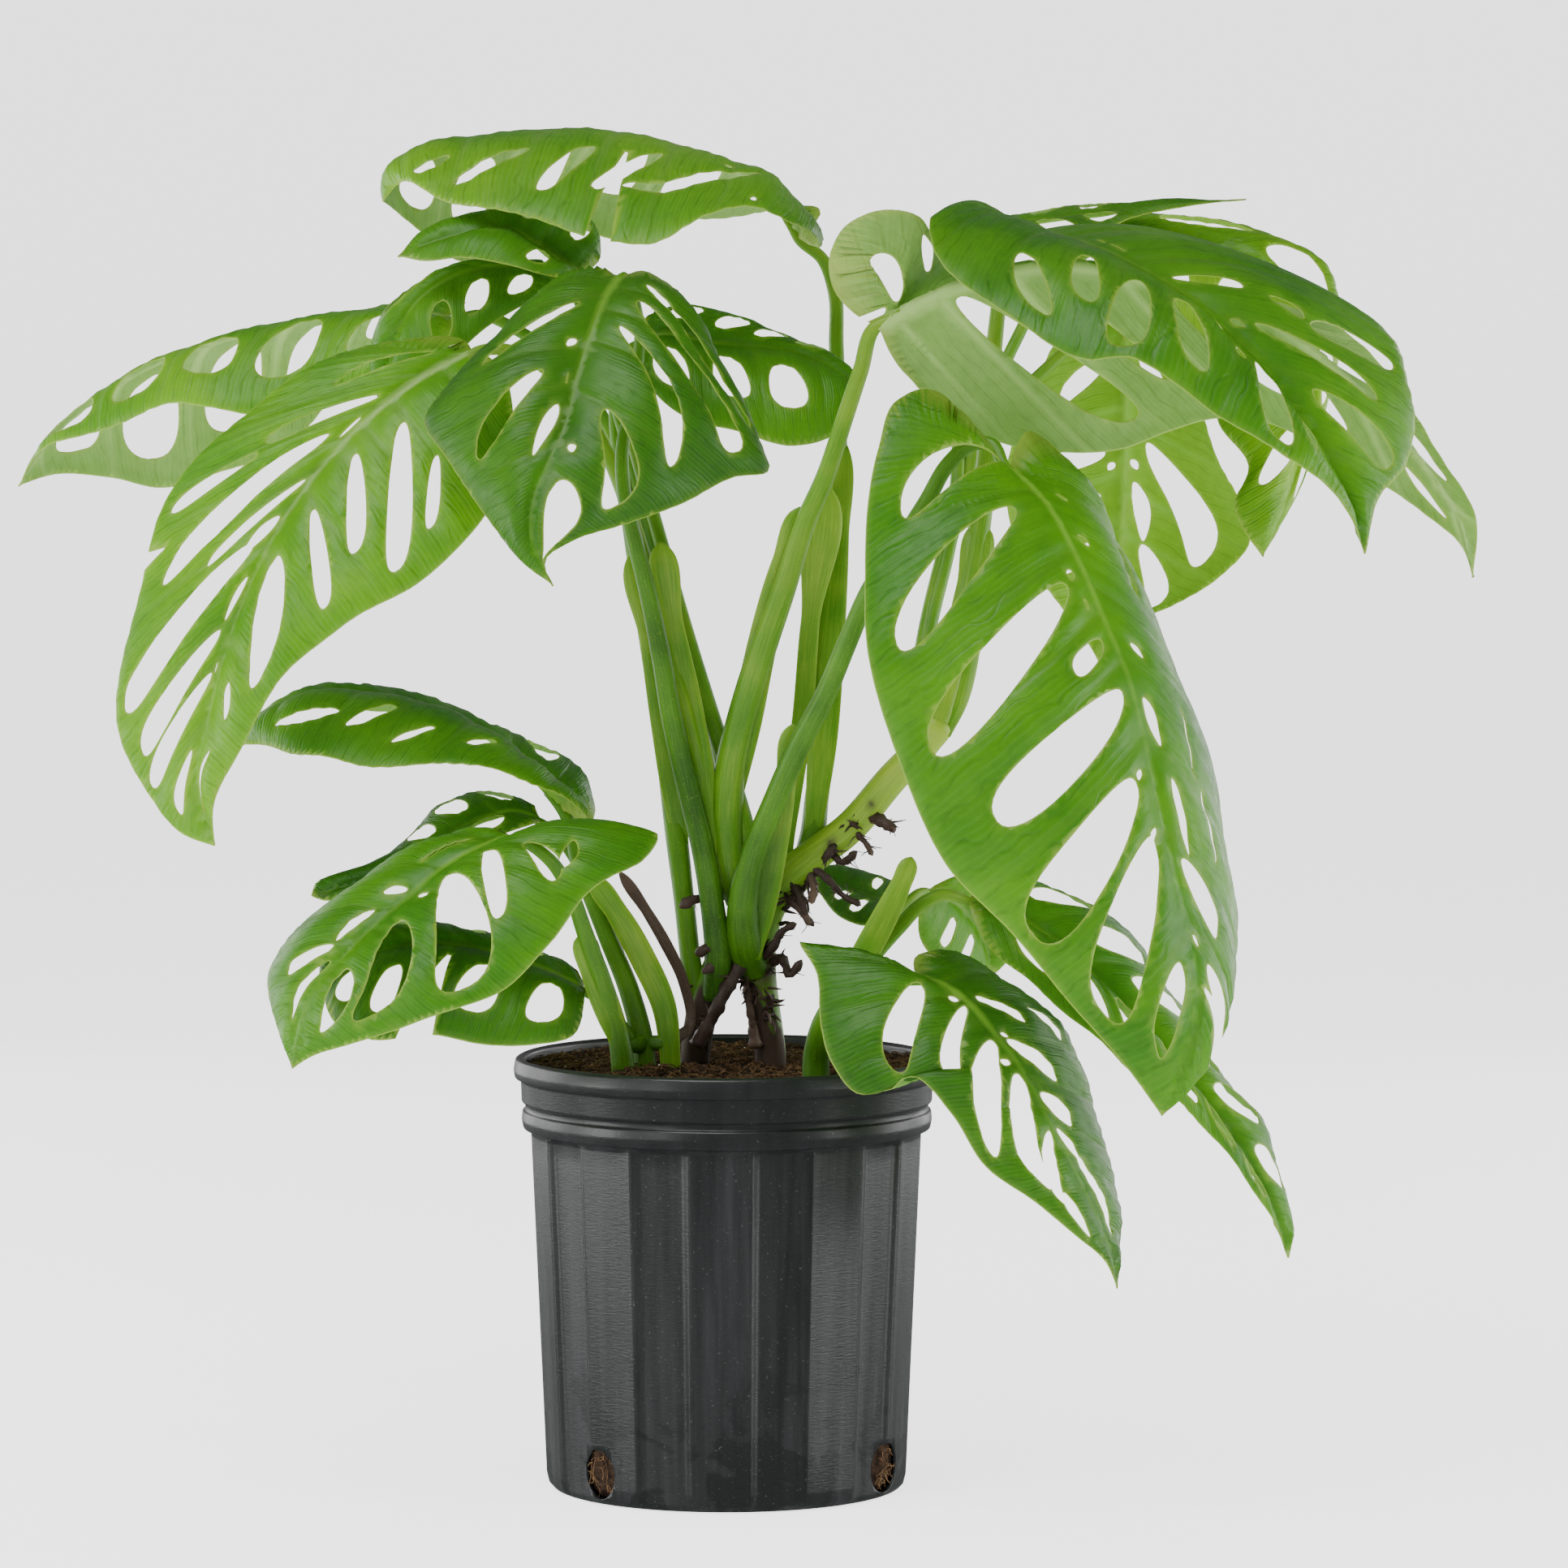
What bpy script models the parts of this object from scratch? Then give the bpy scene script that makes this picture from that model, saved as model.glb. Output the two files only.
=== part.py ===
"""A large hole-leaved climbing houseplant with long arching stalks, standing in a black
ribbed nursery pot filled with brown potting mix. Everything is in one frame: the origin is
the centre of the pot's underside, +Z is up and the front is -Y."""
import bmesh
import bpy
import numpy as np
from mathutils import Vector
from mathutils.geometry import delaunay_2d_cdt

MM = 0.001

# pot, in mm; rows are (radius, height, share of the flute depth)
FLUTES = 10
FLUTE_DEPTH = 2.5
FLUTE_TURN = 16.5     # degrees from the front to the middle of the first flute
POT_ROWS = [
    (0, 0, 0), (100.5, 0, 0), (103.6, 3.2, 0.6), (105.2, 9.5, 1), (105.8, 24, 1),
    (113.8, 204.8, 1), (113.9, 207.4, 0), (117.8, 208.6, 0), (118.8, 213.5, 0), (118.4, 218.6, 0),
    (116.7, 219.6, 0), (116.8, 222.8, 0), (118.9, 224.2, 0), (119.3, 236.6, 0), (122.8, 238, 0),
    (123.5, 242.5, 0), (122.4, 248.5, 0), (119.6, 250, 0), (116.9, 248.2, 0), (116.2, 238, 0),
    (111.7, 207, 0),
    (111.6, 204.4, 1), (103.6, 24, 1), (103.0, 10, 1), (100.9, 4.8, 0.6), (98.5, 2.4, 0), (0, 2.4, 0),
]
DRAIN_HOLES = (-44.5, 61.5, 135.5, -118.5)   # degrees from the front, to the right
DRAIN_CORNERS = 12

# potting mix; share -1 marks the rows of its heaped top
SOIL_GAP = 0.4
SOIL_TOP_RADIUS = 116.0
SOIL_LEVEL = 244.5
SOIL_ROWS = [
    (0, 244.5, -1), (28, 244.5, -1), (56, 244.5, -1), (84, 244.5, -1), (112, 244.1, -1), (116.0, 242, 0),
    (111.3, 207, 0), (111.2, 204.4, 1), (103.2, 24, 1), (102.6, 10.1, 1), (100.4, 5.2, 0.6),
    (98.2, 2.8, 0), (0, 2.8, 0),
]
STEM_FOOT = 212.0
STEM_HOLES = [(25, 2, 9.6), (-18, -2, 9.1), (-61, -48, 7.0), (-48, -32, 7.0), (-33, -37, 6.5),
        (52, -58, 8.0)]

# blades
BLADE = 1.2          # thickness, mm
RIB = 2.0            # how far the midrib stands out beneath at the foot, mm
EDGE_POINTS = 15
RIB_POINTS = 7
SMALLEST_HOLE = 7    # holes up to this many mm wide are left out

# The shape is laid out from the front: a point is written (across, depth, height) in
# millimetres as it lines up from an eye 4.2 m away; depth is positive to the back.
EYE = (33.0, -4200.0, 700.0)

HALF_LEAF = [(0.0, 0.015), (-0.05, 0.10), (-0.12, 0.26), (-0.11, 0.38), (-0.02, 0.45), (0.15, 0.48),
             (0.34, 0.46), (0.52, 0.39), (0.68, 0.28), (0.82, 0.16), (0.93, 0.05), (1.0, 0.0)]
LOBE = 0.12        # share of the margin whose veins all start at the foot of the midrib
SIDES = ("left", "right")


def seen(points):
    """move points from where they line up in the front view to where they stand"""
    p = np.array(points, float)
    eye = np.array(EYE)
    grow = (p[:, 1:2] - eye[1]) / -eye[1]
    out = p.copy()
    out[:, 0:1] = eye[0] + (p[:, 0:1] - eye[0]) * grow
    out[:, 2:3] = eye[2] + (p[:, 2:3] - eye[2]) * grow
    return out


def smooth(points, count):
    """count points spaced evenly along a smooth curve through the given points"""
    p = np.asarray(points, float)
    step = np.linalg.norm(np.diff(p, axis=0), axis=1)
    t = np.concatenate([[0.0], np.cumsum(step)])
    slope = np.diff(p, axis=0) / step[:, None]
    m = np.empty_like(p)
    m[1:-1] = (slope[:-1] * step[1:, None] + slope[1:] * step[:-1, None]) / (step[1:] + step[:-1])[:,
            None]
    m[0], m[-1] = slope[0], slope[-1]
    fine = np.linspace(0, t[-1], 600)
    k = np.clip(np.searchsorted(t, fine, "right") - 1, 0, len(p) - 2)
    u = ((fine - t[k]) / step[k])[:, None]
    h = step[k][:, None]
    q = ((2*u**3 - 3*u**2 + 1) * p[k] + (u**3 - 2*u**2 + u) * h * m[k]
         + (3*u**2 - 2*u**3) * p[k + 1] + (u**3 - u**2) * h * m[k + 1])
    run = np.concatenate([[0.0], np.cumsum(np.linalg.norm(np.diff(q, axis=0), axis=1))])
    want = np.linspace(0, run[-1], count)
    return np.stack([np.interp(want, run, q[:, i]) for i in range(p.shape[1])], 1)


def along(curve, share):
    """the point a share of the way along an evenly spaced curve"""
    grid = np.linspace(0, 1, len(curve))
    return np.stack([np.interp(share, grid, curve[:, i]) for i in range(curve.shape[1])], -1)


def unit(v):
    return v / np.maximum(np.linalg.norm(v, axis=-1, keepdims=True), 1e-9)


class Blade:
    """one leaf: a point is named by its side, its vein p (0 notch to 1 tip) and how far out q"""

    def __init__(self, leaf):
        self.leaf = leaf
        self.sweep = leaf.get("sweep", (1.7, 1.7))
        self.grids = {}
        mid = seen(leaf["midrib"])
        self.mid = smooth(mid, 121)
        self.length = np.linalg.norm(np.diff(self.mid, axis=0), axis=1).sum()
        edges = [seen(leaf[side]) for side in SIDES]
        apart = unit(edges[0][0] - edges[1][0])
        self.edge = []
        for edge, sign in zip(edges, (1, -1)):
            corner = mid[0] + apart * sign * 2.5
            self.edge.append(smooth(np.vstack([corner, edge, mid[-1]]), 241))
        self.tangent = unit(np.gradient(self.mid, axis=0))
        for side, sign in ((0, 1), (1, -1)):
            self.edge[side] = self.opened(self.edge[side], self.edge[0][72] - self.edge[1][72], sign)
        ups = []
        for share in np.linspace(0, 1, 121):
            p = np.clip(self.vein_of(0, share), 0.35, 0.93), np.clip(self.vein_of(1, share), 0.35, 0.93)
            t = self.tangent[int(round(share * 120))]
            m = along(self.mid, share)
            left = unit(along(self.edge[0], p[0]) - m)
            right = unit(along(self.edge[1], p[1]) - m)
            ups.append(unit(unit(np.cross(left, t)) + unit(np.cross(t, right))))
        ups = np.array(ups)
        wide = np.array([ups[max(0, i - 15):i + 16].mean(0) for i in range(121)])
        self.up = unit(wide - self.tangent * np.sum(wide * self.tangent, 1, keepdims=True))

    def opened(self, edge, across, sign):
        """keep the margin turning one way round the foot, so that no vein crosses it there"""
        up = unit(np.cross(across, self.tangent[6]))
        reach = edge[:37] - self.mid[0]
        turn = np.sum(np.cross(reach, np.diff(edge[:38], axis=0)) * up, 1) * sign
        wrong = np.nonzero(turn[1:] < 0.04 * np.linalg.norm(reach[1:], axis=1))[0]
        if not len(wrong):
            return edge
        last = int(wrong[-1]) + 3
        t = np.linspace(0, 1, last + 1)[:, None]
        chord = edge[last] - edge[0]
        out = edge.copy()
        out[:last + 1] = edge[0] + chord * t - sign * 0.07 * np.sin(np.pi * t) * np.cross(up, chord)
        moved = np.linalg.norm(out - edge, axis=1).max()
        return out if moved < 4 else edge

    def start_of(self, side, p):
        """where on the midrib, as a share of its length, vein p leaves it"""
        return np.clip((np.asarray(p) - LOBE) / (1 - LOBE), 0, 1) ** self.sweep[side]

    def vein_of(self, side, share):
        return LOBE + (1 - LOBE) * np.asarray(share) ** (1 / self.sweep[side])

    def point(self, side, p, q):
        p, q = np.asarray(p, float), np.asarray(q, float)
        share = self.start_of(side, p)
        m, e = along(self.mid, share), along(self.edge[side], p)
        up = unit(along(self.up, share))
        chord = e - m
        size = np.linalg.norm(chord, axis=-1, keepdims=True)
        way = chord / np.maximum(size, 1e-6)
        lift = unit(up - way * np.sum(up * way, -1, keepdims=True))
        bow = self.leaf.get("bow", (0.16, 0.16))[side]
        q = q[..., None]
        wave = self.leaf.get("wave", 0.0) * np.sin(p * 34 + 2.0 * side)[...,
                None] * q**3 * np.sin(np.pi * p)[..., None]
        shape = 4 * q * (1 - q) * (1.25 - 0.5 * q)
        return m + chord * q + lift * (shape * bow * size + wave * np.minimum(size / 60, 1))

    def find(self, side, x, z):
        """the vein and how far out of the spot that lines up with (x, z) in the front view"""
        if side not in self.grids:
            p, q = np.meshgrid(np.linspace(0.01, 0.99, 197), np.linspace(0, 1, 61), indexing="ij")
            at = self.point(side, p, q)
            shrink = -EYE[1] / (at[..., 1] - EYE[1])
            self.grids[side] = (p, q, EYE[0] + (at[..., 0] - EYE[0]) * shrink,
                                EYE[2] + (at[..., 2] - EYE[2]) * shrink)
        p, q, gx, gz = self.grids[side]
        near = np.argmin((gx - x) ** 2 + (gz - z) ** 2)
        return p.flat[near], q.flat[near]

    def stretch(self, side, p, q):
        """millimetres for one whole step of the vein number, and of the distance out"""
        step = 0.01
        a, b = self.point(side, p - step, q), self.point(side, p + step, q)
        c, d = self.point(side, p, q - step), self.point(side, p, q + step)
        return np.linalg.norm(b - a) / (2 * step), np.linalg.norm(d - c) / (2 * step)

    def slant(self, side, ends):
        """sine of the angle at which a window between two ends meets the run of the margin"""
        p, q = ends.mean(0)
        run = unit(self.point(side, p + 0.01, q) - self.point(side, p - 0.01, q))
        way = unit(self.point(side, *ends[1]) - self.point(side, *ends[0]))
        return np.sqrt(max(1 - float(run @ way) ** 2, 0))


def flat(side, p, q, sweep):
    """the same point on a plain flat leaf one unit long, to lay its triangles out on"""
    half = smooth([(x, y, 0) for x, y in HALF_LEAF], 241)
    e = along(half, p)
    share = np.clip((np.asarray(p) - LOBE) / (1 - LOBE), 0, 1) ** sweep[side]
    sign = -1 if side == 0 else 1
    x = share + (e[..., 0] - share) * q
    y = sign * e[..., 1] * q
    return np.stack([x, y], -1)


def ring(blade, side, window, corners):
    """corners, as (vein, how far out), round one window or hole of a leaf.
    A window is (vein, inner end, outer end, half width), or, as lined up in the front view,
    its two ends and its width (x, z, x, z, width); a round hole is (x, z, width)"""
    if len(window) == 4:
        p, inner, outer, half = window
        ends = np.array([(p, inner), (p, outer)])
    else:
        ends = np.array([blade.find(side, *window[:2]), blade.find(side, *window[-3:-1])])
        half = window[-1] / 2 / blade.stretch(side, *ends.mean(0))[0]
        if len(window) == 5:
            half /= max(blade.slant(side, ends), 0.3)
        if len(window) == 3:
            reach = window[-1] / 2 / blade.stretch(side, *ends.mean(0))[1]
            ends += np.array([(0, -reach), (0, reach)])
    ends[:, 1] = np.clip(ends[:, 1], 0.045, 0.925)
    middle, reach = ends.mean(0), (ends[1] - ends[0]) / 2
    out = []
    for i in range(corners):
        a = 2 * np.pi * (i + 0.5) / corners
        c, s = np.cos(a), np.sin(a)
        c, s = np.sign(c) * abs(c) ** 0.8, np.sign(s) * abs(s) ** 0.8
        out.append((middle[0] + reach[0] * c + half * s * (0.90 + 0.16 * c), middle[1] + reach[1] * c))
    return out


def row(first, last, count, inner=0.16, outer=0.86, wide=0.40, seed=0):
    """a row of windows between the veins from first to last, closer together to the tip"""
    rng = np.random.default_rng(seed)
    at = first + (last - first) * np.linspace(0, 1, count) ** 0.88
    gap = np.gradient(at) if count > 1 else np.array([0.12])
    out = []
    for p, g in zip(at, gap):
        out.append((p, inner + 0.10 * rng.random(), outer - 0.10 * rng.random(), wide * g))
    return out


# every leaf: its midrib and margins as (across, depth, height) from the foot to the tip, how the
# veins sweep, how far each half arches, and its windows
LEAVES = {
    "leaf_front_large": dict(
        midrib=[(161, -118, 592), (184, -135, 569), (203, -146, 536), (219, -153, 499), (231, -158, 471),
                (240, -162, 438), (250, -166, 391), (261, -168, 345), (271, -168, 298),
                (266, -165, 255), (252, -160, 214)],
        left=[(135, -112, 622), (117, -115, 635), (98, -125, 629), (87, -140, 600), (79, -158, 523),
                (81, -170, 482),
              (96, -180, 430), (128, -186, 358), (164, -187, 321), (197, -184, 281), (230, -176, 244)],
        right=[(173, -102, 611), (204, -90, 588), (233, -82, 530), (258, -80, 467), (282, -82, 399),
                (291, -90, 350),
               (295, -104, 315), (292, -120, 276), (279, -140, 243)],
        sweep=(1.9, 1.75), bow=(0.10, 0.12), wave=2.0,
        left_windows=[(157, 594, 101, 568, 20), (166, 566, 97, 489, 26), (196, 521, 117, 429, 30),
                      (217, 490, 199, 473, 13), (229, 459, 155, 386, 31), (237, 407, 175, 320, 35),
                      (249, 371, 217, 275, 33), (265, 299, 248, 255, 17), (200, 530, 7), (208, 512, 6),
                      (238, 413, 5), (246, 379, 6)],
        right_windows=[(239, 453, 251, 438, 13), (236, 485, 8), (247, 411, 6), (252, 390, 5),
                       (257, 402, 265, 378, 11), (263, 358, 283, 326, 16), (270, 317, 6),
                       (278, 300, 285, 257, 15),
                       (262, 446, 270, 418, 8), (275, 400, 281, 366, 7), (206, 547, 6),
                       (192, 572, 5), (222, 548, 234, 520, 9)],
        right_slits=[(0.89, 0.15, 0.022)]),
    "leaf_left_lower": dict(
        midrib=[(-145, -42, 657), (-175, -55, 641), (-211, -68, 613), (-239, -80, 582), (-262, -90, 547),
                (-285, -98, 495), (-298, -102, 450), (-306, -104, 412), (-296, -104, 371)],
        left=[(-150, -34, 663), (-187, -36, 664), (-244, -50, 645), (-281, -62, 617),
                (-326, -74, 566), (-337, -80, 520),
              (-350, -86, 475), (-350, -92, 435), (-334, -98, 401), (-314, -102, 378)],
        right=[(-132, -52, 650), (-122, -70, 615), (-138, -92, 563), (-178, -108, 523),
                (-220, -116, 499), (-252, -118, 473),
               (-282, -116, 424), (-296, -110, 394)],
        sweep=(1.9, 1.25), bow=(0.06, 0.08), wave=1.5,
        left_windows=[(-229, 607, -324, 527, 13), (-270, 597, -322, 565, 8), (-242, 582, -299, 534, 5),
                      (-273, 543, -350, 450, 16), (-252, 559, -276, 546, 8), (-292, 494, -337, 425, 12),
                      (-270, 523, -287, 508, 6), (-296, 469, -332, 406, 10), (-170, 655, -222, 640, 6),
                      (-200, 630, -264, 606, 6), (-266, 540, 6), (-207, 616, -218, 612, 6),
                      (-292, 477, 6),
                      (-308, 424, -317, 392, 6)],
        right_windows=[(-167, 597, -170, 556, 8), (-186, 615, -189, 531, 15), (-214, 598, -213, 541, 12),
                       (-239, 565, -230, 509, 11), (-263, 535, -268, 470, 20), (-288, 464, -287, 448, 6),
                       (-299, 424, -304, 396, 6)],
        left_slits=[(0.575, 0.90, 0.012)]),
    "leaf_left_upper": dict(
        midrib=[(-160, 78, 676), (-190, 84, 681), (-218, 88, 679), (-250, 92, 674), (-290, 96, 663),
                (-325, 98, 651),
                (-355, 98, 634), (-385, 96, 610), (-408, 94, 579)],
        left=[(-150, 95, 684), (-175, 132, 672), (-215, 152, 640), (-262, 160, 596), (-300, 158, 584),
                (-328, 152, 578),
              (-352, 140, 583), (-384, 118, 586)],
        right=[(-152, 60, 668), (-178, 38, 652), (-225, 34, 634), (-275, 40, 620), (-300, 46, 624),
                (-318, 52, 628),
               (-345, 64, 616), (-372, 76, 608), (-394, 86, 600)],
        sweep=(1.5, 1.5), bow=(0.17, 0.17), wave=1.5,
        left_windows=row(0.28, 0.86, 5, 0.20, 0.84, 0.36, 5),
        right_windows=row(0.28, 0.86, 5, 0.22, 0.80, 0.36, 6)),
    "leaf_left_back": dict(
        midrib=[(-97, 4, 701), (-125, 2, 706), (-155, 0, 700), (-180, -2, 682), (-192, -4, 655),
                (-198, -6, 622)],
        left=[(-106, 18, 706), (-140, 26, 702), (-176, 26, 692), (-200, 18, 672), (-206, 6, 645)],
        right=[(-96, -8, 694), (-118, -14, 682), (-140, -16, 668), (-158, -16, 650), (-172, -14, 630),
                (-186, -12, 620)],
        sweep=(1.4, 1.4), bow=(0.16, 0.16),
        left_windows=row(0.34, 0.62, 2, 0.2, 0.8, 0.30, 7),
        right_windows=row(0.30, 0.62, 3, 0.2, 0.78, 0.32, 8)),
    "leaf_centre": dict(
        midrib=[(-60, -70, 701), (-70, -92, 686), (-78, -108, 666), (-87, -124, 638),
                (-92, -134, 616), (-101, -144, 596),
                (-111, -152, 572), (-113, -157, 550), (-100, -160, 521)],
        left=[(-70, -58, 703), (-92, -58, 700), (-122, -72, 677), (-152, -90, 646), (-175, -108, 617),
                (-161, -124, 594),
              (-139, -138, 561), (-120, -150, 537)],
        right=[(-48, -62, 704), (-34, -62, 697), (-15, -72, 676), (4, -88, 640), (20, -102, 605),
                (25, -110, 588),
               (3, -122, 583), (-24, -132, 569), (-60, -142, 556), (-90, -152, 546), (-104, -157, 536)],
        sweep=(1.5, 1.5), bow=(0.16, 0.16), wave=1.2,
        left_windows=[(-84, 684, -140, 650, 7), (-106, 644, -143, 596, 13), (-96, 622, -111, 604, 9),
                (-88, 662, 6),
                      (-90, 646, -92, 640, 6)],
        right_windows=[(-46, 694, 14, 612, 8), (-52, 684, 5, 598, 12), (-62, 670, -30, 591, 13),
                (-72, 621, -63, 567, 20),
                       (-101, 577, -98, 546, 25), (-89, 601, 5)]),
    "leaf_centre_right": dict(
        midrib=[(-52, 12, 662), (-35, 14, 666), (-8, 15, 661), (20, 15, 659), (46, 14, 654),
                (66, 12, 643), (74, 8, 625)],
        left=[(-50, -2, 655), (-44, -12, 636), (-25, -20, 619), (8, -24, 610), (36, -22, 602),
                (58, -14, 606), (72, -4, 616)],
        right=[(-50, 22, 670), (-34, 32, 682), (-4, 38, 680), (20, 40, 672), (44, 38, 660),
                (62, 30, 652), (74, 20, 642)],
        sweep=(1.35, 1.35), bow=(0.14, 0.18),
        left_windows=row(0.30, 0.70, 3, 0.18, 0.78, 0.34, 9),
        right_windows=row(0.30, 0.74, 4, 0.20, 0.80, 0.32, 10)),
    "leaf_top_left": dict(
        midrib=[(43, 44, 722), (22, 42, 750), (-8, 40, 768), (-45, 40, 779), (-90, 42, 784),
                (-135, 40, 781), (-172, 38, 774),
                (-194, 34, 763), (-198, 30, 742)],
        left=[(52, 42, 733), (40, 80, 740), (10, 108, 734), (-25, 120, 732), (-58, 124, 722),
                (-92, 120, 728), (-128, 108, 716),
              (-152, 92, 707), (-172, 70, 722), (-190, 50, 736)],
        right=[(54, -4, 716), (42, -34, 728), (18, -52, 740), (-12, -60, 734), (-46, -62, 719),
                (-72, -58, 719), (-106, -50, 733),
               (-140, -38, 738), (-162, -22, 743), (-184, 0, 754)],
        sweep=(1.3, 1.3), bow=(0.14, 0.12), wave=2.0,
        left_windows=row(0.26, 0.88, 6, 0.20, 0.84, 0.34, 11),
        right_windows=[(10, 758, -46, 748, 15), (-38, 770, -76, 750, 12), (-76, 774, -106, 748, 12),
                       (-116, 772, -156, 752, 10), (16, 744, 4), (2, 762, 4), (-160, 768, -178, 759, 7)],
        right_slits=[(0.555, 0.35, 0.020)]),
    "leaf_top_small": dict(
        midrib=[(-86, -18, 700), (-104, -22, 714), (-124, -26, 727), (-155, -26, 722), (-189, -24, 711)],
        left=[(-74, -6, 706), (-74, 8, 728), (-90, 14, 740), (-118, 8, 738), (-152, -2, 732),
                (-176, -12, 722)],
        right=[(-92, -32, 698), (-104, -46, 700), (-126, -52, 706), (-152, -46, 710), (-174, -36, 708)],
        sweep=(1.3, 1.3), bow=(0.20, 0.18),
        left_windows=[(0.30, 0.30, 0.78, 0.050), (0.52, 0.25, 0.78, 0.050)],
        right_windows=[(0.36, 0.30, 0.78, 0.050)]),
    "leaf_right_under": dict(
        midrib=[(87, -58, 669), (113, -60, 684), (139, -62, 696), (163, -62, 703), (197, -60, 706),
                (238, -54, 698),
                (280, -46, 688), (326, -38, 664), (366, -34, 630), (402, -34, 588), (422, -36, 556),
                (429, -38, 526)],
        left=[(80, -62, 676), (66, -64, 684), (58, -66, 704), (66, -62, 726), (88, -58, 737),
                (107, -52, 735), (118, -36, 722), (132, -12, 709),
              (160, 8, 702), (210, 22, 698), (262, 24, 693), (322, 12, 682), (372, -4, 652),
              (408, -20, 598), (431, -32, 560)],
        right=[(93, -60, 661), (111, -60, 633), (150, -58, 606), (195, -52, 598), (227, -48, 600),
                (254, -46, 610), (282, -44, 618),
               (318, -42, 612), (350, -42, 594), (380, -40, 577), (402, -40, 562), (422, -39, 544)],
        sweep=(1.9, 1.9), bow=(0.02, 0.02), wave=1.0,
        left_windows=[(97, 685, 86, 712, 14), (115, 702, 116, 724, 14),
                (89, 679, 4)] + row(0.40, 0.88, 5, 0.18, 0.82, 0.34, 14),
        right_windows=[(133, 687, 232, 616, 23), (190, 690, 254, 640, 9), (262, 686, 316, 632, 14),
                (318, 662, 352, 612, 13),
                       (394, 586, 409, 565, 8)]),
    "leaf_right_front": dict(
        midrib=[(163, 30, 716), (174, -14, 723), (194, -56, 722), (218, -88, 714), (244, -110, 701),
                (268, -124, 686), (290, -132, 666),
                (311, -138, 645), (331, -142, 616), (350, -144, 583), (368, -144, 540)],
        left=[(152, 18, 724), (140, -10, 730), (130, -44, 733), (117, -76, 732), (119, -98, 716),
                (138, -120, 693), (172, -144, 671),
              (208, -160, 651), (232, -168, 652), (262, -172, 636), (281, -174, 620),
              (318, -172, 598), (347, -162, 578), (360, -152, 560)],
        right=[(180, 30, 718), (208, 34, 721), (246, 16, 715), (284, -2, 706), (322, -22, 695),
                (356, -42, 680),
               (386, -64, 662), (392, -86, 637), (396, -104, 614), (390, -124, 589), (376, -138, 572)],
        sweep=(1.35, 1.6), bow=(0.16, 0.10), wave=1.5, right_inner=[(0.11, 0.62), (0.20, 0.70),
                (0.30, 0.78)],
        left_windows=[(172, 711, 178, 680, 18), (207, 711, 206, 686, 17), (236, 697, 227, 659, 25),
                      (262, 686, 269, 647, 17), (307, 648, 318, 605, 20), (332, 618, 337, 601, 6),
                      (297, 657, 8), (284, 672, 6)],
        right_windows=[(200, 719, 232, 712, 6), (252, 699, 296, 693, 7), (336, 671, 387, 645, 17),
                (304, 671, 372, 629, 10),
                       (338, 630, 383, 592, 18), (294, 673, 6), (312, 686, 330, 677, 7)]),
    "leaf_right_top": dict(
        midrib=[(126, 100, 716), (150, 100, 726), (182, 100, 732), (212, 100, 735), (240, 100, 739),
                (268, 98, 742), (298, 96, 744)],
        left=[(134, 80, 711), (158, 70, 713), (186, 68, 716), (208, 74, 722), (234, 86, 734),
                (260, 92, 739)],
        right=[(122, 118, 724), (140, 134, 730), (172, 140, 733), (200, 134, 739), (230, 118, 740),
                (262, 106, 742)],
        sweep=(1.3, 1.3), bow=(0.10, 0.10),
        left_windows=row(0.30, 0.60, 3, 0.2, 0.8, 0.30, 15),
        right_windows=row(0.30, 0.60, 3, 0.2, 0.8, 0.30, 16)),
    "leaf_right_back": dict(
        midrib=[(214, 112, 718), (236, 116, 722), (264, 116, 719), (300, 110, 706), (326, 98, 682),
                (336, 84, 645), (332, 68, 605),
                (322, 54, 570), (309, 44, 538)],
        left=[(216, 96, 706), (232, 82, 694), (258, 72, 678), (277, 64, 650), (283, 54, 614),
                (300, 48, 590), (292, 42, 568), (299, 42, 551)],
        right=[(216, 130, 727), (236, 148, 733), (272, 152, 731), (314, 146, 722), (344, 130, 707),
                (354, 108, 670), (346, 88, 628), (335, 70, 590), (322, 56, 560)],
        sweep=(1.35, 1.35), bow=(0.14, 0.14),
        left_windows=row(0.30, 0.80, 4, 0.18, 0.82, 0.34, 17),
        right_windows=row(0.30, 0.84, 4, 0.2, 0.82, 0.38, 18)),
    "leaf_back_bright": dict(
        midrib=[(228, 160, 678), (229, 164, 640), (228, 166, 600), (227, 166, 565), (224, 164, 531),
                (219, 160, 500), (214, 156, 477)],
        left=[(240, 158, 688), (260, 156, 674), (270, 154, 636), (282, 152, 596), (298, 152, 566),
                (302, 152, 548), (285, 152, 527),
              (258, 154, 510), (235, 155, 499)],
        right=[(214, 158, 686), (196, 154, 672), (174, 148, 628), (160, 144, 586), (164, 144, 552),
                (178, 146, 528),
               (190, 150, 512), (204, 153, 494)],
        sweep=(1.25, 1.25), bow=(0.10, 0.10),
        left_windows=[(241, 600, 277, 538, 19), (232, 577, 242, 553, 13), (237, 543, 247, 509, 16),
                (234, 592, 6),
                      (236, 658, 256, 620, 12)],
        right_windows=[(218, 598, 184, 590, 13), (215, 572, 182, 556, 14), (214, 545, 190, 530, 12),
                (222, 590, 5),
                       (218, 650, 192, 630, 13)]),
    "leaf_low_right_front": dict(
        midrib=[(107, -122, 296), (124, -130, 292), (140, -136, 281), (151, -140, 268),
                (165, -144, 250), (177, -146, 231),
                (188, -148, 209), (200, -148, 186), (210, -148, 165), (220, -147, 143),
                (227, -145, 114)],
        left=[(97, -118, 299), (78, -118, 301), (60, -114, 309), (42, -110, 317), (52, -124, 296),
                (54, -138, 268), (60, -148, 246), (76, -154, 227),
              (94, -156, 230), (103, -158, 238), (130, -162, 215), (150, -164, 185), (180, -162, 163),
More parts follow.
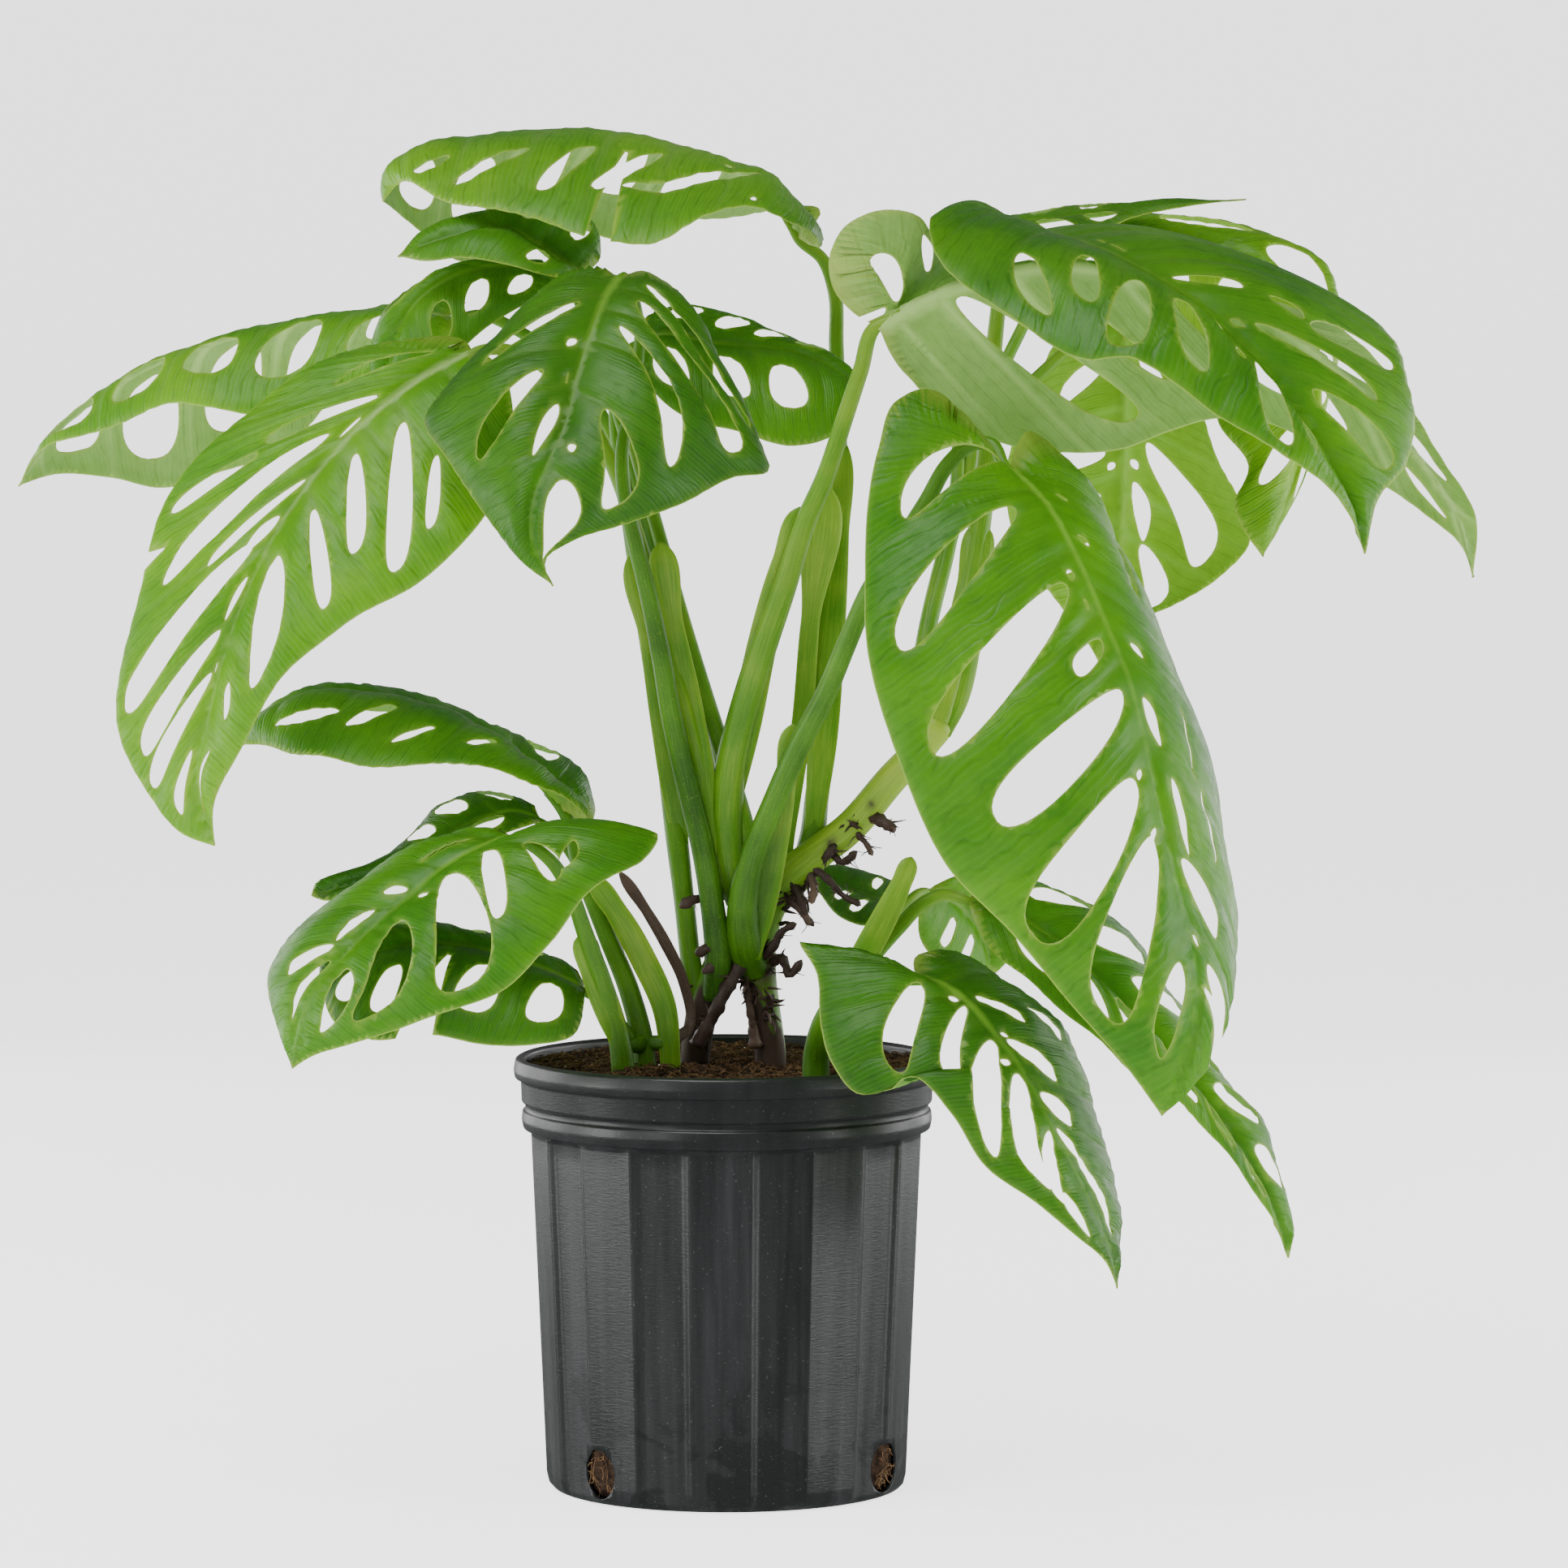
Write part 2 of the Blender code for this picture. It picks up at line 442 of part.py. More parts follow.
              (203, -158, 144), (220, -150, 129)],
        right=[(108, -112, 306), (124, -98, 311), (150, -88, 302), (177, -82, 282), (196, -84, 268),
                (206, -90, 240),
               (216, -98, 212), (222, -106, 186), (229, -116, 156), (228, -130, 134)],
        sweep=(1.25, 1.5), bow=(0.08, 0.10), wave=1.5,
        left_windows=[(113, 290, 94, 243, 19), (139, 278, 130, 241, 12), (156, 258, 151, 195, 20),
                (173, 236, 180, 178, 15),
                      (189, 205, 193, 165, 10), (199, 167, 205, 149, 9), (132, 283, 5), (162, 246, 5)],
        right_windows=[(145, 284, 171, 271, 7), (175, 277, 193, 261, 8), (163, 257, 190, 239, 11),
                (181, 226, 200, 214, 12),
                       (192, 204, 203, 194, 8), (205, 186, 222, 154, 10), (161, 262, 4),
                       (174, 239, 4), (203, 167, 4)]),
    "leaf_low_right_back": dict(
        midrib=[(140, -36, 341), (162, -42, 333), (186, -48, 318), (208, -52, 299), (230, -56, 276),
                (256, -60, 246), (282, -62, 214),
                (306, -62, 178), (326, -60, 132)],
        left=[(142, -52, 330), (152, -66, 312), (176, -76, 292), (206, -82, 266), (236, -82, 240),
                (262, -80, 222), (284, -76, 200),
              (304, -72, 172), (318, -66, 152)],
        right=[(148, -18, 350), (170, -4, 352), (196, 2, 344), (226, 2, 326), (246, -2, 304),
                (266, -10, 272), (292, -22, 228),
               (313, -36, 208), (321, -46, 176), (329, -54, 146)],
        sweep=(1.5, 1.5), bow=(0.14, 0.16), wave=1.5,
        left_windows=row(0.28, 0.86, 6, 0.18, 0.82, 0.32, 21),
        right_windows=row(0.28, 0.86, 6, 0.20, 0.80, 0.34, 22)),
    "leaf_low_right_dark": dict(
        midrib=[(100, 40, 342), (90, 52, 340), (76, 66, 344), (60, 78, 352), (50, 84, 360)],
        left=[(104, 58, 348), (96, 78, 352), (80, 92, 358), (64, 92, 362)],
        right=[(94, 26, 336), (82, 24, 326), (66, 34, 330), (55, 54, 342), (50, 70, 352)],
        sweep=(1.2, 1.2), bow=(0.10, 0.12),
        left_windows=[(0.50, 0.28, 0.78, 0.045)],
        right_windows=[(0.42, 0.28, 0.78, 0.045), (0.60, 0.28, 0.76, 0.040)]),
    "leaf_low_right_pale": dict(
        midrib=[(116, 44, 344), (130, 60, 340), (142, 74, 328), (150, 84, 312), (152, 90, 294)],
        left=[(112, 32, 336), (112, 34, 318), (122, 46, 304), (136, 64, 294), (146, 80, 290)],
        right=[(126, 50, 352), (146, 62, 354), (162, 74, 342), (166, 84, 322), (162, 90, 304)],
        sweep=(1.2, 1.2), bow=(0.12, 0.12),
        left_windows=[(0.44, 0.28, 0.78, 0.045), (0.64, 0.26, 0.76, 0.040)],
        right_windows=[(0.44, 0.28, 0.78, 0.045), (0.64, 0.26, 0.76, 0.040)]),
    "leaf_low_left_front": dict(
        midrib=[(-123, -92, 378), (-144, -100, 370), (-165, -106, 358), (-185, -112, 341),
                (-205, -117, 324), (-223, -121, 305),
                (-237, -124, 291), (-247, -126, 270), (-252, -127, 242)],
        left=[(-128, -80, 380), (-150, -62, 376), (-178, -54, 366), (-203, -52, 353),
                (-227, -58, 339), (-248, -70, 323), (-264, -86, 304),
              (-265, -100, 284), (-260, -114, 262)],
        right=[(-112, -96, 378), (-88, -96, 378), (-64, -92, 380), (-40, -92, 379), (-47, -110, 365),
                (-84, -132, 341), (-102, -144, 314),
               (-127, -152, 290), (-150, -154, 279), (-185, -152, 267), (-221, -144, 255),
               (-240, -134, 249)],
        sweep=(1.5, 1.35), bow=(0.14, 0.12), wave=2.0,
        left_windows=[(-228, 313, -253, 299, 8), (-231, 302, -252, 277, 7), (-206, 332, -223, 322, 7),
                (-185, 346, -197, 346, 6),
                      (-150, 375, -172, 366, 6)],
        right_windows=[(-117, 374, -98, 353, 13), (-90, 374, -93, 360, 10),
                (-139, 369, -130, 331, 14), (-163, 353, -152, 289, 33),
                       (-193, 327, -205, 273, 26), (-223, 299, -230, 266, 19), (-176, 344, 5)]),
    "leaf_low_left_mid": dict(
        midrib=[(-107, -20, 387), (-120, -22, 391), (-138, -22, 388), (-158, -24, 379),
                (-180, -26, 366), (-208, -28, 351), (-240, -30, 343)],
        left=[(-110, -6, 392), (-126, 12, 400), (-150, 18, 401), (-170, 12, 391), (-182, 0, 378),
                (-212, -16, 358), (-238, -24, 349)],
        right=[(-112, -32, 384), (-124, -38, 380), (-142, -40, 374), (-160, -40, 366),
                (-184, -38, 356), (-210, -36, 346), (-234, -34, 340)],
        sweep=(1.4, 1.4), bow=(0.14, 0.14),
        left_windows=row(0.30, 0.60, 3, 0.22, 0.82, 0.32, 25),
        right_windows=row(0.34, 0.60, 2, 0.25, 0.78, 0.30, 26)),
    "leaf_low_left_upper": dict(
        midrib=[(-92, -22, 392), (-103, -20, 404), (-114, -16, 415), (-128, -12, 428),
                (-141, -10, 438), (-154, -8, 446), (-185, -6, 456),
                (-215, -6, 461), (-245, -8, 459), (-266, -10, 448), (-280, -12, 430)],
        left=[(-84, -10, 384), (-76, 4, 388), (-79, 22, 407), (-91, 40, 421), (-111, 54, 429),
                (-141, 64, 435), (-180, 68, 444), (-216, 62, 452),
              (-248, 44, 452), (-270, 16, 440)],
        right=[(-82, -34, 384), (-80, -48, 388), (-98, -66, 402), (-128, -78, 413), (-160, -84, 421),
                (-192, -84, 417), (-222, -78, 421),
               (-246, -64, 424), (-264, -42, 429)],
        sweep=(1.45, 1.45), bow=(0.12, 0.16), wave=1.5,
        left_windows=row(0.34, 0.88, 5, 0.20, 0.84, 0.34, 27),
        right_windows=[(-227, 452, -256, 441, 12), (-191, 452, -218, 441, 9),
                (-169, 440, -192, 432, 5), (-134, 431, -149, 430, 5)]),
    "leaf_low_left_back": dict(
        midrib=[(-82, -46, 289), (-102, -48, 299), (-124, -50, 307), (-148, -50, 313),
                (-176, -50, 315), (-206, -52, 309), (-236, -56, 292)],
        left=[(-84, -32, 296), (-104, -10, 305), (-136, 2, 314), (-170, 4, 322), (-200, -4, 326),
                (-222, -22, 318), (-236, -42, 304)],
        right=[(-82, -62, 280), (-88, -76, 262), (-112, -84, 256), (-140, -88, 256), (-172, -90, 262),
                (-206, -86, 259), (-226, -74, 268)],
        sweep=(1.3, 1.3), bow=(0.14, 0.14),
        left_windows=row(0.34, 0.80, 4, 0.22, 0.80, 0.34, 29),
        right_windows=row(0.30, 0.50, 2, 0.22, 0.80, 0.30, 30) + row(0.74, 0.86, 2, 0.22, 0.78, 0.30,
        31),
        right_slits=[(0.62, 0.16, 0.050)]),
}

# stalks: (across, depth, height, thickness) down the middle, thickness as a radius in mm;
# "flat" is how deep a stalk is next to its width, "leaf" names the blade it carries
MAIN_STALKS = [
    dict(path=[(25, 2, 212, 9), (25, 2, 252, 9), (22, 1, 275, 9), (18, 0, 298, 10.5),
            (17, 0, 318, 12), (23, 0, 338, 12),
               (34, 0, 352, 11), (48, 0, 364, 10), (70, -2, 381, 9.5), (96, -8, 411, 9),
               (114, -16, 430, 8.5), (124, -18, 444, 7)]),
    dict(path=[(-18, -2, 212, 8.5), (-18, -2, 252, 8.5), (-15, -3, 272, 9), (-9, -5, 292, 9),
            (0, -4, 310, 8.5), (13, -2, 322, 7)]),
    dict(leaf="leaf_centre", short=0.45, path=[(-7, -8, 284, 8), (-5, -18, 308, 8), (-8, -24, 334, 7),
            (-13, -28, 366, 6.8),
               (-24, -34, 412, 6.4), (-32, -40, 447, 6), (-38, -44, 482, 5.6), (-46, -50, 520, 5),
               (-53, -54, 548, 4.6),
               (-59, -56, 575, 4.2), (-60, -54, 600, 3.8), (-55, -50, 624, 3.5), (-51, -50, 647, 3.3),
               (-50, -52, 670, 3.2)]),
    dict(path=[(-11, -24, 352, 5), (-14, -22, 400, 8), (-21, -26, 450, 7.5), (-31, -32, 500, 6),
            (-38, -38, 545, 3)], flat=0.45),
    dict(leaf="leaf_centre_right", short=0.34, path=[(-17, -2, 260, 6), (-17, -4, 278, 6),
            (-20, -4, 298, 6), (-25, -2, 343, 6), (-29, 0, 377, 6.5),
               (-36, 2, 430, 5.5), (-44, 4, 480, 5), (-52, 8, 530, 4.6), (-59, 14, 580, 4.2),
               (-64, 20, 620, 3.8), (-62, 20, 648, 3.3)]),
    dict(path=[(-26, -2, 372, 4), (-30, -6, 400, 7), (-36, -10, 440, 7.5), (-43, -12, 490, 7),
            (-53, -12, 540, 3)], flat=0.4),
    dict(leaf="leaf_top_small", short=0.38, path=[(10, -8, 345, 6), (12, -16, 372, 5.5),
            (3, -14, 410, 5), (-10, -12, 450, 5), (-25, -10, 500, 4.6),
               (-36, -8, 540, 4.2), (-50, -8, 590, 3.8), (-64, -8, 640, 3.4), (-77, -12, 684, 3)]),
    dict(leaf="leaf_left_lower", short=0.48, path=[(2, -8, 345, 6), (-3, -12, 372, 6),
            (-14, -20, 412, 5.5), (-24, -26, 450, 5.2), (-38, -26, 500, 4.8),
               (-50, -24, 545, 4.6), (-70, -16, 600, 4.2), (-96, -16, 640, 4), (-122, -26, 656, 3.6)]),
    dict(leaf="leaf_left_upper", short=1.14, path=[(2, 2, 345, 6), (-6, 10, 400, 5.5),
            (-20, 20, 460, 5), (-38, 30, 530, 4.6), (-58, 42, 590, 4.2),
               (-86, 58, 640, 3.8), (-118, 70, 667, 3.5), (-142, 76, 677, 3.2)]),
    dict(leaf="leaf_left_back", short=0.27, path=[(0, 0, 340, 6), (-12, 6, 420, 5),
            (-30, 10, 500, 4.6), (-46, 12, 560, 4.2), (-62, 12, 620, 3.6),
               (-77, 8, 668, 3.2)]),
    dict(leaf="leaf_top_left", short=0.93, path=[(30, 0, 340, 8), (42, 2, 354, 8), (49, 6, 375, 7.5),
            (52, 10, 400, 7), (57, 18, 435, 6.6), (61, 28, 482, 6),
               (63.5, 36, 528, 5.6), (65, 44, 574, 5.2), (64, 50, 620, 4.8), (63, 54, 660, 4.4),
               (62, 54, 690, 4), (55, 50, 709, 3.6)]),
    dict(path=[(50, 2, 380, 5), (55, 8, 430, 8.5), (59, 20, 490, 9), (64, 30, 550, 6.5),
            (69, 38, 600, 1.5)], flat=0.45),
    dict(path=[(31, 0, 352, 6), (33, 3, 375, 6), (37, 5, 400, 6), (43, 8, 440, 6), (48, 8, 500, 5.5),
            (58, 0, 578, 2.6)], flat=0.45),
    dict(leaf="leaf_right_under", short=1.94, path=[(8, -6, 340, 9), (3, -14, 358, 9.5),
            (0, -18, 385, 9.5), (2, -22, 415, 9), (10, -28, 450, 8.5),
               (19, -34, 480, 8), (33, -40, 520, 7), (45, -46, 557, 6), (57, -50, 585, 5.4),
               (67, -54, 615, 5), (77, -57, 645, 4.6)]),
    dict(path=[(3, -16, 395, 5), (11, -26, 440, 8.5), (21, -32, 490, 8.5), (33, -38, 535, 7),
            (42, -42, 565, 3)], flat=0.45),
    dict(leaf="leaf_front_large", short=1.33, path=[(15, -4, 300, 9), (11, -18, 312, 10),
            (9, -29, 335, 8.8), (14, -38, 362, 7.2), (28, -48, 398, 6.8),
               (40, -56, 426, 6.4), (57, -66, 459, 6), (70, -74, 490, 5.7), (82, -80, 518, 5.4),
               (100, -88, 546, 5), (115, -93, 570, 4.7),
               (128, -98, 592, 4.4), (141, -102, 603, 4.1), (152, -106, 603, 3.8)]),
    dict(path=[(14, -22, 306, 5), (20, -22, 335, 8), (27, -26, 370, 8), (34, -36, 410, 6),
            (38, -46, 440, 3)], flat=0.5),
    dict(leaf="leaf_right_front", short=0.43, path=[(120, -18, 437, 7.5), (125, -16, 452, 7.5),
            (133, -8, 480, 7.5), (140, 4, 520, 7), (146, 14, 560, 6.5),
               (150, 24, 600, 6), (152, 32, 640, 5.2), (155, 38, 672, 4.6), (158, 42, 696, 4.2)]),
    dict(path=[(122, -20, 436, 7), (128, -16, 456, 11), (135, -8, 485, 11), (141, 2, 520, 9),
            (146, 12, 556, 4)], flat=0.55),
    dict(leaf="leaf_back_bright", short=0.63, path=[(104, -8, 420, 6), (109, 4, 452, 5.5),
            (114, 24, 490, 5), (130, 58, 557, 4.6), (143, 86, 602, 4.2),
               (165, 108, 628, 3.8), (190, 122, 652, 3.5), (212, 138, 671, 3.2)]),
    dict(leaf="leaf_right_back", short=0.51, path=[(110, 4, 452, 5), (114, 26, 490, 4.8),
            (131, 60, 557, 4.4), (146, 88, 610, 4), (165, 104, 660, 3.6),
               (190, 110, 700, 3.2)]),
    dict(leaf="leaf_right_top", short=0.22, path=[(110, 4, 452, 5), (115, 24, 490, 4.8),
            (130, 54, 557, 4.2), (133, 76, 600, 3.8), (130, 92, 650, 3.3),
               (123, 100, 694, 3)]),
]
MAIN_ROOTS = [
    [(-2, -8, 345, 2.6), (-14, -16, 342, 2.2), (-27, -22, 336, 1.2)],
    [(2, -10, 316, 3.4), (-8, -22, 313, 2.8), (-18, -26, 309, 1.4)],
    [(0, -8, 312, 3.2), (-6, -20, 303, 2.8), (-14, -24, 298, 1.2)],
    [(13, -8, 308, 4), (7, -18, 300, 4), (-2, -20, 284, 4), (-11, -20, 268, 3.6), (-18, -20, 255, 3)],
    [(12, -4, 300, 3.2), (12, -8, 286, 2.8), (15, -8, 268, 2.4), (17, -8, 254, 2.2)],
    [(14, -8, 305, 3.6), (26, -18, 312, 3), (32, -20, 322, 2), (40, -20, 326, 1)],
    [(20, 0, 300, 3.2), (32, -10, 306, 3), (36, -12, 296, 2.2), (43, -12, 305, 1)],
    [(28, -2, 348, 3), (36, -8, 340, 2.6), (44, -12, 332, 2), (48, -14, 326, 1)],
    [(36, -4, 352, 3.4), (42, -10, 342, 2.8), (46, -12, 330, 2.2), (50, -12, 325, 1)],
    [(46, -4, 358, 3), (50, -10, 348, 2.4), (49, -12, 338, 1.2)],
    [(48, -4, 360, 2.8), (60, -10, 350, 2.2), (68, -12, 342, 1.6), (77, -14, 337, 0.9)],
    [(60, -6, 368, 2.6), (66, -10, 362, 2), (75, -12, 368, 1)],
    [(82, -8, 388, 3), (92, -16, 384, 3.4), (97, -18, 380, 1.6)],
    [(74, -8, 380, 2.2), (80, -12, 373, 1.6), (84, -12, 366, 0.9)],
    [(62, -8, 372, 2.4), (58, -12, 366, 2.8), (56, -12, 362, 1.2)],
]
LEFT_STALKS = [
    dict(leaf="leaf_low_left_front", short=0.42, path=[(-61, -48, 212, 6.5), (-61, -48, 252, 6.5),
            (-64, -50, 267, 6), (-71, -56, 290, 5.5), (-82, -66, 321, 4.8),
               (-91, -76, 346, 4.2), (-102, -84, 363, 3.8), (-112, -88, 371, 3.4)]),
    dict(path=[(-61, -50, 255, 5), (-68, -54, 274, 7.5), (-77, -58, 297, 7),
            (-83, -62, 319, 4.5)], flat=0.5),
    dict(leaf="leaf_low_left_upper", short=0.4, path=[(-48, -32, 212, 6.5), (-48, -32, 252, 6.5),
            (-56, -31, 286, 6), (-70, -29, 321, 5.2), (-86, -26, 362, 4.2)]),
    dict(path=[(-33, -37, 212, 6), (-33, -37, 252, 6), (-36, -37, 277, 7), (-49, -38, 307, 7.5),
            (-63, -41, 332, 6.5), (-77, -44, 352, 3)], flat=0.6),
    dict(leaf="leaf_low_left_mid", short=0.76, path=[(-48, -31, 256, 5), (-60, -24, 298, 4.6),
            (-78, -20, 345, 3.8), (-96, -19, 375, 3.2)]),
    dict(leaf="leaf_low_left_back", short=0.76, path=[(-56, -40, 258, 5), (-62, -42, 267, 4.5),
            (-68, -44, 276, 4), (-75, -45, 283, 3.2)]),
    dict(path=[(-46, -33, 257, 4), (-34, -37, 257, 3)]),
    dict(path=[(-60, -46, 256, 4), (-48, -33, 257, 4)]),
    dict(path=[(-34, -36, 258, 4), (-22, -24, 266, 3), (-25, -16, 292, 3), (-36, -16, 316, 3.4),
            (-46, -18, 333, 3), (-61, -20, 355, 1.5)], flat=0.5),
]
RIGHT_STALKS = [
    dict(leaf="leaf_low_right_front", short=0.67, path=[(52, -58, 212, 7.5), (52, -58, 252, 7.5),
            (56, -69, 270, 6), (67, -86, 285, 5), (83, -99, 291, 4.2)]),
    dict(leaf="leaf_low_right_back", short=1.38, path=[(52, -57, 254, 6.5), (58, -56, 268, 6),
            (72, -57, 292, 5.6), (86, -54, 310, 5), (100, -50, 325, 4.4),
               (112, -45, 337, 4), (125, -41, 343, 3.6)]),
    dict(path=[(62, -58, 272, 5), (76, -62, 302, 7.5), (90, -62, 328, 7.5), (100, -60, 348, 6),
            (106, -58, 363, 3.5)], flat=0.5),
    dict(leaf="leaf_low_right_dark", short=2.05, path=[(54, -52, 256, 5), (66, -24, 290, 4.4),
            (82, 10, 316, 3.8), (95, 30, 332, 3.2)]),
    dict(leaf="leaf_low_right_pale", short=2.73, path=[(66, -24, 290, 4), (84, 8, 316, 3.6),
            (100, 28, 334, 3.2)]),
]


def remove_old():
    for ob in list(bpy.data.objects):
        bpy.data.objects.remove(ob, do_unlink=True)


def material(name, colour, roughness):
    mat = bpy.data.materials.new(name)
    mat.use_nodes = True
    shader = mat.node_tree.nodes["Principled BSDF"]
    shader.inputs["Base Color"].default_value = (*colour, 1.0)
    shader.inputs["Roughness"].default_value = roughness
    mat.diffuse_color = (*colour, 1.0)
    return mat


def add_object(name, points, faces, colour, roughness):
    """a mesh object from points in millimetres"""
    mesh = bpy.data.meshes.new(name)
    mesh.from_pydata([tuple(c * MM for c in p) for p in np.asarray(points, float).tolist()], [], faces)
    mesh.materials.append(material(name + "_colour", colour, roughness))
    bm = bmesh.new()
    bm.from_mesh(mesh)
    bmesh.ops.recalc_face_normals(bm, faces=bm.faces)
    bm.to_mesh(mesh)
    bm.free()
    ob = bpy.data.objects.new(name, mesh)
    bpy.context.scene.collection.objects.link(ob)
    return ob


def apply_boolean(ob, operation, others=(), collection=None):
    """cut or join other objects into ob for good and take them away"""
    mod = ob.modifiers.new("join", "BOOLEAN")
    mod.operation = operation
    if collection is None:
        cutter = others[0]
        cutter.hide_render = True
        cutter.display_type = "WIRE"
        mod.object = cutter
        mod.solver = "EXACT"
    else:
        mod.operand_type = "COLLECTION"
        mod.collection = collection
        mod.solver = "MANIFOLD"
    graph = bpy.context.evaluated_depsgraph_get()
    done = bpy.data.meshes.new_from_object(ob.evaluated_get(graph))
    done.name = ob.name + "_done"
    ob.modifiers.clear()
    ob.data = done
    gone = list(others) if collection is None else list(collection.objects)
    for other in gone:
        bpy.data.objects.remove(other, do_unlink=True)
    if collection is not None:
        bpy.data.collections.remove(collection)


def inside(points, loop):
    """which flat points lie inside a closed loop"""
    x, y = points[:, 0], points[:, 1]
    hit = np.zeros(len(points), bool)
    for (ax, ay), (bx, by) in zip(loop, np.roll(loop, -1, axis=0)):
        if ay == by:
            continue
        cross = ((ay > y) != (by > y)) & (x < (bx - ax) * (y - ay) / (by - ay) + ax)
        hit ^= cross
    return hit


def outline_of(leaf, side, count):
    """veins and distances along one margin, with its slits cut in, foot to tip"""
    at = [(p, 1.0) for p in 0.985 * np.linspace(0, 1, count)]
    for p, inner, half in leaf.get(SIDES[side] + "_slits", []):
        at = [a for a in at if abs(a[0] - p) > half + 0.008]
        at += [(p - half, 1.0), (p - 0.1 * half, inner), (p + half, 1.0)]
        at.sort()
    return at


def blade_sheet(leaf, edge_points, rib_points, big_corners, small_corners):
    """triangles of one blade in its middle layer: points (side, p, q) and faces"""
    blade = Blade(leaf)
    spots, links, holes = [(0, 0.0, 0.0)], [], []
    ribs = [0]
    for share in np.linspace(0, 1, rib_points + 2)[1:-1]:
        ribs.append(len(spots))
        spots.append((0, float(blade.vein_of(0, share)), 0.0))
    tip = len(spots)
    spots.append((0, 1.0, 1.0))
    ribs.append(tip)
    links += list(zip(ribs[:-1], ribs[1:]))
    around = [0]
    for side in (0, 1):
        part = []
        for p, q in outline_of(leaf, side, edge_points):
            part.append(len(spots))
            spots.append((side, float(p), float(q)))
        around += part + [tip] if side == 0 else part[::-1]
    links += list(zip(around, around[1:] + around[:1]))
    for side in (0, 1):
        for window in leaf.get(SIDES[side] + "_windows", []):
            if len(window) != 4 and window[-1] <= SMALLEST_HOLE:
                continue
            corners = small_corners if len(window) == 3 or window[-1] < 8 else big_corners
            loop = []
            for p, q in ring(blade, side, window, corners):
                loop.append(len(spots))
                spots.append((side, float(np.clip(p, 0.02, 0.985)), float(q)))
            holes.append(loop)
            links += list(zip(loop, loop[1:] + loop[:1]))
        for p, q in leaf.get(SIDES[side] + "_inner", []):
            spots.append((side, p, q))
    sweep = blade.sweep
    laid = np.array([flat(s, p, q, sweep) for s, p, q in spots])
    verts, _, faces, origin, _, _ = delaunay_2d_cdt([Vector(v) for v in laid.tolist()], links, [], 0,
            1e-5)
    found = np.array([tuple(v) for v in verts])
    rim = laid[around]
    keep = []
    middles = np.array([found[list(f)].mean(0) for f in faces])
    ok = inside(middles, rim)
    for loop in holes:
        ok &= ~inside(middles, laid[loop])
    keep = [list(f) for f, good in zip(faces, ok) if good]
    placed = []
    grid = None
    for spot, source in zip(found, origin):
        if source:
            placed.append(spots[source[0]])
            continue
        if grid is None:
            p, q = np.meshgrid(np.linspace(0, 1, 401), np.linspace(0, 1, 201), indexing="ij")
            grid = p, q, flat(0, p, q, sweep), flat(1, p, q, sweep)
        side = 0 if spot[1] < 0 else 1
        near = np.argmin(np.sum((grid[2 + side] - spot) ** 2, -1))
        placed.append((side, float(grid[0].flat[near]), float(grid[1].flat[near])))
    used = sorted({i for f in keep for i in f})
    number = {old: new for new, old in enumerate(used)}
    keep = [[number[i] for i in f] for f in keep]
    return blade, [placed[i] for i in used], keep


def blade_solid(leaf):
    """a closed blade with a stout midrib beneath: points in mm and faces"""
    blade, spots, faces = blade_sheet(leaf, EDGE_POINTS, RIB_POINTS, 8, 6)
    middle = np.array([blade.point(s, p, q) for s, p, q in spots])
    normal = np.zeros_like(middle)
    corners = np.array(faces)
    a, b, c = (middle[corners[:, i]] for i in range(3))
    area = np.cross(b - a, c - a)
    for i in range(3):
        np.add.at(normal, corners[:, i], area)
    normal = unit(normal)
    up = np.array([along(blade.up, blade.start_of(s, p)) for s, p, q in spots])
    if np.sum(normal * up) < 0:
        normal = -normal
        corners = corners[:, ::-1]
    share = np.array([blade.start_of(s, p) for s, p, q in spots])
    on_rib = np.array([q == 0 for s, p, q in spots])
    below = BLADE / 2 + np.where(on_rib, RIB * (1 - share), 0.0)
    top = middle + normal * BLADE / 2
    bottom = middle - normal * below[:, None]
    n = len(middle)
    out = [tuple(f) for f in corners.tolist()] + [tuple(i + n for i in f[::-1]) for f in corners.tolist()]
    seen_edges = {}
    for f in corners.tolist():
        for i in range(3):
            seen_edges[(f[i], f[(i + 1) % 3])] = True
    for i, j in list(seen_edges):
        if (j, i) not in seen_edges:
            out.append((j, i, i + n))
            out.append((j, i + n, j + n))
    return np.vstack([top, bottom]), out


def tube(path, sides, flat_share=1.0, curve=None, turn=0.0):
    """a closed stalk through (x, y, z, radius) points, wide across the front when flat"""
    p = np.array(path, float) if curve is None else smooth(np.array(path, float), curve)
    way = unit(np.gradient(p[:, :3], axis=0))
    wide = unit(np.cross(way, np.array([0.0, 1.0, 0.0]) + way[:, [1, 2, 0]] * 0.02))
    deep = unit(np.cross(wide, way))
    points, faces = [], []
    for at, w, d in zip(p, wide, deep):
        for k in range(sides):
            a = 2 * np.pi * (k + turn) / sides
            points.append(at[:3] + at[3] * (np.cos(a) * w + flat_share * np.sin(a) * d))
    for r in range(len(p) - 1):
        for k in range(sides):
            a, b = r * sides + k, r * sides + (k + 1) % sides
            faces.append((a, b, b + sides, a + sides))
    faces.append(tuple(range(sides))[::-1])
    faces.append(tuple((len(p) - 1) * sides + k for k in range(sides)))
    return points, faces


def stalk_path(stalk):
    """a stalk's run, moved to where it stands and brought up to the foot of its blade"""
    path = np.array(stalk["path"], float)
    path[:, :3] = seen(path[:, :3])
    if "leaf" in stalk:
        leaf = LEAVES[stalk["leaf"]]
        blade = Blade(leaf)
        foot = blade.mid[0]
        back = unit(path[-1, :3] - foot)
        under = -blade.up[0]
        end = foot + back * stalk.get("short", 3.2) + under * 2.6
        path = np.vstack([path, [*end, 2.0]])
    return path


